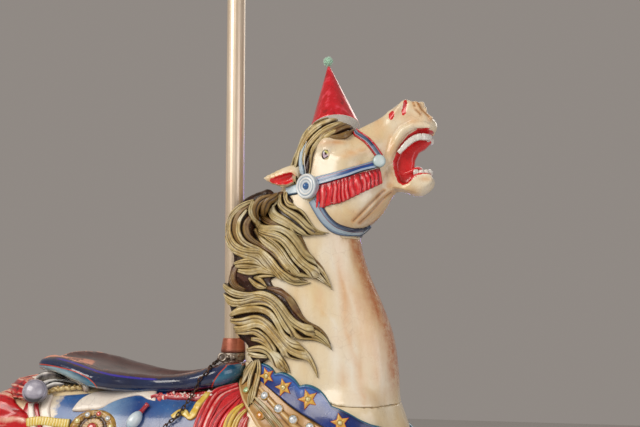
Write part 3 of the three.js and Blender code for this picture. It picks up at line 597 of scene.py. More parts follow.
# ---------------------------------------------------------------- materials
class Mat:
    """A small hand for building node materials."""

    def __init__(self, name, rough=0.4, metal=0.0, coat=0.0, coat_rough=0.1, spec=0.5):
        self.m = bpy.data.materials.new(name)
        self.m.use_nodes = True
        self.t = self.m.node_tree
        self.b = self.t.nodes["Principled BSDF"]
        self.b.inputs["Roughness"].default_value = rough
        self.b.inputs["Metallic"].default_value = metal
        self.b.inputs["Coat Weight"].default_value = coat
        self.b.inputs["Coat Roughness"].default_value = coat_rough
        self.b.inputs["Specular IOR Level"].default_value = spec
        self.co = self.node("ShaderNodeTexCoord").outputs["Object"]

    def node(self, kind, **props):
        n = self.t.nodes.new(kind)
        for k, v in props.items():
            setattr(n, k, v)
        return n

    def link(self, a, b):
        self.t.links.new(a, b)

    def feed(self, socket, value):
        if isinstance(value, bpy.types.NodeSocket):
            self.link(value, socket)
        else:
            socket.default_value = value

    def math(self, op, a, b=0.0, clamp=False):
        n = self.node("ShaderNodeMath", operation=op, use_clamp=clamp)
        self.feed(n.inputs[0], a)
        self.feed(n.inputs[1], b)
        return n.outputs[0]

    def mapped(self, scale=(1, 1, 1), turn=(0, 0, 0), shift=(0, 0, 0), co=None):
        n = self.node("ShaderNodeMapping")
        self.link(co or self.co, n.inputs[0])
        n.inputs["Location"].default_value = shift
        n.inputs["Rotation"].default_value = turn
        n.inputs["Scale"].default_value = scale
        return n.outputs[0]

    def noise(self, scale, detail=3.0, rough=0.5, co=None, distort=0.0):
        n = self.node("ShaderNodeTexNoise")
        self.link(co or self.co, n.inputs["Vector"])
        n.inputs["Scale"].default_value = scale
        n.inputs["Detail"].default_value = detail
        n.inputs["Roughness"].default_value = rough
        n.inputs["Distortion"].default_value = distort
        return n.outputs["Fac"]

    def cells(self, scale, feature="DISTANCE_TO_EDGE", co=None, random=1.0):
        n = self.node("ShaderNodeTexVoronoi", feature=feature)
        self.link(co or self.co, n.inputs["Vector"])
        n.inputs["Scale"].default_value = scale
        n.inputs["Randomness"].default_value = random
        return n.outputs["Distance"]

    def ramp(self, fac, stops, kind="LINEAR"):
        n = self.node("ShaderNodeValToRGB")
        n.color_ramp.interpolation = kind
        e = n.color_ramp.elements
        while len(e) > 1:
            e.remove(e[-1])
        for i, (pos, c) in enumerate(stops):
            c = (c, c, c) if isinstance(c, (int, float)) else c
            if i == 0:
                e[0].position, e[0].color = pos, (*c, 1)
            else:
                x = e.new(pos)
                x.color = (*c, 1)
        self.feed(n.inputs[0], fac)
        return n.outputs[0]

    def mix(self, fac, a, b, how="MIX"):
        n = self.node("ShaderNodeMix", data_type="RGBA", blend_type=how)
        self.feed(n.inputs["Factor"], fac)
        for s, v in ((6, a), (7, b)):
            self.feed(n.inputs[s], v if isinstance(v, bpy.types.NodeSocket) else (*v, 1))
        return n.outputs[2]

    def mask(self, key):
        """The three numbers stored under key, as sockets."""
        n = self.node("ShaderNodeVertexColor", layer_name=key)
        s = self.node("ShaderNodeSeparateColor")
        self.link(n.outputs["Color"], s.inputs[0])
        return s.outputs

    def above(self, value, edge, soft=0.0):
        """1 where value is above edge, with a soft width."""
        n = self.node("ShaderNodeMapRange")
        n.interpolation_type = "SMOOTHSTEP" if soft > 0 else "LINEAR"
        self.feed(n.inputs["Value"], value)
        n.inputs["From Min"].default_value = edge - max(soft, 1e-4) / 2
        n.inputs["From Max"].default_value = edge + max(soft, 1e-4) / 2
        return n.outputs[0]

    def split(self, co=None):
        n = self.node("ShaderNodeSeparateXYZ")
        self.link(co or self.co, n.inputs[0])
        return n.outputs

    def colour(self, c):
        self.feed(self.b.inputs["Base Color"], c if isinstance(c, bpy.types.NodeSocket) else (*c, 1))
        return self

    def rough(self, r):
        self.feed(self.b.inputs["Roughness"], r)
        return self

    def bump(self, height, strength=0.3, dist=0.002, coat=False):
        n = self.node("ShaderNodeBump")
        n.inputs["Strength"].default_value = strength
        n.inputs["Distance"].default_value = dist
        self.link(height, n.inputs["Height"])
        if getattr(self, "last_bump", None) is not None:
            self.link(self.last_bump, n.inputs["Normal"])
        self.last_bump = n.outputs[0]
        self.link(n.outputs[0], self.b.inputs["Normal"])
        if coat:
            self.link(n.outputs[0], self.b.inputs["Coat Normal"])
        return self


def rgb(h):
    """A linear colour from a display colour written as six hex digits."""
    c = [int(h[i : i + 2], 16) / 255 for i in (0, 2, 4)]
    return tuple(x / 12.92 if x <= 0.04045 else ((x + 0.055) / 1.055) ** 2.4 for x in c)


def enamel(m, colour, wear=0.35, dirt_and_shade=(0.10, 0.055, 0.025), cav=None, strokes=(60, 60, 14), chips=None, crackle=0.5, rough=(0.18, 0.42)):
    """Brush-painted wood under old varnish: streaky strokes, fine crazing with dirt in the cracks, painted shade in the
    hollows, rubbed edges.
    """
    streak = m.noise(1.0, 4, 0.6, m.mapped(strokes))
    fine = m.noise(420, 3, 0.6)
    broad = m.noise(9, 3, 0.5)
    colour = m.mix(m.math("MULTIPLY", m.above(streak, 0.56, 0.3), 0.22), colour, (1.0, 0.97, 0.92), "SOFT_LIGHT")
    colour = m.mix(m.math("MULTIPLY", m.above(broad, 0.5, 0.35), 0.22), colour, (0.30, 0.22, 0.14), "SOFT_LIGHT")
    # painted shade: the hollows given by cav are darkened towards the same dark colour as the cracks
    if cav is not None:
        deep = m.math("MULTIPLY", cav, m.math("ADD", m.math("MULTIPLY", fine, 0.5), 0.75), True)
        colour = m.mix(deep, colour, dirt_and_shade)
    craze = m.cells(1.0, co=m.mapped((62, 62, 40)))
    line = m.math("SUBTRACT", 1.0, m.above(craze, 0.018, 0.03))
    patch = m.above(m.noise(13, 2, 0.5), 0.55, 0.12)
    line = m.math("MULTIPLY", line, patch)
    colour = m.mix(m.math("MULTIPLY", line, crackle * 0.55), colour, dirt_and_shade)
    if chips is not None:
        spots = m.above(m.noise(170, 4, 0.75), 0.66, 0.02)
        colour = m.mix(m.math("MULTIPLY", spots, wear), colour, chips)
    m.colour(colour)
    m.rough(m.ramp(m.noise(34, 4, 0.6), [(0.3, rough[0]), (0.75, rough[1])]))
    m.bump(m.math("SUBTRACT", streak, m.math("MULTIPLY", line, 0.8)), 0.22, 0.0012)
    m.bump(fine, 0.05, 0.0006)
    return m


CREAM = rgb("EBD3A6")
PALE = rgb("F6E9CE")
TAN = rgb("D9904E")
BROWN = rgb("5C3216")
RED = rgb("D8161C")


def coat_paint():
    """The horse's cream coat: pale, airbrushed with tan, with painted highlights down the neck and painted shade in the
    hollows, red inside the mouth and nostrils.
    """
    m = Mat("coat", coat=0.55, coat_rough=0.12)
    pa = m.mask("shade")  # tan, hollow (painted shade), mouth
    pb = m.mask("extra")  # dark line, painted highlight, throat edge
    blot = m.noise(16, 4, 0.6)
    base = m.mix(m.ramp(m.noise(7, 3, 0.5, m.mapped((2.2, 2.2, 0.8))), [(0.38, 0.0), (0.66, 1.0)]), CREAM, PALE)
    # painted highlight: pale strokes where the neck catches the light
    base = m.mix(pb[1], base, rgb("FBF3E2"))
    tan = m.math("MULTIPLY", pa[0], m.ramp(blot, [(0.25, 0.55), (0.7, 1.0)]), True)
    base = m.mix(tan, base, m.mix(m.ramp(blot, [(0.35, 0.0), (0.75, 1.0)]), rgb("E8AA5E"), rgb("D2843C")))
    edge = m.math("MULTIPLY", pb[2], m.ramp(m.noise(60, 5, 0.75), [(0.36, 0.35), (0.62, 1.0)]), True)
    base = m.mix(m.math("MULTIPLY", edge, 0.92), base, rgb("C0601A"))
    pits = m.math("MULTIPLY", m.above(m.noise(330, 3, 0.7), 0.62, 0.03), pb[2])
    base = m.mix(pits, base, rgb("F0D9B4"))
    base = m.mix(m.math("MULTIPLY", pb[0], 1.0, True), base, rgb("4A2A14"))
    red = m.above(pa[2], 0.5, 0.06)
    redc = m.mix(m.ramp(m.noise(24, 3, 0.5), [(0.35, 0.0), (0.7, 1.0)]), rgb("D0121A"), rgb("EE2A2C"))
    base = m.mix(red, base, redc)
    # painted shade: the hollows are darkened, half as much inside the red
    cav = m.math("MULTIPLY", pa[1], m.math("SUBTRACT", 1.0, m.math("MULTIPLY", red, 0.5)))
    return enamel(m, base, cav=cav, dirt_and_shade=rgb("7A431C"), crackle=0.25, rough=(0.2, 0.4)).m


COAT = coat_paint()

# ---------------------------------------------------------------- the horse's masses
# [top x, top z, bottom x, bottom z, half width, exponent, egg]
TRUNK = [
    [-712, 766, -712, 738, 22, 2],
    [-700, 796, -700, 716, 76, 2.1],
    [-664, 824, -662, 684, 120, 2.2],
    [-600, 852, -597, 650, 148, 2.3],
    [-540, 886, -538, 632, 156, 2.3],
    [-480, 908, -480, 620, 157, 2.3],
    [-380, 926, -380, 602, 154, 2.3],
    [-250, 910, -250, 585, 152, 2.3],
    [-120, 906, -120, 575, 152, 2.3],
    [0, 920, 0, 575, 150, 2.3],
    [110, 934, 110, 590, 146, 2.3],
    [210, 930, 210, 618, 138, 2.2],
    [295, 912, 300, 655, 124, 2.2],
    [352, 886, 362, 700, 98, 2.1],
    [386, 858, 394, 745, 58, 2],
    [400, 830, 404, 778, 20, 2],
]
NECK = [
    [352, 780, 60, 825, 108, 2.3],
    [376, 840, 46, 872, 113, 2.4],
    [379, 900, 36, 935, 108, 2.5],
    [376, 960, 33, 1002, 101, 2.5],
    [366, 1025, 33, 1058, 93, 2.5],
    [345, 1085, 34, 1118, 86, 2.4],
    [316, 1152, 42, 1188, 79, 2.4],
    [299, 1206, 60, 1256, 74, 2.3],
    [292, 1240, 88, 1308, 71, 2.3],
    [280, 1282, 118, 1360, 68, 2.2],
    [262, 1340, 148, 1412, 62, 2.1],
    [240, 1400, 176, 1442, 44, 2],
]
HEAD = [
    [168, 1424, 168, 1366, 30, 2, 0.0],
    [181, 1472, 180, 1306, 62, 2.1, 0.0],
    [222, 1499, 212, 1264, 80, 2.3, -0.06],
    [262, 1494, 262, 1246, 84, 2.4, -0.10],
    [288, 1483, 304, 1254, 79, 2.4, -0.10],
    [310, 1493, 336, 1288, 69, 2.3, -0.08],
    [331, 1506, 358, 1348, 56, 2.3, -0.04],
    [352, 1520, 372, 1400, 47, 2.3, 0.0],
    [376, 1536, 387, 1440, 42, 2.3, 0.06],
    [400, 1544, 408, 1457, 42, 2.4, 0.10],
    [424, 1541, 428, 1466, 42, 2.5, 0.05],
    [444, 1522, 448, 1466, 38, 2.3, 0.0],
    [459, 1500, 460, 1472, 22, 2],
]
JAW = [
    [300, 1330, 300, 1264, 48, 2],
    [322, 1350, 318, 1266, 50, 2.1],
    [348, 1378, 336, 1280, 46, 2.2],
    [366, 1388, 364, 1316, 40, 2.3],
    [382, 1368, 384, 1336, 36, 2.3],
    [400, 1362, 399, 1336, 36, 2.3],
    [416, 1368, 412, 1330, 37, 2.4],
    [432, 1370, 430, 1330, 35, 2.4],
    [450, 1370, 448, 1343, 27, 2.2],
    [460, 1364, 459, 1353, 13, 2],
]


def pixels(points, y):
    """Pixels of the frame as [x, z] on the plane at y."""
    return np.array([on_plane(u, v, y)[[0, 2]] for u, v in points])


MOUTH = pixels(
    [
        (446, 133), (434, 131), (426.6, 129.6), (417.5, 130.2), (408.6, 135.6), (401.2, 144.6),
        (396.8, 153.6), (394.2, 161), (394.3, 166.2), (396.2, 173.3), (398.8, 180.4), (402.4, 182.6),
        (406.5, 181.6), (410.6, 177.2), (414.2, 173.2), (420, 171.6), (428, 171.2), (446, 172),
    ],
    -48,
)
# where the palate and tongue close the mouth behind
GULLET = pixels(
    [
        (433, 142), (425, 149.8), (419, 153), (415.4, 160.5), (414.6, 168), (416, 176), (410, 200),
        (360, 190), (360, 120), (436, 120),
    ],
    0,
)


# where the head block ends and the neck block begins, under the throat strap
HEAD_PART = polygon(
    [
        (100, 1372), (160, 1345), (196, 1316), (214, 1296), (236, 1272), (256, 1248), (262, 1236),
        (340, 1232), (520, 1232), (520, 1640), (100, 1640),
    ]
)
# where the neck block ends and the trunk begins: the glue line at the chest
NECK_PART = polygon(
    [
        (470, 876), (388, 877.5), (265, 882.5), (180, 905), (110, 940), (70, 962), (-60, 975),
        (-60, 1600), (470, 1600),
    ]
)


# folds of skin at the jaw, nostrils and creases of the muzzle, as pixels
FOLDS = [
    [(384, 190.5), (377.2, 196.9), (370.3, 203.8), (361.7, 212.4), (353.1, 221)],
    [(393, 191.5), (387.5, 194.8), (380.7, 201.6), (373.8, 209.2), (366, 216.9), (359.1, 222.9)],
    [(394.5, 197), (389.3, 204.5), (384.8, 212.3), (377.9, 219.5), (371, 224)],
]
NOSTRILS = [
    [(388.7, 118.4), (389.4, 113.2), (392.4, 110.6), (394.6, 112.4), (393.6, 117.4), (390.6, 120.4)],
    [(401.4, 112.6), (402.6, 106.4), (403.8, 100.6), (406.4, 99.8), (407.2, 103.4), (406.0, 108.4), (405.8, 113.4), (403.2, 116.2)],
]
CREASES = [
    [(413.2, 102.2), (415.3, 108.8), (418.8, 112.3), (420.9, 114.4)],
    [(417.4, 101.6), (420.9, 108.8), (425.1, 113), (429.3, 117.2)],
]


def side(g, shape):
    x, y, z = g.whole()
    return shape(x[:, 0, :], z[:, 0, :])[:, None, :]


def seen_clip(g, outline, k, lo, hi, pad=0.0):
    """Cuts away what would show outside an outline given in pixels, and the mirror image of that on the other side."""
    sl, (x, y, z) = g.window(lo, hi)
    xx, yy, zz = np.broadcast_arrays(x - EYE[0], y, z - EYE[2])
    shape = polygon(outline)
    worst = None
    for s_ in (1, -1):
        dy = s_ * yy - EYE[1]
        level = xx * AHEAD[0] + dy * AHEAD[1]
        f = level * math.cos(TILT) + zz * math.sin(TILT)
        w = -level * math.sin(TILT) + zz * math.cos(TILT)
        r = xx * ASIDE[0] + dy * ASIDE[1]
        d = shape((320 + r / f * FOCAL).astype(np.float32), (213.5 - w / f * FOCAL).astype(np.float32)) * 2.25 + pad
        worst = d if worst is None else np.maximum(worst, d)
    g.d[sl] = smax(g.d[sl], worst.astype(np.float32), k)


def crop(x, y):
    return 200 + x / 6.533, 50 + y / 6.533


MUZZLE = [crop(*c) for c in [
    (1030, 520), (1090, 490), (1160, 455), (1200, 430), (1230, 400), (1262, 380), (1290, 358), (1315, 335), (1345, 322), (1375, 330), (1390, 336),
    (1420, 328), (1455, 334), (1480, 348), (1484, 380), (1482, 408), (1500, 425), (1530, 440), (1548, 470), (1550, 510), (1545, 545), (1520, 575),
    (1515, 592), (1560, 640), (1560, 760), (1512, 798), (1516, 832), (1532, 850), (1541, 875), (1531, 902), (1500, 932), (1450, 962), (1400, 957), (1340, 932),
    (1290, 926), (1258, 962), (1230, 1020), (1200, 1070), (1150, 1122), (1100, 1160), (900, 1400), (-200, 1500), (-200, 100),
    (440, 180), (560, 262), (700, 382), (797, 438), (838, 470), (880, 500), (940, 522), (985, 535), (1012, 534),
]]


def skull(g):
    """What the head block and the neck block share."""
    loft_into(g, rung_loft(HEAD))
    loft_into(g, rung_loft(NECK), 16)
    g.add(ball((266, -44, 1326), (70, 42, 72), (0, 20, 0)), 22)
    return g


def sculpt_head():
    g = Grid((140, -112, 1225), (478, 0, 1562), 1.6, half=True)
    skull(g)
    loft_into(g, rung_loft(JAW), 10)
    y = lambda u, v, d=-80: on_plane(u, v, d)
    # brow, cheek bone, nasal ridge
    g.add(rod([(206, -60, 1440), (232, -71, 1444), (262, -66, 1440)], [9, 12, 7]), 16)
    g.add(rod([(262, -70, 1404), (300, -66, 1418), (334, -54, 1440)], [11, 10, 6]), 18)
    g.cut(ball((286, -104, 1452), (44, 26, 16), (0, -22, 0)), 20)
    g.cut(ball((318, -98, 1395), (30, 26, 17), (0, -15, 0)), 18)
    g.add(rod([(300, -24, 1484), (345, -22, 1510), (380, -20, 1528)], [9, 9, 9]), 12)
    # eye socket and lids
    e = on_plane(325.5, 155, -80)
    ex, ez = e[0], e[2]
    g.cut(ball((ex, -87, ez), (9.5, 9, 13)), 5)
    g.add(rod([(ex - 10, -75, ez - 6), (ex - 9.5, -78, ez + 4), (ex - 3, -80, ez + 13), (ex + 5, -80, ez + 13), (ex + 10.5, -77, ez + 4), (ex + 12, -74, ez - 4)], [1.4, 1.9, 2.4, 2.4, 1.9, 1.3]), 2.5)
    g.add(rod([(ex - 10, -75, ez - 6), (ex - 5, -78, ez - 13), (ex + 3, -78.5, ez - 12), (ex + 9, -77, ez - 7), (ex + 12, -74, ez - 4)], [1.4, 1.8, 1.8, 1.6, 1.2]), 2.5)
    g.add(rod([(ex - 18, -68, ez + 12), (ex - 6, -75, ez + 20), (ex + 9, -75, ez + 19), (ex + 19, -69, ez + 8)], [3, 4, 4, 2.5]), 7)
    # lips: a full roll round the mouth, thinning to the corner
    lip = [(369, 1404), (374, 1422), (385, 1446), (402, 1468), (424, 1479), (444, 1479), (458, 1474)]
    g.add(rod([(x - 5, -38 - min(6, i * 2), z + 2) for i, (x, z) in enumerate(lip)], [8, 9, 10, 10, 9.5, 8.5, 6]), 8)
    g.add(rod([(446, -26, 1484), (458, -10, 1484), (460, 0, 1484)], [11, 12, 12]), 9)
    low = [(370, 1388), (376, 1372), (381, 1356), (390, 1346), (402, 1346), (414, 1354)]
    g.add(rod([(x - 3, -34, z - 3) for x, z in low], [8, 7, 7, 6.5, 7, 8]), 7)
    # crease outside the lip, and the one over it to the nostril
    g.cut(rod([(352, -56, 1394), (356, -55, 1420), (366, -53, 1446), (382, -51, 1472), (402, -50, 1490), (424, -48, 1496)], [2.0, 3.4, 3.8, 3.6, 3.0, 1.5]), 7)
    g.cut(rod([(362, -56, 1400), (365, -54, 1424), (375, -52, 1448)], [1.2, 2.6, 1.2]), 4)
    # chin
    g.add(ball((434, 0, 1347), (24, 33, 17), (0, -8, 0)), 9)
    g.add(ball((421, -10, 1338), (14, 18, 9)), 8)
    # nostril: a flared rim, the slit inside it, the folds in front
    n0, n1, n2 = y(391, 119, -40), y(399, 108, -40), y(404, 100.5, -36)
    n3, n4 = y(410, 103, -34), y(407, 113, -38)
    g.add(rod([n0, n1, n2, n3, n4], [4, 7, 8, 7, 6]), 7)
    g.cut(rod([y(392, 117.5, -52), y(399, 111, -54), y(404, 106, -54)], [2.2, 4.2, 5.0]), 4)
    g.cut(rod([y(404, 113.5, -52), y(404.8, 108, -53), y(406, 102.5, -50)], [2.4, 3.8, 3.0]), 3)
    g.add(rod([y(413, 101, -30), y(418, 106, -34), y(419, 113, -38)], [6, 7, 5]), 5)
    g.cut(rod([y(411.4, 101, -44), y(413, 105.5, -48), y(416, 110.5, -48)], [1.5, 2.4, 1.2]), 3)
    g.add(rod([y(422, 104, -24), y(427, 110, -28), y(431, 117, -30)], [7, 7, 6]), 5)
    g.cut(rod([y(421.5, 101.5, -34), y(424, 107, -42), y(426.5, 113, -42)], [1.5, 2.2, 1.0]), 3)
    # folds of skin that run back from the chin along the jaw
    for line, deep in zip(FOLDS, (3.4, 4.2, 3.6)):
        fine = even(line, 9)
        path = cast(g, fine)
        g.cut(rod(path, deep * np.array([0.35, 0.8, 1, 1, 1, 1, 0.9, 0.6, 0.25])), 5)
    # the mouth: filled between the jaws, then opened, with palate, throat and tongue left standing in the middle
    x, yy, z = g.whole()
    fill = polygon(pixels([(432, 141), (425, 149.8), (419, 153), (415.4, 160.5), (414.6, 168), (424, 172), (440, 174.5), (430, 186), (396, 196), (372, 186), (372, 150), (400, 128), (424, 130)], -20))
    g.d = smin(g.d, smax(side(g, fill), np.abs(yy) - 37.0, 8), 5)
    hole = side(g, polygon(MOUTH))
    back = smax(side(g, polygon(GULLET)), np.abs(yy) - 15.0, 14)
    g.d = smax(g.d, -smax(hole, -back, 8), 4.5)
    seen_clip(g, MUZZLE, 6.0, (226, -112, 1240), (478, 0, 1562))
    g.skin = g.d.copy()
    g.d = smax(g.d, side(g, HEAD_PART) - 0.3, 1.2)
    return g


def shade_masks(g, v, extra_tan=(), name=None):
    """tan, hollow and mouth, for the vertices of a carved, cream piece."""
    h = g.sample_full(g.hollows(5.0), v)
    wide = g.sample_full(g.hollows(16.0), v)
    # hollow: painted shade for the creases and hollows of the carving
    hollow = smooth(0.10, 0.55, h) * 0.75 + smooth(0.05, 0.30, wide) * 0.25
    tan = smooth(0.02, 0.30, wide) * 0.75
    for (x, y, z), r, s in extra_tan:
        for side in (-1, 1):
            q = ((v - np.array([x, side * abs(y), z])) / np.array(r)) ** 2
            tan = np.maximum(tan, s * np.exp(-q.sum(1)))
    mouth = np.zeros(len(v))
    return np.stack([np.clip(tan, 0, 1), np.clip(hollow, 0, 1), mouth], 1)


head = sculpt_head()
hv = head.mesh(0.05)
tan_spots = [
    ((372, 50, 1430), (16, 30, 34), 0.55),
    ((345, 60, 1418), (22, 30, 14), 0.45),
    ((306, 66, 1424), (22, 30, 7), 0.6),
    ((232, 78, 1442), (26, 26, 8), 0.55),
    ((410, 40, 1500), (40, 40, 12), 0.5),
    ((432, 20, 1520), (20, 40, 16), 0.45),
    ((382, 40, 1512), (14, 30, 12), 0.45),
    ((340, 40, 1300), (40, 30, 34), 0.5),
    ((410, 40, 1338), (20, 40, 12), 0.45),
    ((255, 75, 1262), (60, 50, 12), 0.35),
    ((372, 44, 1376), (8, 20, 26), 0.6),
]
sh = shade_masks(head, hv[0], tan_spots)
inside = polygon(MOUTH)(hv[0][:, 0], hv[0][:, 2])
pu, pv = seen_at(hv[0])
gum = smooth(4.6, 3.4, inside) * (hv[0][:, 0] > 366)
for shape in NOSTRILS:
    gum = np.maximum(gum, smooth(0.5, -0.3, polygon(shape)(pu, pv)) * (np.abs(hv[0][:, 1]) > 12))
sh[:, 2] = gum
ex = np.zeros((len(hv[0]), 3))
for line in FOLDS:
    d = polygon(even(line, 12), closed=False)(pu, pv)
    ex[:, 0] = np.maximum(ex[:, 0], 0.75 * np.exp(-((d / 0.55) ** 2)))
    sh[:, 0] = np.maximum(sh[:, 0], 0.95 * np.exp(-((d / 2.6) ** 2)))
for line in CREASES:
    d = polygon(even(line, 12), closed=False)(pu, pv)
    ex[:, 0] = np.maximum(ex[:, 0], 0.6 * np.exp(-((d / 0.5) ** 2)))
    sh[:, 0] = np.maximum(sh[:, 0], 1.0 * np.exp(-((d / 1.6) ** 2)))
for (u, v), (ru, rv), k in (
    ((337, 142), (13, 2.2), 0.8), ((352, 153), (9, 3.6), 0.75), ((345, 156), (7, 3), 0.6), ((313, 160), (2.5, 12), 0.5),
    ((413, 121), (8, 4), 0.75), ((391, 137), (3, 8), 0.6), ((390, 186), (6, 4), 0.8), ((396, 189), (5, 2.5), 0.85),
    ((425, 179), (6, 2), 0.7), ((379, 122), (6, 4), 0.45), ((430, 119), (3, 3), 0.7), ((384, 127), (5, 3), 0.4),
    ((358, 214), (9, 5), 0.55), ((335, 216), (12, 5), 0.25), ((372, 186), (8, 6), 0.35), ((377, 131), (5, 12), 0.35),
):
    sh[:, 0] = np.maximum(sh[:, 0], k * np.exp(-(((pu - u) / ru) ** 2) - ((pv - v) / rv) ** 2))
print("head", len(hv[1]) * 2 + len(hv[2]))
put("head_carving", hv, COAT, replaces=("head", "lower_jaw"), masks={"shade": sh, "extra": ex})


# ---------------------------------------------------------------- neck
def torso(g):
    """What the neck block and the trunk share."""
    loft_into(g, rung_loft(TRUNK, 96, 8))
    loft_into(g, rung_loft(NECK), 26)
    # breast muscles with the groove between them, point of the shoulder
    g.add(ball((352, -44, 776), (52, 44, 76), (0, -12, 0)), 18)
    g.cut(rod([(408, 0, 870), (420, 0, 800), (404, 0, 700)], [3, 9, 3]), 14)
    g.add(ball((268, -86, 812), (78, 52, 108), (0, 24, 0)), 26)
    return g


def sculpt_neck():
    g = Grid((-30, -150, 850), (440, 0, 1400), 2.2, half=True)
    torso(g)
    loft_into(g, rung_loft(HEAD), 16)
    g.add(ball((266, -44, 1326), (70, 42, 72), (0, 20, 0)), 22)
    # the windpipe's soft groove and a hint of the long muscles
    g.cut(rod([(268, -98, 1190), (292, -108, 1100), (312, -118, 1000), (322, -126, 910)], [3, 7, 7, 3]), 24)
    whole = g.d.copy()
    g.d = smax(g.d, side(g, HEAD_PART) * -1 - 0.3, 1.2)
    g.d = smax(g.d, side(g, NECK_PART) + 0.35, 2.4)
    x, y, z = g.whole()
    g.d = np.maximum(g.d, -(np.sqrt(x * x + y * y) - 21.4)).astype(np.float32)
    g.skin = whole
    return g


neck = sculpt_neck()
nv = neck.mesh(0.15)
throat = polygon([(291.5, 1238), (298, 1209.7), (311, 1167.6), (327, 1122.4), (345.5, 1080.8), (361, 1046.3), (369.4, 1015.6), (374.4, 974.4), (378.4, 923.4), (379, 880), (384, 850)], closed=False)
sh = shade_masks(neck, nv[0], [((318, 70, 1120), (34, 90, 90), 0.55), ((300, 80, 1235), (60, 80, 26), 0.5), ((345, 90, 900), (70, 80, 22), 0.28), ((360, 60, 1000), (30, 80, 70), 0.4)])
ex = np.zeros((len(nv[0]), 3))
front = throat(nv[0][:, 0], nv[0][:, 2])
ex[:, 2] = smooth(25, 5, front) * smooth(70, 40, np.abs(nv[0][:, 1])) * smooth(880, 960, nv[0][:, 2])
streak = np.exp(-(((nv[0][:, 0] - (300 + (1250 - nv[0][:, 2]) * 0.12)) / 26) ** 2))
sh[:, 0] = np.maximum(sh[:, 0], 0.55 * streak * smooth(900, 1050, nv[0][:, 2]))
nu_, nw_ = seen_at(nv[0] * np.array([1, 0, 1]) - np.abs(nv[0]) * np.array([0, 1, 0]))


def stroke(points, half):
    """A brushed stroke along a line given in pixels, thinning at both ends."""
    p_ = np.array(points, float)
    along = (nw_ - p_[0, 1]) / (p_[-1, 1] - p_[0, 1])
    mid_ = np.interp(nw_, p_[:, 1], p_[:, 0])
    full = np.sqrt(np.clip(1 - (2 * np.clip(along, 0, 1) - 1) ** 2, 0, 1))
    return np.exp(-(((nu_ - mid_) / (half * (0.35 + 0.65 * full))) ** 2)) * full


for pts_, half_, k_ in (
    ([(339, 248), (343, 285), (347.5, 322), (351, 365)], 5.5, 0.85), ([(358, 352), (362, 380), (364.5, 408)], 4.0, 0.7), ([(318, 286), (321, 302), (323, 320)], 3.5, 0.5),
    ([(348, 262), (356, 300), (362, 340), (366, 380)], 4.0, 0.55), ([(334, 330), (341, 366), (346, 400)], 2.6, 0.4), ([(373, 330), (376, 362), (379, 398)], 2.5, 0.5),
):
    sh[:, 0] = np.maximum(sh[:, 0], k_ * stroke(pts_, half_))
# painted highlights: a pale band and pale strokes down the neck where it catches the light
ex[:, 1] = np.exp(-(((nv[0][:, 0] - (240 + (1250 - nv[0][:, 2]) * 0.18)) / 22) ** 2)) * 0.8
for pts_, half_, k_ in (
    ([(331, 292), (334, 340), (338, 398)], 5.5, 0.9), ([(381, 330), (383, 360), (384, 400)], 3.0, 0.8), ([(325, 240), (324, 256), (323, 274)], 5.0, 0.8),
    ([(303, 290), (306, 305), (310, 330)], 5.0, 0.6), ([(352, 300), (356, 340), (358, 372)], 2.6, 0.6),
):
    ex[:, 1] = np.maximum(ex[:, 1], k_ * stroke(pts_, half_))
print("neck", len(nv[1]) * 2 + len(nv[2]))
put("neck_carving", nv, COAT, replaces=("neck",), masks={"shade": sh, "extra": ex})

# ---------------------------------------------------------------- legs
# [x, y, z, radius fore and aft, radius sideways, exponent]
LEGS = {
    "foreleg_right": [
        [246, -84, 776, 70, 34, 2.2], [258, -96, 730, 60, 40, 2.2], [284, -106, 684, 51, 41, 2.1], [318, -112, 640, 41, 35, 2.1],
        [352, -114, 600, 32, 29, 2.2], [380, -114, 572, 30, 27, 2.4], [398, -114, 548, 31, 28, 2.5], [402, -113, 522, 27, 25, 2.4],
        [396, -112, 492, 20, 17, 2.3], [385, -111, 458, 18.5, 15, 2.3], [374, -110, 428, 21, 18, 2.2], [368, -110, 412, 25, 21, 2.1],
        [358, -109, 396, 22, 19, 2.1], [347, -109, 380, 22, 20, 2.1],
    ],
    "foreleg_left": [
        [246, 84, 776, 70, 34, 2.2], [262, 96, 738, 60, 40, 2.2], [298, 106, 698, 51, 41, 2.1], [342, 112, 664, 41, 35, 2.1],
        [384, 114, 634, 32, 29, 2.2], [416, 114, 612, 30, 27, 2.4], [438, 114, 590, 31, 28, 2.5], [445, 113, 564, 27, 25, 2.4],
        [442, 112, 534, 20, 17, 2.3], [433, 111, 500, 18.5, 15, 2.3], [424, 110, 472, 21, 18, 2.2], [418, 110, 456, 25, 21, 2.1],
        [408, 109, 440, 22, 19, 2.1], [396, 109, 425, 22, 20, 2.1],
    ],
    "hindleg_right": [
        [-578, -94, 788, 86, 44, 2.3], [-560, -106, 746, 92, 50, 2.3], [-546, -114, 704, 84, 50, 2.2], [-546, -118, 652, 62, 42, 2.1],
        [-574, -119, 604, 45, 34, 2.1], [-616, -118, 562, 35, 28, 2.2], [-646, -116, 526, 34, 26, 2.4], [-658, -115, 492, 28, 24, 2.3],
        [-661, -114, 456, 20, 17, 2.3], [-664, -113, 420, 20, 17, 2.2], [-668, -112, 396, 25, 21, 2.1], [-679, -112, 376, 23, 20, 2.1],
        [-690, -112, 360, 22, 20, 2.1],
    ],
    "hindleg_left": [
        [-580, 94, 788, 86, 44, 2.3], [-568, 106, 750, 92, 50, 2.3], [-562, 114, 712, 84, 50, 2.2], [-574, 118, 664, 62, 42, 2.1],
        [-616, 119, 626, 45, 34, 2.1], [-670, 118, 596, 35, 28, 2.2], [-706, 116, 568, 34, 26, 2.4], [-724, 115, 538, 28, 24, 2.3],
        [-732, 114, 504, 20, 17, 2.3], [-740, 113, 468, 20, 17, 2.2], [-746, 112, 446, 25, 21, 2.1], [-759, 112, 427, 23, 20, 2.1],
        [-773, 112, 411, 22, 20, 2.1],
    ],
}
# the height below which a leg is its own, finer piece
LEG_CUT = {"foreleg_right": 655, "foreleg_left": 672, "hindleg_right": 655, "hindleg_left": 664}


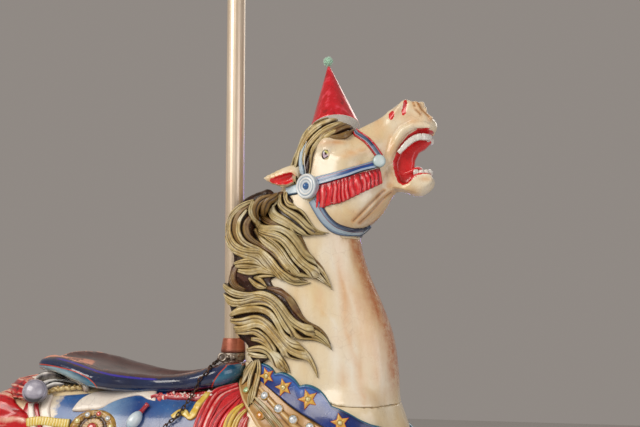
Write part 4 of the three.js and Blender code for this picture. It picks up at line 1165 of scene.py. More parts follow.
def leg_details(name, g):
    """Joints, tendons and the shapes round them. Every leg is described for the right and set on its own side."""
    rows = np.array([r[:5] for r in LEGS[name]], float)
    s = -1 if name.endswith("right") else 1
    at = lambda i, dx=0.0, dz=0.0, dy=0.0: (rows[i, 0] + dx, rows[i, 1] + s * dy, rows[i, 2] + dz)
    if name.startswith("fore"):
        g.add(ball(at(6, 4, 4), (24, 27, 27)), 12)
        g.add(ball(at(6, -22, -6), (12, 15, 20)), 10)
        g.cut(rod([at(6, 10, 14, 34), at(7, 6, 6, 34)], [7, 7]), 8)
        g.add(rod([at(7, -17, 0), at(8, -17, 0), at(9, -15, 0), at(10, -16, 0)], [8, 7.5, 7.5, 9]), 5)
        g.cut(rod([at(8, -8, 0, 19), at(9, -7, 0, 18), at(10, -8, 0, 21)], [3, 3.5, 2]), 6)
        g.add(ball(at(11, -12, -4), (15, 17, 14)), 9)
        g.add(rod([at(1, 26, 0, 20), at(2, 22, 0, 22), at(4, 14, 0, 12)], [20, 18, 10]), 18)
        g.cut(rod([at(1, -8, 0, 48), at(3, -2, 0, 42), at(4, 0, 0, 34)], [5, 6, 3]), 14)
    else:
        g.add(rod([at(5, -22, 12), at(6, -26, 4), at(7, -18, 0)], [9, 13, 10]), 9)
        g.add(ball(at(6, 6, -2), (22, 25, 26)), 12)
        g.cut(rod([at(5, -8, 6, 30), at(6, -10, 2, 30)], [6, 6]), 8)
        g.add(rod([at(7, -15, 0), at(8, -16, 0), at(9, -16, 0)], [8, 8, 8.5]), 5)
        g.cut(rod([at(7, -5, 0, 24), at(8, -6, 0, 20), at(9, -7, 0, 20)], [3, 3.5, 2]), 6)
        g.add(ball(at(10, -14, -3), (15, 17, 14)), 9)
        g.cut(rod([at(1, -40, 10, 54), at(2, -30, 0, 54), at(3, -20, 0, 44)], [5, 8, 4]), 16)
        g.add(rod([at(2, 30, 10, 16), at(3, 26, 6, 14)], [30, 24]), 24)
    return g


def sculpt_trunk():
    g = Grid((-764, -192, 560), (442, 192, 990), 3.2)
    torso_half = Grid((-764, -192, 560), (442, 0, 990), 3.2, half=True)
    torso(torso_half)
    t = torso_half
    # croup, hips and buttock, loin, flank and belly
    t.add(ball((-580, -72, 766), (120, 84, 92), (0, -10, 0)), 28)
    t.add(ball((-636, -72, 738), (72, 64, 86)), 24)
    t.cut(rod([(-724, 0, 800), (-738, 0, 740), (-712, 0, 676)], [5, 13, 6]), 20)
    t.cut(ball((-440, -196, 770), (62, 44, 72), (0, 20, 0)), 34)
    t.add(ball((-500, -108, 856), (34, 34, 26)), 26)
    t.cut(rod([(196, -168, 860), (176, -172, 780), (196, -162, 700)], [5, 10, 5]), 26)
    t.add(rod([(-30, -60, 590), (-200, -50, 594), (-360, -44, 612)], [26, 30, 26]), 30)
    g.d = np.ascontiguousarray(t.full())[:, : g.n[1], :].copy()
    for name in LEGS:
        loft_into(g, limb_loft(LEGS[name]), 26, band=44)
        leg_details(name, g)
    g.skin = g.d.copy()
    g.d = smax(g.d, -(side(g, NECK_PART)) + 0.35, 2.4)
    for name, z0 in LEG_CUT.items():
        r = np.array(LEGS[name])
        sx = np.interp(-z0, -r[:, 2], r[:, 0])
        w = g.window((sx - 110, min(0, r[0, 1] * 3), 560), (sx + 110, max(0, r[0, 1] * 3), z0 + 40))
        sl, (x, y, z) = w
        # only the leg itself is cut off here, never the belly beside it
        below = np.maximum(z0 - z, 0) + 0 * x + 0 * y
        leg = np.sqrt(((x - sx) / 1.0) ** 2 + (y - r[3, 1]) ** 2) - 62
        g.d[sl] = smax(g.d[sl], -smax(leg, z - z0, 0), 1.0)
    x, y, z = g.whole()
    g.d = np.maximum(g.d, -(np.sqrt(x * x + y * y) - 21.4)).astype(np.float32)
    return g


trunk = sculpt_trunk()
tv = trunk.mesh(0.4)
sh = shade_masks(trunk, tv[0], [((-706, 40, 760), (60, 90, 100), 0.35), ((380, 60, 740), (60, 80, 60), 0.35), ((-100, 20, 580), (400, 110, 26), 0.35), ((190, 150, 760), (30, 60, 120), 0.3)])
print("trunk", len(tv[1]) * 2 + len(tv[2]))
put("trunk_carving", tv, COAT, replaces=("trunk",), masks={"shade": sh, "extra": np.zeros((len(tv[0]), 3))})

for name, rows in LEGS.items():
    r = np.array(rows)
    z0 = LEG_CUT[name]
    lo = (r[:, 0].min() - 55, min(r[:, 1]) - 50, r[:, 2].min() - 2)
    hi = (r[:, 0].max() + 75, max(r[:, 1]) + 50, z0 + 6)
    keep = r[:, 2] < z0 + 120
    lo = (r[keep, 0].min() - 90, lo[1], lo[2])
    hi = (r[keep, 0].max() + 90, hi[1], hi[2])
    g = Grid(lo, hi, 2.0)
    loft_into(g, limb_loft(rows), None, band=44)
    leg_details(name, g)
    x, y, z = g.whole()
    g.d = smax(g.d, (z - (z0 + 0.4)) + 0 * x + 0 * y, 1.0)
    last = r[-1, :3]
    lv = g.mesh(0.2)
    foot = np.linalg.norm(lv[0] - last, axis=1)
    sh = shade_masks(g, lv[0], [((last[0], abs(last[1]), last[2] + 18), (40, 40, 26), 0.6)])
    print(name, len(lv[1]) * 2 + len(lv[2]))
    put(name + "_carving", lv, COAT, replaces=(name,), masks={"shade": sh, "extra": np.zeros((len(lv[0]), 3))})

# ---------------------------------------------------------------- bands and locks that lie on a carved surface
def ribbon(carrier, path, widths, profile, across=9, sunk=4.0, lift=0.0, closed_tip=True, wrap=True):
    """A band along path (N, 3) on carrier: profile(s, t) gives its height at s from -1 to 1 across and t from 0 to 1 along.
    Gives the mesh, and s and the distance along (mm) of every vertex."""
    path = np.asarray(path, float)
    n_pts = len(path)
    widths = np.asarray(widths, float) * np.ones(n_pts)
    lift = np.asarray(lift, float) * np.ones(n_pts)
    along = unit(np.gradient(path, axis=0))
    dist = np.r_[0, np.cumsum(np.linalg.norm(np.diff(path, axis=0), axis=1))]
    normal = carrier.slope(path)
    over = unit(np.cross(along, normal))
    sgn = np.linspace(-1, 1, across)
    q = path[:, None] + over[:, None] * (sgn[None, :, None] * widths[:, None, None] / 2)
    flat = q.reshape(-1, 3)
    base, nn = carrier.onto(flat, 0.0, 4) if wrap else (flat, np.repeat(normal, across, 0))
    S, T = np.meshgrid(sgn, dist / max(dist[-1], 1e-6))
    h = profile(S, T).reshape(-1) + np.repeat(lift, across)
    top = (base + nn * h[:, None]).reshape(n_pts, across, 3)
    low = (base - nn * sunk).reshape(n_pts, across, 3)[:, ::-1][:, :: max(1, (across - 1) // 4)]
    rings = np.concatenate([top, low], 1)
    m = rings_mesh(rings)
    s_all = np.concatenate([np.tile(sgn, (n_pts, 1)), np.tile(sgn[::-1][:: max(1, (across - 1) // 4)], (n_pts, 1))], 1).reshape(-1)
    d_all = np.repeat(dist, rings.shape[1])
    s_all = np.r_[s_all, 0, 0]
    d_all = np.r_[d_all, dist[0], dist[-1]]
    return m, s_all, d_all, rings.shape[1]


def lock(carrier, points, widths, seed, lift=0.0, tone=0.0, thick=None, step=4.5, px=None, ridge=7.8):
    """A carved lock of hair along pixels. tone 0 is gold, 1 is the dark brown of the hollows."""
    uv = np.array(points, float) if px is None else np.array([px(*c) for c in points])
    w = np.array(widths, float)
    rows = np.column_stack([uv, w])
    fine = spline(rows, 12)
    s = np.r_[0, np.cumsum(np.linalg.norm(np.diff(fine[:, :2], axis=0), axis=1))]
    n = max(8, int(s[-1] * 2.2 / (step * ROUGH)))
    want = np.linspace(0, s[-1], n)
    fine = np.stack([np.interp(want, s, fine[:, c]) for c in range(3)], 1)
    path = cast(carrier, fine[:, :2])
    for _ in range(3):
        path[1:-1] = (path[:-2] + 2 * path[1:-1] + path[2:]) / 4
    width = np.maximum(fine[:, 2], 1.2)
    wide = width.max()
    ridges = max(2, int(round(wide / ridge)))
    th = thick or float(np.clip(wide * 0.5, 5.5, 12.0))
    r = rng(seed)
    ph, sway, lean = r.uniform(0, 6.28), r.uniform(0.04, 0.10), r.uniform(-0.35, 0.35)
    skew = r.uniform(0.08, 0.16)
    taper = np.clip(width / wide, 0.12, 1) ** 0.8

    def profile(S, T):
        e = np.sqrt(np.clip(1 - np.abs(S) ** 2.8, 0, 1))
        warp = S + sway * np.sin(5 * T + ph) * (1 - S * S) + skew * np.sin(3.1 * S + ph) + 0.04 * np.sin(8 * S + 2 * ph)
        g = np.abs(np.sin(np.pi * ridges * (warp + 1) / 2)) ** 0.62
        g = 1 - (1 - g) * (0.52 + 0.34 * np.sin(4.3 * warp + ph + 1.5 * T))
        k = np.interp(T[:, 0], np.linspace(0, 1, n), taper)[:, None]
        tilt = 1 + lean * S
        return th * k * (e * (0.52 * tilt) + 0.48 * e * g) - 1.0

    across = ridges * 7 + 1
    m, s_all, d_all, per = ribbon(carrier, path, width, profile, across=across, sunk=5.0, lift=lift)
    T = d_all / max(d_all.max(), 1e-6)
    warp = s_all + sway * np.sin(5 * T + ph) * (1 - s_all * s_all) + skew * np.sin(3.1 * s_all + ph) + 0.04 * np.sin(8 * s_all + 2 * ph)
    g = np.abs(np.sin(np.pi * ridges * (warp + 1) / 2)) ** 0.62
    g = 1 - (1 - g) * (0.52 + 0.34 * np.sin(4.3 * warp + ph + 1.5 * T))
    edge = smooth(0.80, 0.99, np.abs(s_all))
    groove = np.clip(np.maximum(1 - g, edge), 0, 1)
    # painted shade: the lock's underside gets the darkest groove colour
    under = np.zeros(len(s_all))
    idx = np.arange(len(s_all) - 2) % per
    under[:-2] = idx >= across
    groove = np.maximum(groove, under)
    own = r.uniform(0, 1)
    shade = np.stack([groove, np.full(len(groove), tone), own * np.ones(len(groove)), warp * wide / 200, d_all / 1000, np.full(len(groove), own)], 1)
    return m, shade


def gather(locks):
    rows = []
    for m, c in locks:
        if c.shape[1] == 3:
            c = np.hstack([c, m[0] * [0.003, 0.0006, 0.002]])
        rows.append(c)
    return join([m for m, _ in locks]), np.vstack(rows)


def hair_paint():
    """Antique gold over dark brown: rubbed pale on the ridges, dark in the grooves, greenish here and there."""
    m = Mat("hair", coat=0.35, coat_rough=0.2)
    a = m.mask("hair")
    f = m.mask("flow")
    along = m.node("ShaderNodeCombineXYZ")
    m.feed(along.inputs[0], m.math("MULTIPLY", f[0], 56.0))
    m.feed(along.inputs[1], m.math("MULTIPLY", f[1], 9.0))
    m.feed(along.inputs[2], m.math("MULTIPLY", f[2], 37.0))
    strand = m.noise(1.0, 3, 0.65, along.outputs[0])
    broken = m.noise(95, 4, 0.7, m.mapped((1, 1, 0.6)))
    groove = m.math("ADD", a[0], m.math("MULTIPLY", m.math("SUBTRACT", broken, 0.5), 0.25))
    groove = m.math("ADD", groove, m.math("MULTIPLY", m.math("SUBTRACT", strand, 0.5), 0.95))
    tonev = m.math("ADD", a[1], m.math("MULTIPLY", m.math("SUBTRACT", m.noise(22, 3, 0.6), 0.5), 0.45), True)
    ridge = m.ramp(m.noise(30, 3, 0.6), [(0.32, rgb("B4924E")), (0.5, rgb("D8C084")), (0.7, rgb("F2E8C8"))])
    mid = m.ramp(m.noise(18, 3, 0.6), [(0.35, rgb("6B5430")), (0.65, rgb("937A44"))])
    green = m.above(m.noise(9, 2, 0.5), 0.52, 0.14)
    mid = m.mix(m.math("MULTIPLY", green, 0.4), mid, rgb("77704A"))
    ridge = m.mix(m.math("MULTIPLY", green, 0.3), ridge, rgb("C6C098"))
    gold = m.mix(m.ramp(groove, [(-0.1, 0.0), (0.30, 1.0)]), ridge, mid)
    gold = m.mix(m.ramp(groove, [(0.32, 0.0), (0.54, 1.0)]), gold, rgb("4A3318"))
    gold = m.mix(m.ramp(groove, [(0.66, 0.0), (0.96, 1.0)]), gold, rgb("2A1A0B"))
    dark = m.mix(m.ramp(groove, [(0.08, 0.0), (0.5, 1.0)]), rgb("8A6A38"), rgb("3C2412"))
    dark = m.mix(m.math("MULTIPLY", m.above(m.noise(26, 2, 0.5), 0.55, 0.1), 0.5), dark, rgb("5E2B14"))
    c = m.mix(m.ramp(tonev, [(0.35, 0.0), (0.75, 1.0)]), gold, dark)
    flecks = m.above(m.noise(240, 3, 0.8), 0.67, 0.03)
    c = m.mix(m.math("MULTIPLY", flecks, 0.6), c, rgb("EFE4C2"))
    m.colour(c)
    m.rough(m.ramp(m.noise(60, 3, 0.6), [(0.3, 0.28), (0.7, 0.52)]))
    m.bump(m.noise(1, 4, 0.7, m.mapped((300, 300, 300))), 0.12, 0.0008)
    m.bump(m.math("SUBTRACT", 1.0, strand), 0.5, 0.0022)
    m.bump(broken, 0.2, 0.0015)
    return m.m


HAIR = hair_paint()


# ---------------------------------------------------------------- mane
def m1(x, y):
    return 218 + x / 12.06, 180 + y / 12.06


def m2(x, y):
    return 218 + x / 12.06, 270 + y / 12.06


MANE_EDGE = [m1(*c) for c in [
    (800, 160), (690, 140), (560, 175), (420, 245), (280, 320), (190, 410), (135, 560), (130, 690), (190, 840), (225, 980), (150, 1110), (118, 1200),
]] + [m2(*c) for c in [
    (108, 230), (104, 330), (160, 420), (185, 540), (215, 640), (235, 740), (340, 800), (405, 850), (395, 980), (440, 1075), (540, 1085), (640, 1060),
    (760, 1150), (800, 1160), (700, 980), (860, 1010), (960, 1040), (1080, 1060), (960, 900), (860, 790), (880, 760), (1000, 790), (1150, 790),
    (1080, 660), (950, 540), (850, 350), (740, 250), (640, 190), (600, 120),
]] + [m1(*c) for c in [
    (700, 1150), (850, 1190), (950, 1215), (860, 1090), (1000, 1130), (1180, 1140), (1130, 1010), (1000, 800), (930, 680), (860, 590), (1000, 640),
    (1120, 630), (1030, 480), (940, 390), (860, 320), (860, 220),
]]


def crest_field():
    """The neck with the solid under the mane standing on it."""
    g = Grid((-14, -156, 915), (330, 0, 1460), 2.4, half=True)
    loft_into(g, rung_loft(NECK))
    loft_into(g, rung_loft(TRUNK), 26)
    loft_into(g, rung_loft(HEAD), 16)
    skin = g.d.copy()
    edge = polygon(pixels(MANE_EDGE, -96))
    base = smax(skin - 6.0, side(g, edge), 5)
    solid = Grid((-14, -156, 915), (330, 0, 1460), 2.4, half=True)
    solid.d = base.astype(np.float32)
    rim = [
        (262, 195.5, 12), (252.8, 200.3, 17), (241.2, 206.5, 21), (233.8, 214, 24), (229.2, 226.4, 26), (228.6, 237.2, 26), (233, 249.7, 25), (235.2, 261.3, 24),
        (231, 272, 26), (228.4, 281, 27), (227.4, 291, 27), (227.8, 298, 26), (231.6, 305.8, 25), (233.2, 315.2, 25), (235.8, 323, 24), (238.6, 331.4, 22), (246.5, 338, 18),
        (251.6, 344, 16), (251.6, 352, 14), (255.5, 358.5, 10),
    ]
    spine = [on_plane(u + 0.3 + r / 2.2, v, -66 - (26 - r) * 0.5) for u, v, r in rim]
    solid.add(rod(spine, [r - 3.0 for _, _, r in rim]), 40)
    x, y, z = solid.whole()
    solid.d = np.maximum(solid.d, 27.0 - np.sqrt(x * x + y * y)).astype(np.float32)
    low = np.minimum(33.0 - np.sqrt(x * x + y * y), 1018 - z)
    solid.d = np.maximum(solid.d, low).astype(np.float32)
    g.d = smin(skin, solid.d, 6).astype(np.float32)
    return g, solid


crest, mane_solid = crest_field()
_z = lambda *w: [x / 12.06 * 2.25 for x in w]
MANE_LOCKS = [
    # under locks, dark, first
    (m1, [(880, 540), (950, 640), (1010, 740), (1065, 860), (1135, 950), (1240, 1050), (1310, 1150)], _z(30, 60, 66, 66, 62, 44, 8), 0.75, 0),
    (m1, [(790, 170), (640, 215), (550, 320), (545, 430), (620, 510), (750, 545), (870, 585)], _z(50, 100, 120, 120, 95, 70, 30), 0.80, 1),
    (m1, [(640, 190), (520, 235), (450, 330), (440, 440), (500, 530), (590, 560)], _z(50, 90, 100, 95, 70, 16), 0.85, 0),
    (m1, [(400, 290), (270, 400), (225, 540), (240, 680), (330, 800), (450, 850)], _z(40, 90, 110, 100, 70, 20), 0.90, -1),
    (m1, [(400, 430), (335, 520), (335, 640), (395, 730), (505, 790), (630, 850), (730, 930), (800, 1020), (870, 1110), (970, 1180), (1080, 1220)], _z(60, 80, 86, 80, 70, 70, 78, 78, 66, 36, 6), 0.70, 1),
    (m2, [(600, 215), (740, 260), (850, 335), (920, 440), (985, 550), (1085, 645), (1205, 705), (1295, 790), (1355, 890)], _z(40, 80, 110, 110, 80, 56, 50, 34, 8), 0.72, 1),
    (m1, [(240, 1010), (200, 1100), (170, 1200), (220, 1290), (330, 1330)], _z(40, 90, 110, 90, 40), 0.95, -2),
    # B: the big middle lock
    (m1, [(440, 255), (385, 350), (400, 455), (480, 555), (600, 598), (740, 592), (855, 645), (950, 755), (1015, 865), (1095, 955), (1205, 1055), (1295, 1165), (1372, 1322)], _z(40, 50, 66, 86, 92, 92, 92, 84, 74, 66, 60, 46, 6), 0.0, 5),
    (m1, [(430, 520), (505, 630), (640, 672), (775, 712), (865, 800), (930, 900), (1015, 1005), (1115, 1085), (1235, 1185), (1352, 1292)], _z(50, 86, 100, 112, 122, 130, 126, 108, 66, 8), 0.0, 6),
    (m1, [(420, 590), (495, 700), (615, 785), (715, 858), (790, 958), (862, 1058), (962, 1130), (1085, 1152), (1205, 1172), (1290, 1236)], _z(50, 74, 86, 90, 90, 92, 88, 66, 44, 8), 0.0, 4),
    (m1, [(520, 600), (600, 690), (700, 760), (790, 860), (850, 960), (930, 1060), (1020, 1130)], _z(20, 50, 60, 66, 66, 50, 8), 0.1, 8),
    (m1, [(560, 640), (680, 640), (790, 690), (870, 770), (930, 860)], _z(20, 46, 56, 50, 8), 0.15, 9),
    # A: the front locks from under the ear
    (m1, [(820, 180), (838, 270), (900, 335), (1000, 385), (1065, 470), (1125, 560), (1205, 622), (1340, 640)], _z(50, 62, 66, 66, 62, 52, 34, 6), 0.15, 4),
    (m1, [(760, 200), (762, 300), (830, 372), (930, 440), (1020, 515), (1085, 592), (1175, 648), (1300, 655)], _z(60, 76, 84, 86, 76, 60, 36, 6), 0.0, 6),
    (m1, [(690, 230), (665, 330), (705, 425), (800, 480), (885, 535), (965, 592), (1065, 645), (1150, 665)], _z(70, 90, 92, 92, 76, 56, 34, 6), 0.0, 5),
    (m1, [(640, 380), (680, 470), (770, 515), (860, 560), (930, 620), (1020, 650)], _z(30, 60, 70, 60, 40, 6), 0.05, 7),
    # C: the long outer lock
    (m1, [(440, 250), (300, 315), (192, 430), (152, 560), (162, 690), (224, 800), (332, 868), (470, 884), (572, 944), (655, 1034), (705, 1112), (802, 1182), (902, 1240), (985, 1256), (1120, 1240)], _z(30, 60, 76, 84, 88, 96, 104, 118, 122, 104, 78, 66, 56, 42, 6), 0.05, 3),
    (m1, [(350, 360), (268, 480), (246, 610), (286, 730), (378, 808), (500, 850), (612, 918), (684, 1000), (744, 1082), (835, 1150), (935, 1204), (1062, 1234)], _z(26, 44, 56, 64, 66, 66, 66, 66, 60, 52, 40, 6), 0.25, 5),
    (m1, [(122, 680), (160, 790), (250, 872), (370, 925), (500, 985), (605, 1062), (705, 1135)], _z(30, 52, 70, 86, 90, 66, 16), 0.0, 5),
    # D: short locks under it
    (m1, [(215, 1015), (330, 972), (445, 982), (565, 1032), (665, 1094), (745, 1155)], _z(40, 70, 76, 66, 54, 14), 0.0, 4),
    (m1, [(225, 1045), (330, 1040), (450, 1050), (570, 1080), (680, 1128)], _z(50, 66, 66, 60, 16), 0.0, 2),
    (m1, [(250, 1095), (360, 1112), (480, 1092), (600, 1112), (700, 1142)], _z(46, 86, 86, 60, 16), 0.05, 3),
    (m1, [(365, 1180), (430, 1250), (520, 1296), (590, 1305)], _z(30, 66, 66, 14), 0.2, 3),
    (m1, [(425, 1172), (520, 1202), (595, 1292)], _z(30, 60, 12), 0.1, 2),
    (m1, [(440, 1166), (560, 1160), (690, 1156)], _z(24, 44, 8), 0.1, 2),
    # E: the second big lock
    (m2, [(112, 185), (180, 265), (300, 306), (430, 302), (560, 298), (682, 350), (762, 430), (832, 530), (902, 620), (1002, 690), (1112, 742), (1222, 792), (1304, 862), (1372, 965)], _z(60, 90, 94, 92, 100, 104, 104, 104, 104, 104, 104, 92, 66, 6), 0.0, 5),
    (m2, [(108, 290), (162, 352), (252, 388), (370, 368), (490, 342), (600, 356), (692, 424), (762, 522), (832, 640), (902, 742), (1002, 808), (1122, 820), (1224, 842), (1340, 932)], _z(50, 72, 76, 76, 74, 74, 78, 92, 100, 92, 74, 60, 52, 6), 0.0, 4),
    (m2, [(112, 340), (162, 400), (240, 425), (330, 405)], _z(40, 60, 50, 12), 0.2, 3),
    # F: the third
    (m2, [(180, 545), (260, 492), (380, 478), (500, 480), (602, 502), (682, 572), (742, 680), (802, 800), (882, 882), (982, 942), (1062, 1002), (1122, 1092), (1172, 1192), (1206, 1300)], _z(50, 96, 100, 96, 90, 80, 72, 72, 80, 74, 70, 58, 44, 6), 0.05, 4),
    (m2, [(235, 445), (330, 412), (430, 402), (560, 392), (652, 422), (722, 492), (782, 600), (832, 700), (902, 780), (962, 812), (1080, 802)], _z(36, 62, 70, 74, 74, 80, 86, 74, 56, 36, 6), 0.15, 3),
    (m2, [(190, 600), (300, 622), (420, 594), (530, 604), (622, 660), (702, 760), (782, 860), (872, 960), (982, 1012), (1062, 1044), (1132, 1122), (1172, 1192)], _z(56, 96, 100, 96, 96, 92, 80, 76, 66, 52, 34, 6), 0.0, 5),
    (m2, [(228, 690), (330, 702), (430, 666), (540, 684), (642, 770), (722, 870), (792, 960), (872, 1040), (962, 1070), (1045, 1062)], _z(60, 92, 92, 92, 90, 80, 76, 56, 34, 6), 0.0, 4),
    (m2, [(236, 740), (330, 752), (420, 742), (520, 782), (612, 862), (682, 960), (752, 1060), (822, 1150), (872, 1242)], _z(40, 60, 76, 86, 92, 86, 76, 54, 6), 0.1, 4),
    # G: the last locks over the collar
    (m2, [(415, 830), (520, 852), (602, 902), (672, 972), (722, 1060), (782, 1140), (862, 1232)], _z(46, 70, 70, 66, 56, 44, 6), 0.1, 4),
    (m2, [(385, 965), (480, 942), (580, 962), (662, 1032), (722, 1122), (792, 1200), (832, 1236)], _z(50, 86, 92, 80, 66, 44, 10), 0.0, 5),
    (m2, [(390, 1005), (470, 1032), (560, 1042), (615, 1050)], _z(50, 66, 50, 10), 0.05, 3),
]
if True:
    locks = []
    for i, (frame_px, pts, w, tone, lift) in enumerate(MANE_LOCKS):
        locks.append(lock(crest, pts, w, 100 + i, lift=lift, tone=tone, px=frame_px))
    bm = mane_solid.mesh(0.3)
    bshade = np.zeros((len(bm[0]), 3))
    bshade[:, 0] = 0.62
    bshade[:, 1] = 1.0
    mesh, shade = gather([(bm, bshade)] + locks)
    print("mane", len(mesh[1]) * 2 + len(mesh[2]))
    put("mane_carving_right", mesh, HAIR, replaces=("mane_right",), masks={"hair": shade})
    put("mane_carving_left", flip(mesh), HAIR, replaces=("mane_left",), masks={"hair": shade})


# ---------------------------------------------------------------- forelock
def bridle_px(x, y):
    return 286 + x / 11.62, 110 + y / 11.62


FORE_EDGE = [bridle_px(*c) for c in [
    (780, 285), (790, 235), (740, 196), (620, 150), (500, 92), (400, 62), (290, 110), (190, 200), (155, 300), (120, 400), (85, 520), (75, 640),
    (60, 760), (70, 830), (120, 870), (190, 800), (200, 740), (270, 740), (285, 640), (300, 520), (360, 410), (440, 335), (560, 335), (680, 315),
]]


def poll_field():
    g = Grid((120, -116, 1300), (330, 0, 1565), 2.0, half=True)
    loft_into(g, rung_loft(HEAD))
    loft_into(g, rung_loft(NECK), 16)
    skin = g.d.copy()
    edge = polygon(pixels(FORE_EDGE, -62))
    solid = Grid((120, -116, 1300), (330, 0, 1565), 2.0, half=True)
    x, y, z = solid.whole()
    over = polygon([(168, 1440), (164, 1470), (178, 1494), (204, 1504), (236, 1501), (260, 1492), (282, 1484), (284, 1474), (250, 1462), (206, 1454)])
    solid.d = smax(skin - 5.0, smin(side(solid, edge), smax(side(solid, over), np.abs(y) - 62, 8), 6), 5).astype(np.float32)
    under = [(290, 90), (312, 108), (322, 114), (328.3, 119.4), (334.7, 123.8), (343.9, 127.2), (351, 129.4), (353.6, 131.6), (356, 140), (356, 230), (250, 230), (250, 90)]
    seen_clip(solid, under, 3.0, (200, -100, 1420), (330, 0, 1565))
    g.d = smin(skin, solid.d, 5).astype(np.float32)
    return g, solid


poll, fore_solid = poll_field()
_r = lambda *w: [x / 11.62 * 2.2 for x in w]
FORE_LOCKS = [
    ([(785, 235), (710, 290), (610, 318), (510, 325), (445, 325)], _r(40, 80, 84, 60, 14), 0.95, 1),
    ([(745, 205), (650, 222), (560, 262), (470, 318)], _r(50, 88, 84, 20), 0.95, 2),
    ([(700, 190), (600, 190), (500, 235), (420, 305), (360, 380)], _r(44, 76, 84, 70, 16), 0.6, 3),
    ([(440, 55), (330, 85), (235, 155), (175, 240), (155, 340), (120, 440)], _r(50, 76, 84, 80, 60, 16), 0.45, 1),
    ([(488, 96), (380, 136), (275, 205), (200, 300), (150, 420), (118, 540), (92, 660), (72, 790)], _r(60, 84, 84, 80, 76, 66, 50, 14), 0.0, 4),
    ([(575, 145), (460, 180), (350, 240), (262, 340), (200, 460), (160, 600), (118, 740), (105, 850)], _r(60, 84, 90, 90, 84, 76, 60, 16), 0.0, 5),
    ([(640, 180), (530, 212), (425, 272), (335, 352), (268, 445), (228, 560), (205, 690)], _r(56, 84, 90, 86, 76, 60, 16), 0.05, 4),
    ([(660, 225), (545, 272), (445, 325), (355, 402), (305, 500), (288, 620), (280, 735)], _r(40, 70, 74, 66, 56, 44, 12), 0.1, 3),
    ([(135, 390), (108, 520), (88, 600), (75, 700), (62, 800)], _r(30, 56, 56, 50, 12), 0.1, 2),
    ([(180, 480), (150, 620), (140, 740), (128, 850)], _r(20, 44, 44, 10), 0.1, 7),
    ([(430, 215), (330, 300), (250, 400), (205, 500)], _r(16, 36, 36, 10), 0.0, 8),
]
locks = [lock(poll, pts, w, 300 + i, lift=lift, tone=tone, px=bridle_px, step=4.0, ridge=8.5) for i, (pts, w, tone, lift) in enumerate(FORE_LOCKS)]
# over the poll, under the hat
top = []
for i, yy in enumerate((-44, -26, -8, 10, 28, 44)):
    pts = np.array([(278, yy * 0.8, 1486), (262, yy, 1492), (236, yy, 1500), (206, yy * 1.1, 1504), (180, yy * 1.1, 1480)], float)
    path, _ = poll.onto(even(pts, 16), 0.0, 6)
    r = rng(340 + i)
    w = 22 * np.sin(np.linspace(0.25, 2.9, 16)) ** 0.5
    prof = lambda S, T: (3.6 + 3.0 * T) * np.sqrt(np.clip(1 - np.abs(S) ** 2.8, 0, 1)) * (0.6 + 0.4 * np.abs(np.sin(np.pi * 3 * (S + 1) / 2)) ** 0.75) - 1
    m, sa, da, per = ribbon(poll, path, w, prof, across=19)
    g = np.abs(np.sin(np.pi * 3 * (sa + 1) / 2)) ** 0.75
    top.append((m, np.stack([np.clip(1 - g, 0, 1), np.full(len(g), 0.8), g * 0], 1)))
both = locks + [(flip(m), c) for m, c in locks]
bm = fore_solid.mesh(0.3)
bshade = np.zeros((len(bm[0]), 3))
bshade[:, 0], bshade[:, 1] = 0.62, 1.0
mesh, shade = gather([(bm, bshade)] + both + top)
print("forelock", len(mesh[1]) * 2 + len(mesh[2]))
put("forelock_carving", mesh, HAIR, replaces=("forelock",), masks={"hair": shade})


# ---------------------------------------------------------------- panels
def slab(top, low):
    """A closed plate between two grids of points (n, m, 3)."""
    n, m = top.shape[:2]
    v = np.vstack([top.reshape(-1, 3), low.reshape(-1, 3)])
    i, j = np.meshgrid(np.arange(n - 1), np.arange(m - 1), indexing="ij")
    a = (i * m + j).ravel()
    up = np.stack([a, a + 1, a + m + 1, a + m], 1)
    dn = up[:, ::-1] + n * m
    ring = np.r_[np.arange(m), np.arange(1, n) * m + m - 1, (n - 1) * m + np.arange(m - 2, -1, -1), np.arange(n - 2, 0, -1) * m]
    nxt = np.roll(ring, -1)
    wall = np.stack([nxt, ring, ring + n * m, nxt + n * m], 1)
    q = np.vstack([up, dn, wall])
    return outward(v, q, np.zeros((0, 3), int))


def panel(carrier, top, bottom, n, m, height, sunk=3.0, px=None, xz=False, sign=-1.0, bend=None):
    """A plate on the surface between two outlines, given as pixels or as x and z.
    height(S, T) is its thickness at S from 0 to 1 along and T from 0 to 1 down. Gives the mesh, S and T."""
    n, m = max(4, int(n / ROUGH)), max(3, int(m / ROUGH))
    if px is not None:
        top, bottom = [px(*c) for c in top], [px(*c) for c in bottom]
    a, b = even(top, n), even(bottom, n)
    t = np.linspace(0, 1, m)
    g = a[:, None] * (1 - t)[None, :, None] + b[:, None] * t[None, :, None]
    flat = g.reshape(-1, 2)
    if xz:
        p = np.column_stack([flat[:, 0], np.zeros(len(flat)), flat[:, 1]])
        base = carrier.down(p, 0.0, sign)
        base, nn = carrier.onto(base, 0.0, 2)
    else:
        base = cast(carrier, flat)
        nn = carrier.slope(base)
    S, T = np.meshgrid(np.linspace(0, 1, n), t, indexing="ij")
    h = height(S, T).reshape(-1)
    up = (base + nn * h[:, None]).reshape(n, m, 3)
    dn = (base - nn * sunk).reshape(n, m, 3)
    return slab(up, dn), np.r_[S.ravel(), S.ravel()], np.r_[T.ravel(), T.ravel()]


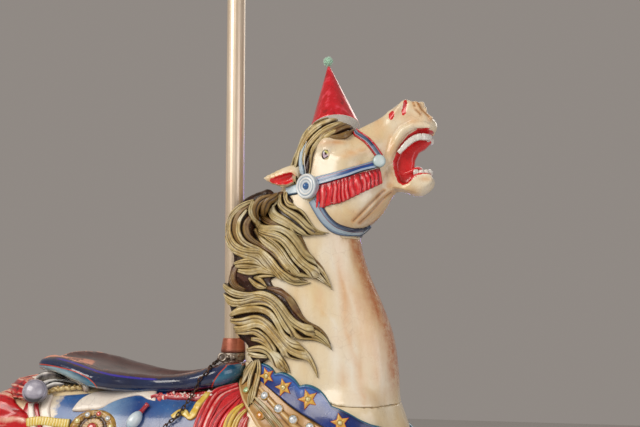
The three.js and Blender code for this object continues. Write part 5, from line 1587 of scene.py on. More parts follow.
def lathe_at(profile, centre, axis, around=48):
    """Rings of (radius, height) about an axis: a closed turned shape."""
    axis = unit(np.array(axis, float))
    u = unit(np.cross(axis, [0, 0, 1.0] if abs(axis[2]) < 0.9 else [1.0, 0, 0]))
    w = np.cross(axis, u)
    a = np.arange(around) / around * 2 * np.pi
    rings = [np.array(centre) + axis * h + np.outer(np.cos(a) * r, u) + np.outer(np.sin(a) * r, w) for r, h in profile]
    m = rings_mesh(rings)
    h_all = np.r_[np.repeat([q[1] for q in profile], around), profile[0][1], profile[-1][1]]
    r_all = np.r_[np.repeat([q[0] for q in profile], around), 0, 0]
    return m, r_all, h_all


def block(c, half, along=(1, 0, 0), up=(0, 0, 1), e=3.2, rings=9, around=16):
    """A rounded block."""
    ax = unit(np.array(along, float))
    az = unit(np.array(up, float) - ax * np.dot(up, ax))
    ay = np.cross(az, ax)
    out = []
    for th in np.linspace(-0.47, 0.47, rings) * np.pi:
        st, ct = np.sin(th), np.cos(th)
        z = np.sign(st) * abs(st) ** (2 / e)
        r = abs(ct) ** (2 / e)
        a = (np.arange(around) + 0.5) / around * 2 * np.pi
        x = np.sign(np.cos(a)) * np.abs(np.cos(a)) ** (2 / e) * r
        y = np.sign(np.sin(a)) * np.abs(np.sin(a)) ** (2 / e) * r
        out.append(np.array(c, float) + np.outer(x * half[0], ax) + np.outer(y * half[1], ay) + (z * half[2] * az)[None])
    return rings_mesh(out)


# ---------------------------------------------------------------- paints of the harness
def strap_paint(name, near, far, crack=0.5):
    """Enamel bands across a strap; near and far are the bands at its two ends."""
    m = Mat(name, coat=0.5, coat_rough=0.15)
    a = m.mask("strip")
    wob = m.math("MULTIPLY", m.math("SUBTRACT", m.noise(70, 3, 0.6), 0.5), 0.05)
    sx = m.math("ADD", a[0], wob)
    n1 = m.ramp(sx, near, "CONSTANT")
    n2 = m.ramp(sx, far, "CONSTANT")
    c = m.mix(m.ramp(a[1], [(0.30, 0.0), (0.62, 1.0)]), n1, n2)
    return enamel(m, c, cav=a[2], dirt_and_shade=rgb("3B2A1C"), crackle=crack, strokes=(40, 40, 40)).m


def plain_paint(name, light, base, deep, streaks=(90, 90, 22), wear=0.3, chips=None, coat=0.5):
    """One colour, pale where the strip mask's third number is low and deep where it is high: painted highlights on
    ridges and painted shade in hollows on most pieces, real colour changes on a few.
    """
    m = Mat(name, coat=coat, coat_rough=0.16)
    a = m.mask("strip")
    broken = m.noise(1, 4, 0.65, m.mapped(streaks))
    f = m.math("ADD", a[2], m.math("MULTIPLY", m.math("SUBTRACT", broken, 0.5), 0.5))
    c = m.mix(m.ramp(f, [(0.12, 0.0), (0.4, 1.0)]), light, base)
    c = m.mix(m.ramp(f, [(0.5, 0.0), (0.9, 1.0)]), c, deep)
    return enamel(m, c, dirt_and_shade=tuple(x * 0.35 for x in deep), crackle=0.4, chips=chips, wear=wear).m


LIGHT, MIDBLUE, NAVY = rgb("B4C8D6"), rgb("3E6CA8"), rgb("1F3358")
CHEEK = strap_paint(
    "cheek_strap",
    [(0, rgb("3E5068")), (0.08, rgb("9DB3CA")), (0.24, rgb("A8473F")), (0.30, rgb("8399B6")), (0.46, rgb("5E7696")), (0.66, rgb("B9C6D6")), (0.92, rgb("3E5670"))],
    [(0, rgb("3E5068")), (0.08, rgb("93ABC4")), (0.24, rgb("8E4450")), (0.30, rgb("234F98")), (0.66, rgb("A9BDD4")), (0.92, rgb("3A5470"))],
)
NOSE = strap_paint(
    "noseband",
    [(0, rgb("C9262B")), (0.20, rgb("A9B4BE")), (0.32, rgb("5B7492")), (0.50, rgb("22365A")), (0.66, rgb("46597A")), (0.72, rgb("CF2329"))],
    [(0, rgb("C9262B")), (0.20, rgb("8E9DAE")), (0.30, rgb("33486C")), (0.50, rgb("7D90A4")), (0.66, rgb("2B3C5C")), (0.72, rgb("CF2329"))],
)
THROAT = strap_paint(
    "throat_strap",
    [(0, rgb("33486A")), (0.10, rgb("7C97B6")), (0.30, rgb("8E4A45")), (0.35, rgb("A9BED0")), (0.78, rgb("8197B0")), (0.88, rgb("3C5674"))],
    [(0, rgb("1C2C4A")), (0.16, rgb("24395C")), (0.32, rgb("6E4348")), (0.36, rgb("A9C0CC")), (0.70, rgb("35506E"))],
)
PALESTRAP = strap_paint(
    "crown_strap",
    [(0, rgb("3E5C78")), (0.16, rgb("C3D6E2")), (0.84, rgb("8FAABD"))],
    [(0, rgb("3E5C78")), (0.16, rgb("C7D8E4")), (0.84, rgb("8FAABD"))],
)
FRINGE = plain_paint("fringe", rgb("F9B8B0"), rgb("E62530"), rgb("8A0A12"), streaks=(300, 300, 40), chips=rgb("FBE6DE"), wear=0.75)
WHITE_ENAMEL = plain_paint("rosette_white", rgb("F6F6F2"), rgb("DCE6EC"), rgb("7C93A5"), streaks=(60, 60, 60))
AQUA = plain_paint("button_aqua", rgb("DDEBEA"), rgb("C2DADB"), rgb("6F8E93"), streaks=(60, 60, 60))


def glassy(name, colour, dark):
    m = Mat(name, rough=0.06, coat=1.0, coat_rough=0.03, spec=0.7)
    n = m.noise(120, 3, 0.6)
    m.colour(m.mix(m.ramp(n, [(0.3, 0.0), (0.7, 1.0)]), colour, dark))
    m.rough(m.ramp(m.noise(300, 2, 0.6), [(0.3, 0.04), (0.8, 0.16)]))
    m.bump(m.noise(60, 3, 0.5), 0.05, 0.0005)
    return m.m


BLUE_GLASS = glassy("blue_glass", rgb("1E6FB4"), rgb("0F4A86"))


def strip_masks(s_all, d_all, reach, cav=None):
    cav = np.zeros(len(s_all)) if cav is None else cav
    return {"strip": np.stack([(s_all + 1) / 2, np.clip(d_all / reach, 0, 1), cav], 1)}


def strap_profile(h, rim=0.9):
    """A flat strap with a raised roll along each edge."""

    def f(S, T):
        a = np.abs(S)
        edge = np.sqrt(np.clip(1 - a**9, 0, 1))
        roll = rim * np.exp(-(((a - 0.80) / 0.13) ** 2)) - 0.5 * rim * np.exp(-(((a - 0.58) / 0.07) ** 2))
        return (h + roll) * edge + 0.3

    return f


face = Grid((140, -112, 1225), (478, 0, 1562), 1.6, half=True)
face.d = head.skin
R = bridle_px

# cheek strap
path = cast(face, even([R(*c) for c in [(290, 848), (345, 830), (500, 790), (680, 738), (850, 686), (1010, 638), (1070, 618)]], 70))
m, sa, da, per = ribbon(face, path, np.linspace(20.5, 17.5, 70), strap_profile(4.4), across=21, sunk=2)
for nm, mm in (("right", m), ("left", flip(m))):
    put("cheek_strap_band_" + nm, mm, CHEEK, replaces=("cheek_strap_" + nm,), masks=strip_masks(sa, da, da.max(), 0.6 * smooth(0.9, 1.0, np.abs(sa))))

# fringe: carved pleats under the cheek strap
FR_TOP = [R(*c) for c in [(368, 880), (500, 845), (680, 792), (850, 742), (1000, 700), (1090, 676)]]
FR_LOW = [R(*c) for c in [(352, 1145), (436, 1136), (520, 1104), (640, 1078), (780, 1014), (900, 955), (1000, 908), (1116, 852)]]


def pleats(S, T):
    k = S * 13.5 + 0.35 * np.sin(2.3 * S * 6 + 1.0) + 0.12 * np.sin(7 * T + 9 * S)
    fold = np.abs(np.sin(np.pi * k)) ** 0.8
    deep = 1.2 + 3.4 * smooth(0.0, 0.35, T)
    end = np.sqrt(np.clip(1 - np.abs(2 * S - 1) ** 30, 0, 1)) * np.sqrt(np.clip(1 - np.abs(T) ** 24, 0, 1))
    return (2.2 + deep * fold) * (0.25 + 0.75 * end)


low = np.array(even(FR_LOW, 220))
k = np.linspace(0, 1, 220) * 13.5
low[:, 1] += 0.55 * (np.abs(np.sin(np.pi * k)) - 0.4)
m, S, T = panel(face, FR_TOP, low, 220, 22, pleats, sunk=2)
kk = S * 13.5 + 0.35 * np.sin(2.3 * S * 6 + 1.0) + 0.12 * np.sin(7 * T + 9 * S)
fold = np.abs(np.sin(np.pi * kk)) ** 0.8
# painted shade between the pleats and along the top under the strap, painted highlight on each crest; darker along the
# bottom edge and towards the front end
cav = np.clip(0.86 - 0.72 * fold * smooth(0.05, 0.3, T) + 0.1 * np.sin(40 * S), 0.0, 1)
cav = np.maximum(cav, smooth(0.95, 1.0, T))
cav = cav * 0.68 + 0.24 + 0.12 * smooth(0.6, 1.0, S)
strip = {"strip": np.stack([S, T, np.clip(cav, 0, 1)], 1)}
put("fringe_right_pleats", m, FRINGE, replaces=("fringe_right",), masks=strip)
put("fringe_left_pleats", flip(m), FRINGE, replaces=("fringe_left",), masks=strip)

# noseband, over the face from button to button
half = cast(face, even([R(*c) for c in [(1085, 545), (1050, 488), (1000, 420), (940, 356), (880, 312), (825, 280)]], 26))
top = face.onto(np.array([[half[-1][0] - 10, -14, half[-1][2] + 6], [half[-1][0] - 12, 0, half[-1][2] + 8]]), 0, 8)[0]
half = np.vstack([half, top[:1]])
whole = np.vstack([half, top[1:], half[::-1] * [1, -1, 1]])
path = even(whole, 90)
path = face.onto(path, 0, 4)[0]
m, sa, da, per = ribbon(face, path, 17.5, strap_profile(4.2), across=21, sunk=2)
dd = np.minimum(da, da.max() - da)
put("noseband_strap", m, NOSE, replaces=("noseband",), masks=strip_masks(sa, dd, dd.max(), 0.6 * smooth(0.9, 1.0, np.abs(sa))))

# throat strap, under the jowl from rosette to rosette
half = cast(face, even([crop(*c) for c in [(742, 978), (776, 1040), (818, 1104), (872, 1156), (930, 1180), (990, 1190), (1046, 1188)]], 44))
end = np.array([half[-1] + [11, 12, -1], half[-1] + [17, 26, -2], half[-1] + [19, 40, -2]])
end[-1, 1] = 0
end = face.onto(end, 0, 8)[0]
whole = np.vstack([half, end, (np.vstack([half, end[:-1]]) * [1, -1, 1])[::-1]])
path = face.onto(even(whole, 120), 0, 3)[0]
m, sa, da, per = ribbon(face, path, 27, strap_profile(4.4), across=21, sunk=2)
dd = np.minimum(da, da.max() - da)
put("throat_strap_band", m, THROAT, replaces=("throat_strap",), masks=strip_masks(sa, dd, dd.max(), 0.6 * smooth(0.9, 1.0, np.abs(sa))))

# crown straps: up from the rosette into the hair, and back from it below the ear
path = cast(poll, even([R(*c) for c in [(226, 790), (208, 720), (198, 640), (202, 560), (222, 470), (250, 400), (285, 330)]], 40))
m1_, s1, d1, _ = ribbon(poll, path, np.linspace(12, 9, 40), strap_profile(3.2, 0.6), across=15, sunk=2, lift=5.0)
path = cast(face, even([R(*c) for c in [(190, 905), (120, 925), (60, 940), (5, 955)]], 20))
m2_, s2, d2, _ = ribbon(face, path, np.linspace(24, 22, 20), strap_profile(4.0, 1.0), across=17, sunk=2)
m = join([m1_, m2_])
sa, da = np.r_[s1, s2], np.r_[d1, d2 * 0]
for nm, mm in (("right", m), ("left", flip(m))):
    put("crown_strap_" + nm, mm, PALESTRAP, masks=strip_masks(sa, da, da.max(), 0.6 * smooth(0.88, 1.0, np.abs(sa))))

# rosettes and the buttons at the corners of the mouth
ROSE = [(3, -12), (26, -12), (27.2, -4), (27.6, 2), (27.0, 5.2), (25.2, 6.8), (23.0, 6.6), (21.6, 5.0), (20.6, 4.6), (19.2, 5.6), (17.6, 6.4), (15.8, 6.2), (14.6, 5.0), (13.4, 4.4), (11.0, 4.8), (9.4, 5.2), (8.6, 4.0), (6, 3.4), (1, 3.4)]
rose, rr, hh = lathe_at(ROSE, (190, -82, 1348), (-0.5, -1, 0), 64)
cavr = np.interp(rr, [0, 8, 9.5, 12.5, 14, 15.8, 17.6, 19.5, 20.8, 22, 24, 26, 27.5], [0.5, 0.8, 0.3, 0.45, 0.8, 0.2, 0.1, 0.6, 0.9, 0.4, 0.05, 0.25, 0.7])
dome, _, _ = lathe_at([(7.6, 2.5), (7.4, 5.0), (6.6, 7.4), (5.0, 9.4), (2.8, 10.7), (0.6, 11.2)], (190, -82, 1348), (-0.5, -1, 0), 40)
BTN = [(2, -10), (13.0, -10), (14.0, -3), (14.4, 2.5), (13.8, 5.0), (12.0, 6.6), (9.0, 7.8), (5.0, 8.6), (1.0, 8.9)]
btn, br, bh = lathe_at(BTN, (346, -64, 1401), (0.35, -1, 0.1), 48)
cavb = np.interp(br, [0, 10, 13, 14.4], [0.15, 0.25, 0.5, 0.95])
for nm, f in (("right", lambda q: q), ("left", flip)):
    both = [f(rose), f(dome)]
    mesh = join(both)
    st = np.zeros((len(mesh[0]), 3))
    st[: len(rr), 2] = cavr
    put("rosette_boss_" + nm, mesh, [WHITE_ENAMEL, BLUE_GLASS], replaces=("rosette_" + nm,), masks={"strip": st}, index=slots_of(both, [0, 1]))
    st = np.zeros((len(btn[0]), 3))
    st[:, 2] = cavb
    put("bit_button_boss_" + nm, f(btn), AQUA, replaces=("bit_button_" + nm,), masks={"strip": st})

# ---------------------------------------------------------------- ear
def M(x, y):
    return 376 + x / 14.26, 92 + y / 14.26


def sculpt_ear():
    g = Grid((70, -104, 1330), (200, -20, 1440), 1.4)
    line = even([on_plane(263.8, 178.2, -62), on_plane(268.9, 178.4, -63), on_plane(276.5, 178.4, -64), on_plane(285.7, 176.8, -63), on_plane(291.8, 174.4, -60), on_plane(296, 173, -56)], 7)
    r = np.array([1.2, 8.0, 13.5, 18.0, 20.5, 20.5, 16])
    g.add(rod(line, r, flat=0.62), 0)
    g.add(rod([line[-1], (186, -40, 1392)], [15, 16]), 8)
    inner = line + np.array([1.0, -9.5, -7.0])
    inner[-1] += (-8, 0, 0)
    dish = rod(inner[1:], np.array([3.0, 6.5, 9.2, 10.6, 9.6, 5]), flat=0.8)
    g.cut(dish, 2.5)
    x, y, z = g.whole()
    g.dish = dish.f(x, y, z).astype(np.float32) + np.zeros_like(g.d)
    return g


earg = sculpt_ear()
ev = earg.mesh(0.1)
dd = earg.at(ev[0], earg.dish)
esh = np.zeros((len(ev[0]), 3))
esh[:, 0] = 0.55 * smooth(10, 1, dd)
esh[:, 2] = smooth(2.1, 1.0, dd) * (ev[0][:, 0] < 172)
for nm, mm in (("right", ev), ("left", flip(ev))):
    put("ear_carving_" + nm, mm, COAT, replaces=("ear_" + nm,), masks={"shade": esh, "extra": np.zeros((len(ev[0]), 3))})

# ---------------------------------------------------------------- eye
def eye_paint():
    m = Mat("eye", rough=0.12, coat=0.9, coat_rough=0.04)
    a = m.mask("strip")
    n = m.noise(200, 3, 0.6)
    lid = m.mix(m.ramp(n, [(0.3, 0.0), (0.7, 1.0)]), rgb("EFDDBB"), rgb("E2CBA0"))
    c = m.mix(m.above(a[2], 0.5, 0.3), lid, m.mix(m.ramp(n, [(0.35, 0.0), (0.65, 1.0)]), rgb("EDE68E"), rgb("B9B45A")))
    c = m.mix(m.above(a[1], 0.5, 0.3), c, m.mix(m.ramp(n, [(0.35, 0.0), (0.65, 1.0)]), rgb("E8D3E0"), rgb("BBA0B4")))
    c = m.mix(m.above(a[0], 0.5, 0.3), c, rgb("3A2627"))
    m.colour(c)
    m.rough(m.ramp(m.noise(150, 2, 0.5), [(0.3, 0.08), (0.8, 0.2)]))
    m.bump(n, 0.05, 0.0004)
    return m.m


EYE_PAINT = eye_paint()
ec = on_plane(325.2, 154.4, -80)
ec = np.array([ec[0], -75.5, ec[2]])
th = np.linspace(0.02, np.pi - 0.02, 57)
rings = []
for t in th:
    a = np.arange(88) / 88 * 2 * np.pi
    bulge = -7.6 * np.sign(np.cos(t)) * abs(np.cos(t)) ** 0.62
    rings.append(ec + np.stack([9.4 * np.sin(t) * np.cos(a), np.full(88, bulge), 12.6 * np.sin(t) * np.sin(a)], 1))
em = rings_mesh(rings)


def eye_px(x, y):
    return 305 + x / 39.2, 135 + y / 39.2


eu_, ev_ = seen_at(em[0])
st = np.zeros((len(em[0]), 3))
for k_, shapes in enumerate((
    [[(650, 780), (662, 700), (690, 630), (720, 600), (770, 560), (870, 555), (910, 600), (905, 650), (880, 640), (830, 600), (770, 600), (745, 640), (800, 670), (855, 725), (842, 775), (795, 790), (765, 725), (722, 688), (700, 720), (698, 800), (718, 862), (755, 900), (820, 862), (890, 812), (915, 830), (885, 872), (800, 915), (740, 950), (690, 985), (684, 930), (660, 860)]],
    [[(700, 720), (722, 688), (765, 725), (795, 790), (850, 762), (900, 770), (890, 812), (820, 862), (755, 900), (718, 862), (698, 800)]],
    # yellow: a patch at the top of the eye, and a small painted glint low in it
    [[(745, 640), (770, 600), (830, 600), (880, 640), (905, 650), (900, 700), (880, 730), (855, 725), (800, 670)], [(815, 945), (885, 900), (905, 925), (860, 975)]],
)):
    for shape_ in shapes:
        st[:, k_] = np.maximum(st[:, k_], smooth(0.22, -0.22, polygon([eye_px(*c) for c in shape_])(eu_, ev_)) * (np.abs(em[0][:, 1]) > 76))
for nm, f in (("right", lambda q: q), ("left", flip)):
    put("eye_ball_" + nm, f(em), EYE_PAINT, replaces=("eye_" + nm,), masks={"strip": st})

# ---------------------------------------------------------------- teeth and tongue
def tooth_paint():
    m = Mat("teeth", rough=0.25, coat=0.6, coat_rough=0.1)
    a = m.mask("strip")
    n = m.noise(1, 4, 0.6, m.mapped((160, 160, 60)))
    c = m.mix(m.ramp(n, [(0.35, 0.0), (0.7, 1.0)]), rgb("F2F0E8"), rgb("D9D6CC"))
    c = m.mix(m.math("MULTIPLY", a[2], 0.9, True), c, rgb("A8564A"))
    return enamel(m, c, dirt_and_shade=rgb("6A5C4C"), crackle=0.5).m


TEETH = tooth_paint()
UP = [((352, 838), -41, 32), ((402, 782), -41, 38), ((452, 732), -40, 42), ((505, 690), -40, 44), ((560, 660), -39, 46), ((618, 642), -38, 48), ((676, 640), -36, 50), ((718, 645), -32, 46), ((754, 653), -26, 42)]
row = np.array([on_plane(*M(*c), y) for c, y, _ in UP])
teeth, gums = [], []
dirs = unit(np.gradient(row, axis=0))
for i, ((c, y, hgt), p) in enumerate(zip(UP, row)):
    d = dirs[i]
    upw = unit(np.array([-d[2], 0, d[0]]))
    ln = np.linalg.norm(row[min(i + 1, len(row) - 1)] - row[max(i - 1, 0)]) / (2 if 0 < i < len(row) - 1 else 1)
    mesh = block(p, (ln * 0.60, 5.5, hgt * 2.16 / 14.26), d, upw, e=7.0)
    rel = (mesh[0] - p) @ upw / (hgt * 2.16 / 14.26)
    teeth.append((mesh, smooth(0.75, 1.0, rel) * 0.6))
front = row[-1] + np.array([0.5, 0, -0.5])
for yy, dx in ((-17, -3.0), (-6, -4.0)):
    p = np.array([front[0] + dx, yy, front[2] - 1.0])
    mesh = block(p, (4.0, 5.6, 6.4), (1, 0, 0.1), (-0.15, 0, 1), e=3.6)
    teeth.append((mesh, smooth(3.5, 7.0, mesh[0][:, 2] - p[2]) * 0.6))
allm = [t for t, _ in teeth] + [flip(t) for t, _ in teeth]
cavs = np.concatenate([c for _, c in teeth] * 2)
mesh = join(allm)
put("upper_teeth_row", mesh, TEETH, replaces=("upper_teeth",), masks={"strip": np.stack([cavs * 0, cavs * 0, cavs], 1)})
LOWT = [((570, 1148), -27, 6.2, 7.0), ((648, 1152), -26, 5.8, 7.0), ((716, 1148), -22, 5.2, 6.6), ((766, 1140), -15, 4.2, 6.0)]
teeth = []
for c, y, lx, lz in LOWT:
    p = on_plane(*M(*c), y)
    mesh = block(p, (lx, 5.2, lz), (1, 0.12, 0.02), (-0.05, 0, 1), e=3.4)
    teeth.append((mesh, smooth(-2.0, -lz, mesh[0][:, 2] - p[2]) * 0.6))
allm = [t for t, _ in teeth] + [flip(t) for t, _ in teeth]
cavs = np.concatenate([c for _, c in teeth] * 2)
put("lower_teeth_row", join(allm), TEETH, replaces=("lower_teeth",), masks={"strip": np.stack([cavs * 0, cavs * 0, cavs], 1)})


def wet_red():
    m = Mat("wet_red", rough=0.2, coat=0.9, coat_rough=0.06)
    n = m.noise(30, 3, 0.6)
    c = m.mix(m.ramp(n, [(0.3, 0.0), (0.7, 1.0)]), rgb("D80F1C"), rgb("F23A3A"))
    return enamel(m, c, dirt_and_shade=rgb("6E0A10"), crackle=0.35, rough=(0.12, 0.3)).m


WET_RED = wet_red()
tp = [on_plane(*M(*c), 0) for c in [(300, 1130), (400, 1180), (500, 1150), (570, 1110), (630, 1105), (668, 1122)]]
rows = [[*p, a, b, 2.4] for p, a, b in zip(tp, (10, 9, 7.5, 5.5, 4.6, 2.6), (16, 17, 17, 17, 15, 9))]
mesh = limb_loft(rows, 28, 6)
v = mesh[0]
v[:, 2] -= 2.0 * np.exp(-((v[:, 1] / 5.0) ** 2))
put("tongue_carving", mesh, WET_RED, replaces=("tongue",), masks={"strip": np.zeros((len(v), 3))})


# ---------------------------------------------------------------- party hat
def foil():
    m = Mat("foil", rough=0.26, metal=0.2, coat=0.7, coat_rough=0.08)
    n = m.noise(26, 3, 0.6)
    fine = m.noise(260, 3, 0.6)
    band = m.noise(1, 2, 0.5, m.mapped((80, 80, 4)))
    c = m.mix(m.ramp(n, [(0.35, 0.0), (0.7, 1.0)]), rgb("D4071B"), rgb("F01028"))
    # painted highlights: pale upright streaks where the crinkled foil catches the light
    c = m.mix(m.ramp(band, [(0.54, 0.0), (0.68, 1.0)]), c, rgb("FF4A5C"))
    # painted shade: dark upright streaks between them
    c = m.mix(m.ramp(band, [(0.30, 1.0), (0.42, 0.0)]), c, rgb("B00416"))
    m.colour(c)
    m.rough(m.ramp(m.noise(50, 3, 0.6), [(0.3, 0.16), (0.75, 0.32)]))
    m.bump(band, 0.3, 0.004, coat=True)
    m.bump(fine, 0.06, 0.0006)
    return m.m


def card():
    m = Mat("card", rough=0.75)
    n = m.noise(180, 4, 0.7)
    c = m.mix(m.ramp(n, [(0.3, 0.0), (0.7, 1.0)]), rgb("FFFDFA"), rgb("EDE8E0"))
    m.colour(c)
    # painted light: the card glows faintly in its own colour, standing in for light falling inside the hat
    m.feed(m.b.inputs["Emission Color"], c)
    m.b.inputs["Emission Strength"].default_value = 0.16
    m.rough(m.ramp(m.noise(90, 3, 0.6), [(0.3, 0.62), (0.75, 0.85)]))
    m.bump(n, 0.2, 0.0006)
    return m.m


FOIL, CARD_WITH_PAINTED_GLOW = foil(), card()
axis = unit(np.array([-0.15, 0.33, 0.93]))
c0 = np.array([236.0, 0, 1490.0])
a = np.arange(120) / 120 * 2 * np.pi
hu = unit(np.cross([0.0, 1.0, 0.0], axis))
hw = np.cross(axis, hu)


def hat_ring(r, h, bow=0.0):
    # the card overlaps itself at a seam at the back, and bows a little between its creases
    rr = r + 0.55 * (smooth(3.02, 3.10, a) - smooth(3.10, 3.9, a)) + bow * np.sin(3 * a + 0.6) + 0.5 * bow * np.sin(5 * a + 2)
    return c0 + axis * h + np.outer(np.cos(a) * rr, hu) + np.outer(np.sin(a) * rr, hw)


outer_h = np.linspace(0, 168, 52)
outer = [hat_ring(56.2 - 54.3 * h / 170, h, 0.5 * (1 - h / 170)) for h in outer_h]
inner = [hat_ring(55.2 - 54.3 * h / 170, h, 0.5 * (1 - h / 170)) for h in outer_h[:-1]]
hem = [hat_ring(56.4, 0.2, 0.5)]
rings = [hat_ring(0.4, 169.2)] + outer[::-1] + inner + [hat_ring(0.5, 167)]
hm = rings_mesh(rings, cap=True)
nq, per = len(hm[1]), 120
which = np.zeros(nq + len(hm[2]), int)
row_of = np.repeat(np.arange(len(rings) - 1), per)
inside_rows = row_of >= 1 + len(outer) - 1
which[:nq] = inside_rows
if nq:
    which[nq:] = 1
hat_index = which
put("party_hat_cone", hm, [FOIL, CARD_WITH_PAINTED_GLOW], replaces=("party_hat",), index=hat_index)

# tuft of cut tinsel
r = rng(77)
c1 = np.array([208.5, 60.5, 1660.2])
parts = [block(c1, (8.4, 8.4, 8.4), e=2.0, rings=9, around=14)]
for _ in range(900):
    d = unit(r.normal(size=3))
    bend = unit(d + 0.35 * r.normal(size=3))
    L = 12.6 + r.uniform(-1.2, 0.8)
    side_ = unit(np.cross(d, [0.3, 0.2, 1.0]))
    w = 0.42
    p0, p1, p2 = c1 + d * 5, c1 + d * (L * 0.7), c1 + d * (L * 0.7) + bend * (L * 0.3)
    up_ = np.cross(side_, d)
    ring = []
    for p, k in ((p0, 1.0), (p1, 0.9), (p2, 0.25)):
        ring.append(np.array([p + side_ * w * k, p + up_ * w * k * 0.5, p - side_ * w * k, p - up_ * w * k * 0.5]))
    parts.append(rings_mesh(ring))
pm = join(parts)


def tinsel():
    m = Mat("tinsel", rough=0.6)
    n = m.noise(220, 3, 0.7)
    m.colour(m.mix(m.ramp(n, [(0.3, 0.0), (0.7, 1.0)]), rgb("BDEBD2"), rgb("DDF5E6")))
    m.rough(m.ramp(m.noise(90, 3, 0.6), [(0.3, 0.45), (0.75, 0.7)]))
    m.bump(n, 0.2, 0.0006)
    return m.m


put("pompom_tuft", pm, tinsel(), replaces=("hat_pompom",))

# thin elastic from the hat's rim, down each cheek to the throat, held at both ends
def tube(points, radius, around=8):
    p = np.asarray(points, float)
    t = unit(np.gradient(p, axis=0))
    n = unit(np.cross(t, [0.13, 0.2, 0.97]))
    b = np.cross(t, n)
    a = np.arange(around) / around * 2 * np.pi
    rr = np.asarray(radius, float) * np.ones(len(p))
    return rings_mesh([p[i] + (np.outer(np.cos(a), n[i]) + np.outer(np.sin(a), b[i])) * rr[i] for i in range(len(p))])


start = hat_ring(55.6, 2.0)[int(120 * (205 / 360))]
lift = [cast(poll, [uv], off=9.0)[0] for uv in ((308.2, 131), (306.6, 140), (305.4, 148), (304.8, 156), (304.4, 163))]
line = even(np.vstack([[start], lift, cast(face, [(305.5, 172), (306.5, 181)], off=6.0)]), 60)


def elastic_paint():
    m = Mat("elastic", rough=0.6)
    n = m.noise(500, 2, 0.6)
    m.colour(m.mix(n, rgb("F4F2EC"), rgb("D8D4CC")))
    m.rough(m.ramp(n, [(0.3, 0.5), (0.75, 0.75)]))
    m.bump(n, 0.2, 0.0003)
    return m.m


ELASTIC = elastic_paint()
tm = tube(line, 0.9)
put("hat_elastic", join([tm, flip(tm)]), ELASTIC)

# ---------------------------------------------------------------- saddle
# [top x, top z, bottom x, bottom z, half width, exponent]
SADDLE = [
    [-440, 966, -435, 936, 84, 2.6], [-422, 975, -417, 936, 104, 2.8], [-380, 976, -378, 930, 120, 3], [-325, 965, -323, 912, 136, 3.1],
    [-285, 953, -285, 902, 142, 3.2], [-245, 946, -245, 896, 130, 3.2], [-205, 940, -205, 892, 108, 3.2], [-160, 936, -160, 890, 89, 3.2],
    [-110, 938, -110, 892, 88, 3.2], [-60, 949, -60, 898, 98, 3.2], [-20, 962, -20, 904, 100, 3], [14, 968, 14, 914, 88, 2.8], [36, 964, 38, 932, 64, 2.4],
]
# the raised edge round the seat, and the red lines at its ends, as pixels
SEAT_EDGE = [
    (38, 360), (46, 357.2), (56, 357), (69, 360), (83, 365), (99, 370.7), (112, 374), (130, 376.5), (141.6, 377.6), (158, 378.5), (175, 377.3), (191, 374),
    (206, 369.5), (216, 365.7), (224, 363), (240, 359),
]
REAR_LINE = [(40, 364.2), (46.5, 364.8), (58, 367), (70.5, 370), (79, 373), (88, 378), (93.7, 383), (98, 389), (99.5, 395)]
FRONT_LINE = [(228, 362), (226, 366.5), (219.5, 373), (214.5, 379.8), (212, 386), (211.5, 396)]


def sculpt_saddle():
    g = Grid((-470, -160, 850), (52, 0, 1000), 2.0, half=True)
    loft_into(g, rung_loft(SADDLE, 96, 8))
    # the seat is dished between its raised edges
    dish = [[x, 1100, x, z - 17, w - 17, 3.0] for x, z, _, _, w, e in SADDLE]
    dish = [[-440, 1100, -440, 966, 56, 2.4]] + dish[2:-2] + [[2, 1100, 2, 956, 56, 2.4]]
    d = g.from_mesh(rung_loft(dish, 72, 6), 40)
    g.d = smax(g.d, -d, 5)
    # a soft roll under the edge, and a shallow waist along the side
    g.d = smax(g.d, -5.0 - trunk_near(g), 3)
    x, y, z = g.whole()
    g.d = np.maximum(g.d, 22.6 - np.sqrt(x * x + y * y)).astype(np.float32)
    g.d = np.maximum(g.d, np.minimum(30.0 - np.sqrt(x * x + y * y), z - 956)).astype(np.float32)
    return g


def trunk_near(g):
    """The trunk's skin sampled on another block."""
    x, y, z = g.whole()
    xx, yy, zz = np.broadcast_arrays(x, y, z)
    pts = np.stack([xx.ravel(), yy.ravel(), zz.ravel()], 1)
    out = np.empty(len(pts), np.float32)
    for a in range(0, len(pts), 400000):
        out[a : a + 400000] = trunk.at(pts[a : a + 400000], trunk.skin)
    return out.reshape(g.n)


hide = Grid((-764, -192, 560), (442, 192, 990), 3.2)
hide.d = trunk.skin
saddle = sculpt_saddle()
sv = saddle.mesh(0.12)


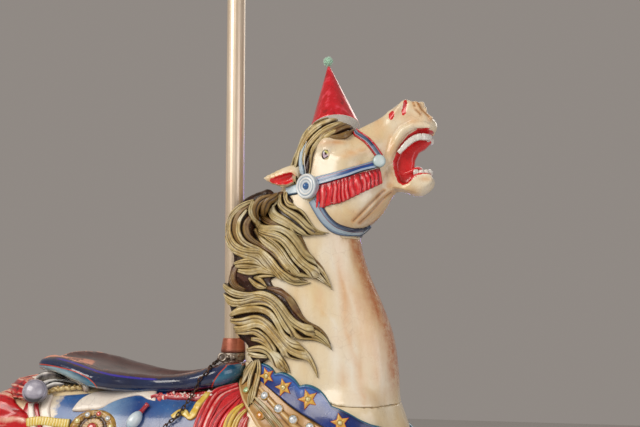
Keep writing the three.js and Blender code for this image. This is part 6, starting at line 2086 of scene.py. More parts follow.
def saddle_paint():
    m = Mat("saddle", coat=0.85, coat_rough=0.06)
    a, b = m.mask("parts"), m.mask("lines")
    seat = m.mix(m.ramp(m.noise(1, 4, 0.6, m.mapped((14, 40, 14))), [(0.3, 0.0), (0.72, 1.0)]), rgb("3A1C1E"), rgb("6E4640"))
    side_ = m.mix(m.ramp(m.noise(11, 4, 0.6), [(0.32, 0.0), (0.7, 1.0)]), rgb("171C3C"), rgb("20345E"))
    low = m.mix(a[2], side_, rgb("22568A"))
    teal = m.mix(m.ramp(m.noise(14, 4, 0.65), [(0.35, 0.0), (0.68, 1.0)]), rgb("0F4F73"), rgb("2A7FA0"))
    teal = m.mix(b[1], teal, rgb("A9C6D0"))
    c = m.mix(m.above(a[1], 0.5, 0.06), low, teal)
    c = m.mix(m.above(a[0], 0.5, 0.08), c, seat)
    wob = m.math("MULTIPLY", m.math("SUBTRACT", m.noise(90, 3, 0.6), 0.5), 0.5)
    c = m.mix(m.above(m.math("ADD", m.math("SUBTRACT", 1.0, m.math("MULTIPLY", m.math("ABSOLUTE", b[0]), 1.1)), m.math("MULTIPLY", wob, 0.4)), 0.4, 0.2), c, rgb("C8462E"))
    # painted reflection: a violet streak along the seat's near edge
    painted_purple_reflection = m.above(m.math("ADD", m.math("SUBTRACT", 1.0, m.math("MULTIPLY", m.math("ABSOLUTE", b[2]), 0.6)), m.math("MULTIPLY", wob, 0.4)), 0.45, 0.3)
    c = m.mix(m.math("MULTIPLY", painted_purple_reflection, m.mask("where")[0]), c, rgb("3C2CB0"))
    scuff = m.above(m.noise(1, 5, 0.8, m.mapped((80, 80, 300))), 0.645, 0.03)
    near_edge = m.math("MAXIMUM", m.math("SUBTRACT", 1.0, m.math("MULTIPLY", m.math("ABSOLUTE", b[2]), 0.6), True), m.math("MULTIPLY", a[1], 0.6))
    c = m.mix(m.math("MULTIPLY", scuff, m.math("ADD", m.math("MULTIPLY", near_edge, 0.6), 0.22), True), c, rgb("A9B2BE"))
    return enamel(m, c, dirt_and_shade=rgb("140E10"), crackle=0.4, rough=(0.1, 0.32), strokes=(20, 50, 50)).m


su, sv_ = seen_at(sv[0] * np.array([1, 0, 1]) - np.abs(sv[0]) * np.array([0, 1, 0]))
yabs = np.abs(sv[0][:, 1])
above_edge = polygon([(20, 200)] + SEAT_EDGE + [(300, 355), (300, 200)])
d_edge = above_edge(su, sv_)
hw = np.interp(sv[0][:, 0], [r[0] for r in SADDLE], [r[4] for r in SADDLE])
up_n = saddle.slope(sv[0])[:, 2]
inner = (yabs < hw - 13) & (up_n > 0.25)
parts = np.zeros((len(su), 3))
parts[:, 0] = smooth(0.5, -0.5, d_edge) * (up_n > 0.05)
parts[:, 0] = np.maximum(parts[:, 0], inner * 1.0)
rear = polygon([(0, 364.2)] + REAR_LINE + [(99.5, 430), (0, 430)])(su, sv_)
front = polygon(FRONT_LINE[::-1] + [(300, 355), (300, 430), (211.5, 430)])(su, sv_)
parts[:, 1] = np.maximum(smooth(0.3, -0.3, rear), smooth(0.3, -0.3, front) * (sv[0][:, 0] > -60))
parts[:, 2] = smooth(388, 394, sv_)
lines = np.zeros((len(su), 3))
lines[:, 0] = np.clip(np.minimum(rear, np.where(sv[0][:, 0] > -60, front, 9)), -4, 4) + 4 * (parts[:, 0] > 0.5)
lines[:, 1] = smooth(0.5, 5, -rear) * smooth(100, 55, su) + 0.7 * smooth(80, 45, su) * (rear < 0)
from_u, to_u = min(SEAT_EDGE[2][0], SEAT_EDGE[9][0]), max(SEAT_EDGE[2][0], SEAT_EDGE[9][0])
# distance from the seat's edge, along which the painted purple reflection runs
lines[:, 2] = np.clip(d_edge - 1.0, -4, 4)
where = np.zeros((len(su), 3))
# where along the seat's side the painted purple reflection shows
where[:, 0] = smooth(from_u, from_u + 5, su) * smooth(to_u, to_u - 5, su) * smooth(hw - 46, hw - 30, yabs)
lines[:, 1] = np.clip(lines[:, 1], 0, 0.9)
print("saddle", len(sv[1]) * 2 + len(sv[2]))
put("saddle_carving", sv, saddle_paint(), replaces=("saddle",), masks={"parts": parts, "lines": lines, "where": where})

# ---------------------------------------------------------------- trappings
def s1(x, y):
    return x / 12.06, 340 + y / 12.06


def s2(x, y):
    return 125 + x / 12.06, 340 + y / 12.06


def s3(x, y):
    return 236 + x / 9.224, 350 + y / 9.224


def panel3(carrier, top, low, n, m, height, sunk=3.0):
    """A plate between two lines of points, snapped to the surface."""
    n, m = max(4, int(n / ROUGH)), max(3, int(m / ROUGH))
    a, b = even(top, n), even(low, n)
    t = np.linspace(0, 1, m)
    g = a[:, None] * (1 - t)[None, :, None] + b[:, None] * t[None, :, None]
    base, nn = carrier.onto(g.reshape(-1, 3), 0.0, 8)
    S, T = np.meshgrid(np.linspace(0, 1, n), t, indexing="ij")
    h = height(S, T).reshape(-1)
    up = (base + nn * h[:, None]).reshape(n, m, 3)
    dn = (base - nn * sunk).reshape(n, m, 3)
    return slab(up, dn), np.r_[S.ravel(), S.ravel()], np.r_[T.ravel(), T.ravel()]


def soft_ends(S, T, ps=30, pt=16):
    return np.sqrt(np.clip(1 - np.abs(2 * S - 1) ** ps, 0, 1)) * np.sqrt(np.clip(1 - np.abs(2 * T - 1) ** pt, 0, 1))


def side_paint(name, stops, coat=0.45, crack=0.5, strokes=(50, 50, 20)):
    """Colours along the strip's first number, darkened by its third."""
    m = Mat(name, coat=coat, coat_rough=0.16)
    a = m.mask("strip")
    wob = m.math("MULTIPLY", m.math("SUBTRACT", m.noise(30, 4, 0.65), 0.5), 0.10)
    c = m.ramp(m.math("ADD", a[0], wob), stops)
    return enamel(m, c, cav=a[2], dirt_and_shade=rgb("2A1A10"), crackle=crack, strokes=strokes).m


# the cloth under everything: red folds in front, blue in the middle, cream and yellow bands behind
CLOTH_TOP = [(-444, 876), (-400, 884), (-300, 892), (-200, 896), (-100, 896), (-20, 904), (30, 912), (60, 914)]
CLOTH_LOW = [(-446, 832), (-440, 790), (-380, 748), (-260, 722), (-160, 708), (-60, 716), (16, 746), (80, 812)]


def cloth_height(S, T):
    fold = 1.6 * np.sin(2 * np.pi * (S * 9 + 0.4 * np.sin(3 * T + 2 * S))) * smooth(0.25, 1.0, T)
    hem = 1.6 * smooth(0.93, 0.965, T)
    return (5.0 + fold * smooth(0.0, 0.2, np.minimum(S, 1 - S)) + hem) * (0.2 + 0.8 * soft_ends(S, T, 40, 40))


CLOTH = side_paint(
    "cloth",
    [(0.0, rgb("B8232B")), (0.04, rgb("C62831")), (0.05, rgb("E7DDCB")), (0.16, rgb("E0D2BA")), (0.18, rgb("2E5FA0")), (0.62, rgb("2A5596")), (0.66, rgb("C01F28")), (0.9, rgb("D8262E")), (1.0, rgb("B51C24"))],
)
for nm, f, sg in (("right", lambda q: q, -1), ("left", flip, 1)):
    m, S, T = panel(hide, CLOTH_TOP, CLOTH_LOW, 170, 44, cloth_height, sunk=2, xz=True)
    cav = 0.55 * smooth(0.955, 0.93, T) * smooth(0.90, 0.93, T)
    put("saddle_cloth_panel_" + nm, f(m), CLOTH, replaces=("saddle_cloth_" + nm,), masks={"strip": np.stack([S, T, cav], 1)})

# the blue panel hanging from the saddle's middle
FLAP_TOP = [(-288, 893), (-220, 888), (-150, 886), (-80, 888), (-30, 896)]
FLAP_LOW = [(-286, 812), (-262, 786), (-205, 768), (-125, 762), (-55, 774), (-18, 812)]


def flap_height(S, T):
    cushion = 1.6 * np.sin(np.pi * S) * np.sin(np.pi * np.clip(T, 0, 1))
    rim = 1.3 * (np.exp(-(((T - 0.93) / 0.02) ** 2)) + np.exp(-(((S - 0.03) / 0.012) ** 2)) + np.exp(-(((S - 0.97) / 0.012) ** 2)))
    return (8.6 + cushion + rim) * (0.4 + 0.6 * soft_ends(S, T, 40, 30))


def flap_paint():
    m = Mat("flap", coat=0.6, coat_rough=0.12)
    a = m.mask("strip")
    n = m.noise(12, 4, 0.6)
    blue = m.mix(m.ramp(n, [(0.35, 0.0), (0.7, 1.0)]), rgb("1A458C"), rgb("3068AA"))
    grey = m.mix(m.ramp(n, [(0.35, 0.0), (0.7, 1.0)]), rgb("4C5A82"), rgb("6C769C"))
    pale = m.mix(m.ramp(n, [(0.3, 0.0), (0.7, 1.0)]), rgb("6C94C0"), rgb("94B2D2"))
    low = m.ramp(m.math("ADD", a[1], m.math("MULTIPLY", m.math("SUBTRACT", n, 0.5), 0.35)), [(0.30, 0.0), (0.55, 1.0)])
    c = m.mix(low, blue, grey)
    c = m.mix(m.ramp(m.math("ADD", a[0], m.math("MULTIPLY", m.math("SUBTRACT", n, 0.5), 0.3)), [(0.18, 1.0), (0.36, 0.0)]), c, pale)
    gold = m.mix(n, rgb("C9A24C"), rgb("E4C878"))
    rim = m.above(a[1], 0.905, 0.01)
    c = m.mix(rim, c, gold)
    return enamel(m, c, cav=a[2], dirt_and_shade=rgb("1E2436"), crackle=0.55, chips=rgb("D9CDB6"), wear=0.4).m


FLAP = flap_paint()
m, S, T = panel(hide, FLAP_TOP, FLAP_LOW, 130, 52, flap_height, sunk=1, xz=True)
for nm, f in (("right", lambda q: q), ("left", flip)):
    put("saddle_flap_panel_" + nm, f(m), FLAP, replaces=("saddle_flap_" + nm,), masks={"strip": np.stack([S, T, 0.6 * np.exp(-(((T - 0.895) / 0.012) ** 2))], 1)})

RED_CLOTH = plain_paint("red_cloth", rgb("F6DCD2"), rgb("DA1F27"), rgb("7E0C12"), streaks=(120, 120, 30))
RED_RUFFLE = plain_paint("red_ruffle", rgb("F4C9B0"), rgb("CC1A22"), rgb("6A0A10"), streaks=(70, 70, 30), wear=0.5)
YELLOW_CLOTH = plain_paint("yellow_cloth", rgb("F7EBA8"), rgb("E6C24A"), rgb("9A6A1C"), streaks=(100, 100, 30))
CREAM_CLOTH = plain_paint("cream_cloth", rgb("F3E9DC"), rgb("E6D3C2"), rgb("A88C86"), streaks=(30, 30, 30), chips=rgb("9C86A6"), wear=0.5)
GOLD_CARVED = plain_paint("gold_carved", rgb("EFDDA6"), rgb("BE9446"), rgb("4A2F14"), streaks=(90, 90, 40))
LEATHER = plain_paint("tan_leather", rgb("E3C48E"), rgb("BC8E50"), rgb("5A3818"), streaks=(60, 60, 26))
SILVER = plain_paint("silver_paint", rgb("E8E6F0"), rgb("A9A7B8"), rgb("33323C"), streaks=(40, 40, 40), coat=0.8)
PINK_WHITE = plain_paint("floral", rgb("F8E6DE"), rgb("E25A58"), rgb("A5161E"), streaks=(160, 160, 90))
DROP_BLUE = plain_paint("drop_blue", rgb("DCEAF2"), rgb("B2CBDD"), rgb("5E7E9A"), streaks=(30, 30, 30), coat=0.8)
CRIMSON = plain_paint("crimson", rgb("E56A6E"), rgb("B3222E"), rgb("5E0E16"), streaks=(60, 60, 60), coat=0.7)
TEAL_PAINT = plain_paint("teal_edge", rgb("5FA3B4"), rgb("24708C"), rgb("0E2F46"), streaks=(60, 60, 60))


def carved(name, pieces, paint, cavs=None, both=True, replaces=None):
    """Pieces joined into one, with its mirror image on the other side as a second one."""
    mesh = join(pieces)
    cav = np.concatenate(cavs) if cavs is not None else np.full(len(mesh[0]), 0.45)
    st = {"strip": np.stack([cav * 0, cav * 0, np.clip(cav, 0, 1)], 1)}
    put(name + "_right", mesh, paint, masks=st)
    if both:
        put(name + "_left", flip(mesh), paint, masks=st)


def fold(carrier, points, widths, px, seed, lift=4.0, thick=None, ridges=2, end=0.0):
    """A carved fold of cloth: ridges run along it, with painted highlights on their crests and painted shade between
    them.
    """
    uv = np.array([px(*c) for c in points])
    rows = np.column_stack([uv, np.array(widths, float)])
    fine = spline(rows, 12)
    s_ = np.r_[0, np.cumsum(np.linalg.norm(np.diff(fine[:, :2], axis=0), axis=1))]
    n = max(8, int(s_[-1] * 2.2 / (4.5 * ROUGH)))
    want = np.linspace(0, s_[-1], n)
    fine = np.stack([np.interp(want, s_, fine[:, c]) for c in range(3)], 1)
    path = cast(carrier, fine[:, :2])
    for _ in range(2):
        path[1:-1] = (path[:-2] + 2 * path[1:-1] + path[2:]) / 4
    wide = fine[:, 2].max()
    th = thick or wide * 0.32
    r = rng(seed)
    ph = r.uniform(0, 6)

    def wave(S, T):
        return np.abs(np.sin(np.pi * ridges * (S + 0.06 * np.sin(4 * T + ph) + 1) / 2)) ** 0.9

    def prof(S, T):
        e = np.sqrt(np.clip(1 - np.abs(S) ** 4, 0, 1))
        body = 0.45 + 0.55 * wave(S, T)
        open_ = 0.55 + 0.45 * smooth(0, 0.3, T)
        return th * e * body * open_ * (1 - end * smooth(0.9, 1.0, T)) - 0.5

    m, sa, da, per = ribbon(carrier, path, fine[:, 2], prof, across=8 * ridges + 3, sunk=3.0, lift=lift)
    T = da / max(da.max(), 1e-6)
    # painted shade in the dips, painted highlight on the crests
    w = wave(sa, T)
    cav = 0.86 - 0.48 * w
    cav = np.where(w > 0.90, 0.16 + 0.3 * r.uniform(0, 1), cav)
    return m, cav


_w = lambda *w: [x / 12.06 * 2.15 for x in w]
RED_FOLDS = [
    ([(1378, 560), (1250, 598), (1120, 648), (1035, 745), (975, 850), (925, 955), (885, 1065), (862, 1190), (850, 1330), (842, 1500), (845, 1640)], _w(60, 110, 130, 130, 125, 120, 118, 118, 120, 126, 130), 2),
    ([(1382, 610), (1290, 640), (1180, 700), (1100, 800), (1040, 910), (990, 1020), (958, 1130), (940, 1260), (930, 1420), (934, 1600)], _w(50, 70, 90, 100, 100, 98, 98, 98, 100, 106), 1),
    ([(1392, 690), (1300, 765), (1200, 850), (1120, 950), (1068, 1050), (1036, 1180), (1024, 1330), (1030, 1480), (1040, 1600)], _w(40, 70, 100, 110, 112, 112, 112, 116, 120), 2),
    ([(1400, 730), (1330, 820), (1255, 905), (1190, 1005), (1150, 1120), (1130, 1260), (1132, 1420), (1146, 1560)], _w(30, 60, 80, 92, 96, 98, 104, 110), 1),
    ([(1488, 930), (1440, 1010), (1405, 1110), (1385, 1230), (1384, 1360), (1400, 1480)], _w(20, 70, 86, 92, 96, 90), 2),
]
YELLOW_FOLDS = [
    ([(1440, 790), (1340, 870), (1275, 960), (1238, 1060), (1222, 1200), (1228, 1350), (1246, 1500)], _w(40, 90, 110, 116, 116, 118, 120), 2),
    ([(1470, 850), (1390, 930), (1335, 1030), (1308, 1150), (1304, 1290), (1318, 1440)], _w(30, 60, 76, 84, 88, 90), 2),
]
fs = [fold(hide, p_, w_, s2, 400 + i, lift=5.5, ridges=k) for i, (p_, w_, k) in enumerate(RED_FOLDS)]
carved("red_drapery", [m for m, _ in fs], RED_CLOTH, [c for _, c in fs])
fs = [fold(hide, p_, w_, s2, 420 + i, lift=5.5, ridges=k) for i, (p_, w_, k) in enumerate(YELLOW_FOLDS)]
carved("yellow_drapery", [m for m, _ in fs], YELLOW_CLOTH, [c for _, c in fs])
# the zigzag ribbon
path = cast(hide, even([s2(*c) for c in [(1030, 680), (975, 745), (905, 820), (862, 890), (826, 945), (790, 958), (752, 915), (700, 898), (650, 925), (585, 965)]], 60))
path = (path[np.r_[0, 0:59]] + path + path[np.r_[1:60, 59]]) / 3
m, sa, da, per = ribbon(hide, path, np.interp(np.linspace(0, 1, 60), [0, 0.5, 0.62, 0.7, 1], [15, 17, 10, 15, 13]), lambda S, T: (2.8 + 0.9 * np.cos(np.pi * S) ** 2 * 0.5 + 1.2 * np.abs(np.sin(5 * np.pi * T))) * np.sqrt(np.clip(1 - S**8, 0, 1)), across=13, sunk=2, lift=11.0)
carved("ribbon", [m], YELLOW_CLOTH, [0.25 + 0.5 * smooth(0.6, 1.0, np.abs(sa)) + 0.2 * np.abs(np.cos(da / da.max() * 5 * np.pi))])

# cream petal beside the blue panel, smooth and scuffed
m, S, T = panel(hide, [s1(*c) for c in [(880, 868), (940, 780), (1010, 716), (1130, 662), (1260, 640), (1420, 622), (1568, 612), (1768, 612), (1890, 630), (1900, 660)]],
                [s1(*c) for c in [(884, 874), (980, 880), (1090, 872), (1230, 860), (1340, 800), (1450, 755), (1568, 724), (1690, 706), (1790, 756), (1895, 782)]],
                110, 26, lambda S, T: (10.5 + 2.5 * np.sin(np.pi * T)) * (0.3 + 0.7 * soft_ends(S, T, 30, 10)), sunk=1)
cav = 0.12 + 0.35 * smooth(0.55, 0.95, S) * smooth(0.75, 0.1, T) + 0.5 * smooth(0.93, 1, T) + 0.35 * np.exp(-(((S - 0.9) / 0.05) ** 2)) * smooth(0.6, 0.2, T)
carved("cream_petal", [m], CREAM_CLOTH, [cav])

# floral border and its red and white edge
r = rng(9)
lumps, lc = [], []
fpath = even([s2(*c) for c in [(400, 690), (500, 680), (600, 672), (700, 672), (790, 690), (880, 690), (960, 668), (1040, 640)]], 26)
for i, (u, v) in enumerate(fpath):
    for k in range(3):
        q = cast(hide, [(u + r.uniform(-1.6, 1.6), v + r.uniform(-2.6, 2.4))], off=10.0)[0]
        n_ = hide.slope(q[None])[0]
        a_ = r.uniform(0, 3.14)
        mesh = block(q, (r.uniform(4, 7), r.uniform(2.6, 3.6), r.uniform(2.4, 3.6)), (math.cos(a_), 0, math.sin(a_)), -n_, e=2.2, rings=7, around=12)
        lumps.append(mesh)
        lc.append(np.full(len(mesh[0]), r.choice([0.02, 0.12, 0.5, 0.5, 0.8])))
carved("floral_border", lumps, PINK_WHITE, lc)
path = cast(hide, even([s2(*c) for c in [(325, 738), (400, 722), (520, 732), (640, 742), (760, 742), (880, 756), (960, 735)]], 60))
m, sa, da, per = ribbon(hide, path, 8.5, lambda S, T: (3.4 + 0.8 * np.cos(2.5 * np.pi * S)) * np.sqrt(np.clip(1 - S**8, 0, 1)), across=13, sunk=2, lift=10.0)
carved("flap_edging", [m], CRIMSON, [np.where(sa < -0.1, 0.0, 0.55)])

# drop tassel on its red stem
base = cast(hide, [s2(275, 772), s2(180, 882), s2(118, 962)], off=15.0)
stem = tube(even(base[:2], 12), np.interp(np.linspace(0, 1, 12), [0, 0.1, 0.2, 0.8, 0.9, 1], [5.2, 5.9, 4.8, 4.8, 6.0, 5.4]), 18)
carved("tassel_stem", [stem], CRIMSON, [np.full(len(stem[0]), 0.45)])
axis_ = unit(base[2] - base[1])
drop, rr_, hh_ = lathe_at([(1.5, -22), (5.5, -20), (9.5, -15), (12.6, -8), (14.0, 0), (13.2, 8), (10.6, 15), (6.6, 20), (2.0, 23)], base[2] + np.array([0, -1.5, 0]), axis_, 40)
carved("drop_tassel", [drop], DROP_BLUE, [0.15 + 0.5 * smooth(10, 23, np.abs(hh_))])

# jewels
def stone(c, n_, r0, high=0.5, facets=10):
    """A cut stone: a faceted dome."""
    rings = [(r0, 0.0), (r0 * 0.98, r0 * high * 0.35), (r0 * 0.66, r0 * high * 0.85), (r0 * 0.34, r0 * high), (0.05, r0 * high * 1.02)]
    m, _, _ = lathe_at([(r0 * 0.6, -2.0)] + rings, c, n_, facets)
    return m


def bezel(c, n_, r0, w=1.6, h=1.8):
    m, rr, hh = lathe_at([(r0 - 0.4, -2.5), (r0 + w * 1.1, -2.5), (r0 + w, h * 0.4), (r0 + w * 0.6, h), (r0, h * 0.9), (r0 - 0.4, h * 0.2)], c, n_, 36)
    return m


def gem(name, light, deep):
    m = Mat(name, rough=0.05, coat=1.0, coat_rough=0.02, spec=0.9)
    n = m.noise(160, 2, 0.6)
    m.colour(m.mix(m.ramp(n, [(0.35, 0.0), (0.65, 1.0)], "LINEAR"), light, deep))
    m.rough(m.ramp(m.noise(220, 2, 0.5), [(0.3, 0.03), (0.8, 0.12)]))
    m.bump(m.cells(180), 0.12, 0.0006)
    return m.m


GEMS = {
    "clear": gem("gem_clear", rgb("F0F2F2"), rgb("9AA6AC")),
    "green": gem("gem_green", rgb("DDF0C8"), rgb("7FB36A")),
    "amber": gem("gem_amber", rgb("F2B040"), rgb("B86A18")),
    "yellow": gem("gem_yellow", rgb("F4EDB4"), rgb("C2B04E")),
    "red": gem("gem_red", rgb("EE6A62"), rgb("A8222A")),
}


def set_stones(name, places, both=True):
    """places: (centre, normal, radius, kind)."""
    rims, stones, kinds = [], [], []
    names = list(GEMS)
    for c, n_, r0, kind in places:
        rims.append(bezel(c, n_, r0))
        stones.append(stone(c, n_, r0))
        kinds.append(1 + names.index(kind))
    parts_ = rims + stones
    mesh = join(parts_)
    idx = slots_of(parts_, [0] * len(rims) + kinds)
    st = {"strip": np.stack([np.zeros(len(mesh[0]))] * 2 + [np.full(len(mesh[0]), 0.4)], 1)}
    mats = [GOLD_CARVED] + [GEMS[k] for k in names]
    put(name + "_right", mesh, mats, masks=st, index=idx, crisp=28)
    if both:
        put(name + "_left", flip(mesh), mats, masks=st, index=idx, crisp=28)


# the oval of stones on the flank
oc = cast(hide, [s1(1140, 1075)])[0]
on = hide.slope(oc[None])[0]
rows_t = [(oc[0] + 56 * math.cos(t), oc[2] + 36 * math.sin(t)) for t in np.linspace(math.pi, 0, 60)]
rows_b = [(oc[0] + 56 * math.cos(t), oc[2] - 36 * math.sin(t)) for t in np.linspace(math.pi, 0, 60)]


def oval_height(S, T):
    x_ = -np.cos(np.pi * S)
    rr = np.sqrt(np.clip(x_**2 + ((2 * T - 1) ** 2) * (1 - x_**2), 0, 1))
    leaf = 0.8 * np.abs(np.sin(9 * np.arctan2((1 - 2 * T), x_ + 1e-6)))
    return (12.5 + 2.4 * np.exp(-(((rr - 0.86) / 0.10) ** 2)) - 1.6 * np.exp(-(((rr - 0.58) / 0.06) ** 2)) + leaf * smooth(0.55, 0.2, np.abs(rr - 0.7))) * (0.25 + 0.75 * np.sqrt(np.clip(1 - rr**14, 0, 1)))


m, S, T = panel(hide, rows_t, rows_b, 90, 46, oval_height, sunk=0, xz=True)
x_ = -np.cos(np.pi * S)
rr = np.sqrt(np.clip(x_**2 + ((2 * T - 1) ** 2) * (1 - x_**2), 0, 1))
carved("jewelled_oval", [m], GOLD_CARVED, [0.35 + 0.6 * np.exp(-(((rr - 0.58) / 0.09) ** 2)) + 0.3 * np.abs(np.sin(9 * np.arctan2((1 - 2 * T), x_ + 1e-6)))])
places = []
for i, kind in enumerate(("yellow", "clear", "red", "clear", "yellow", "red", "clear", "yellow", "clear", "red")):
    t = math.radians(150 - i * 36)
    q = hide.down(np.array([[oc[0] + 42 * math.cos(t), 0, oc[2] + 26 * math.sin(t)]]))
    q, n_ = hide.onto(q, 13.5, 3)
    places.append((q[0], n_[0], 5.6, kind))
q, n_ = hide.onto(oc[None], 14.0, 3)
places.append((q[0], n_[0], 10.5, "red"))
set_stones("oval_stones", places)

# rear of the saddle: cream trim, carved gold strip, bands
path = cast(hide, even([s1(*c) for c in [(330, 455), (420, 415), (520, 398), (620, 404), (740, 440), (850, 505), (960, 560), (1060, 620)]], 50))
m, sa, da, per = ribbon(hide, path, 11, lambda S, T: 9.5 * np.sqrt(np.clip(1 - np.abs(S) ** 3, 0, 1)), across=11, sunk=2, lift=4.0)
carved("cream_trim", [m], CREAM_CLOTH, [0.15 + 0.6 * smooth(0.6, 1, np.abs(sa))])
gl = []
for i, (u, v) in enumerate(even([s1(*c) for c in [(560, 640), (650, 600), (740, 585), (840, 580), (950, 575)]], 7)):
    q = cast(hide, [(u, v)], off=8.0)[0]
    n_ = hide.slope(q[None])[0]
    gl.append(block(q, (9.0, 4.5, 5.0), (1, 0, 0.25 if i % 2 else -0.3), -n_, e=2.2, rings=9, around=16))
    gl.append(block(q + n_ * 2.0 + np.array([3, 0, 2]), (4.5, 3.4, 2.6), (1, 0, 0.8), -n_, e=2.2, rings=7, around=12))
carved("gold_strip", gl, GOLD_CARVED, [0.25 + 0.45 * (np.arange(len(g_[0])) % 16 > 7) for g_ in gl])
for nm_, pts_, w_, mat_, c0_ in (
    ("white_band", [(395, 745), (392, 830), (398, 930), (420, 1060), (460, 1200)], 15, CREAM_CLOTH, 0.05),
    ("red_stripe", [(462, 725), (456, 820), (474, 930), (500, 1060), (540, 1200)], 10, CRIMSON, 0.4),
    ("cream_band", [(600, 690), (565, 800), (560, 900), (585, 1010), (625, 1140)], 24, CREAM_CLOTH, 0.2),
):
    path = cast(hide, even([s1(*c) for c in pts_], 40))
    m, sa, da, per = ribbon(hide, path, w_, lambda S, T: 6.5 * np.sqrt(np.clip(1 - np.abs(S) ** 6, 0, 1)), across=11, sunk=2, lift=3.5)
    carved(nm_, [m], mat_, [c0_ + 0.5 * smooth(0.8, 1, np.abs(sa))])
yb = even([s1(*c) for c in [(352, 1000), (450, 985), (560, 985), (660, 1000), (760, 1010), (850, 1015)]], 50)
m, sa, da, per = ribbon(hide, cast(hide, yb), 20, lambda S, T: (8.5 + 1.4 * np.sin(30 * np.pi * T) * (np.abs(S) < 0.6)) * np.sqrt(np.clip(1 - np.abs(S) ** 6, 0, 1)), across=13, sunk=2, lift=4.5)
carved("yellow_band", [m], YELLOW_CLOTH, [0.3 + 0.25 * np.sin(30 * np.pi * da / da.max()) + 0.4 * smooth(0.8, 1, np.abs(sa))])

# ---------------------------------------------------------------- rolled blanket
ROLL = [[-418, -142, 898, 20], [-440, -132, 900, 23], [-468, -104, 899, 25], [-489, -54, 897, 26], [-495, 0, 896, 26]]
full = ROLL + [[x, -y, z, r_] for x, y, z, r_ in ROLL[-2::-1]]
line = even(spline(np.array(full, float), 8), 160)
tl = unit(np.gradient(line[:, :3], axis=0))
fore = unit(np.cross(tl, np.array([0.0, 0.0, 1.0])))
upv = unit(np.cross(fore, tl))
K = 72
a = np.arange(K) / K * 2 * np.pi
dist = np.r_[0, np.cumsum(np.linalg.norm(np.diff(line[:, :3], axis=0), axis=1))]
rings, rc = [], []
for i in range(len(line)):
    u_ = dist[i]
    end = min(u_, dist[-1] - u_)
    # gathers run along the roll and fan out from its tied ends
    ruff = np.sin(8 * a + 0.9 * np.sin(u_ / 26) + 1.4 * np.sin(2 * a)) + 0.5 * np.sin(15 * a + 1.2 * np.sin(u_ / 17))
    amp = 2.4 * smooth(0, 18, end)
    r_ = line[i, 3] - 2.6 + amp * ruff / 1.5
    if end < 12:
        r_ = r_ * (0.25 + 0.75 * math.sqrt(max(1 - ((12 - end) / 12) ** 2, 0.0)))
    rings.append(line[i, :3] + np.outer(np.cos(a) * r_, fore[i]) + np.outer(np.sin(a) * r_, upv[i]))
    # painted highlight on the gathers' crests and painted shade in the dips, with a darker ring near each tied end
    rc.append(np.clip(0.52 - 0.42 * ruff / 1.5 + 0.3 * np.exp(-((end - 26) / 4) ** 2), 0, 1))
rm = rings_mesh(rings)
cav = np.r_[np.concatenate(rc), 0.5, 0.5]
put("blanket_roll_gathers", rm, RED_RUFFLE, replaces=("blanket_roll",), masks={"strip": np.stack([cav * 0, cav * 0, cav], 1)})
# a silver ball at both ends, a little flattened, with a carved groove round it
cap_c, cap_n = np.array([-412.0, -143.0, 899.0]), unit(np.array([0.35, -0.85, 0.30]))
prof = [(2, -17), (15, -15), (18.6, -11), (20.4, -4), (20.4, 2), (19.0, 7), (17.8, 9.2), (16.9, 9.4), (15.4, 10.8), (12.0, 13.6), (8.0, 15.6), (4.0, 16.6), (0.8, 17)]
prof = [(r_ * 1.34, h_ * 1.15) for r_, h_ in prof]
cm, cr_, ch_ = lathe_at(prof, cap_c, cap_n, 56)
# painted shade: darker in the carved groove, at the back where it meets the roll, and over the lower part of the ball
ccav = np.where(ch_ > 10.7, 0.3 + 0.4 * smooth(17.4, 23.4, cr_), 0.4 + 0.4 * (ch_ < -9)) + 0.5 * smooth(898, 878, cm[0][:, 2])
carved("roll_cap", [cm], SILVER, [np.clip(ccav, 0, 1)])

# the red cloth over the croup behind the roll, gathered into ridges that run back from the tied ends
def march(c, d, start=300.0):
    r_ = np.full(len(c), start)
    for _ in range(40):
        r_ = r_ - np.clip(hide.at(c + d * r_[:, None]), -6, 40) * 0.85
    return c + d * r_[:, None]


nt, ns = int(150 / ROUGH), int(34 / ROUGH)
th_ = np.radians(np.linspace(-91, 91, nt))
tt_ = np.linspace(0, 1, ns)
TH, SS = np.meshgrid(th_, tt_, indexing="ij")
deg = np.degrees(np.abs(TH))
front_x = np.interp(deg, [0, 30, 44, 52, 60, 75, 91], [-512, -502, -464, -430, -416, -411, -409]) + 3.0 * np.sin(deg / 4.0)
rear_x = np.interp(deg, [0, 40, 91], [-632, -626, -598]) + 3.0 * np.sin(deg / 5.0 + 1)
cx = front_x * (1 - SS) + rear_x * SS
c_ = np.stack([cx.ravel(), np.zeros(cx.size), np.full(cx.size, 740.0)], 1)
d_ = np.stack([np.zeros(cx.size), np.sin(TH).ravel(), np.cos(TH).ravel()], 1)
base = march(c_, d_)
nn = hide.slope(base)
fan = deg + 9.0 * (SS - 0.3) * smooth(10, 60, deg) + 2.6 * np.sin(deg / 7.0 + 5 * SS)
ridge_ = np.abs(np.sin(np.pi * fan / 8.6)) ** 0.8 * (0.65 + 0.35 * np.sin(fan / 5.3 + 1.7)) + 0.35 * np.abs(np.sin(np.pi * fan / 3.9 + 2 * SS))
edge_ = np.sqrt(np.clip(1 - np.abs(2 * SS - 1) ** 16, 0, 1)) * np.sqrt(np.clip(1 - (deg / 91.01) ** 60, 0, 1))
h_ = (3.4 + 5.2 * ridge_) * (0.15 + 0.85 * edge_) + 7.5 * smooth(0.34, 0.12, SS) * smooth(40, 60, deg)
up_ = (base + nn * h_.reshape(-1, 1)).reshape(nt, ns, 3)
dn_ = (base - nn * 2.0).reshape(nt, ns, 3)
dm = slab(up_, dn_)
# painted highlight on the ridges and painted shade between them
cv = np.clip(0.88 - 0.75 * ridge_, 0, 1).ravel()
put("croup_drape", dm, RED_RUFFLE, masks={"strip": np.stack([np.r_[cv, cv] * 0, np.r_[cv, cv] * 0, np.r_[cv, cv]], 1)})
print("drape box", dm[0].min(0).round(0), dm[0].max(0).round(0))

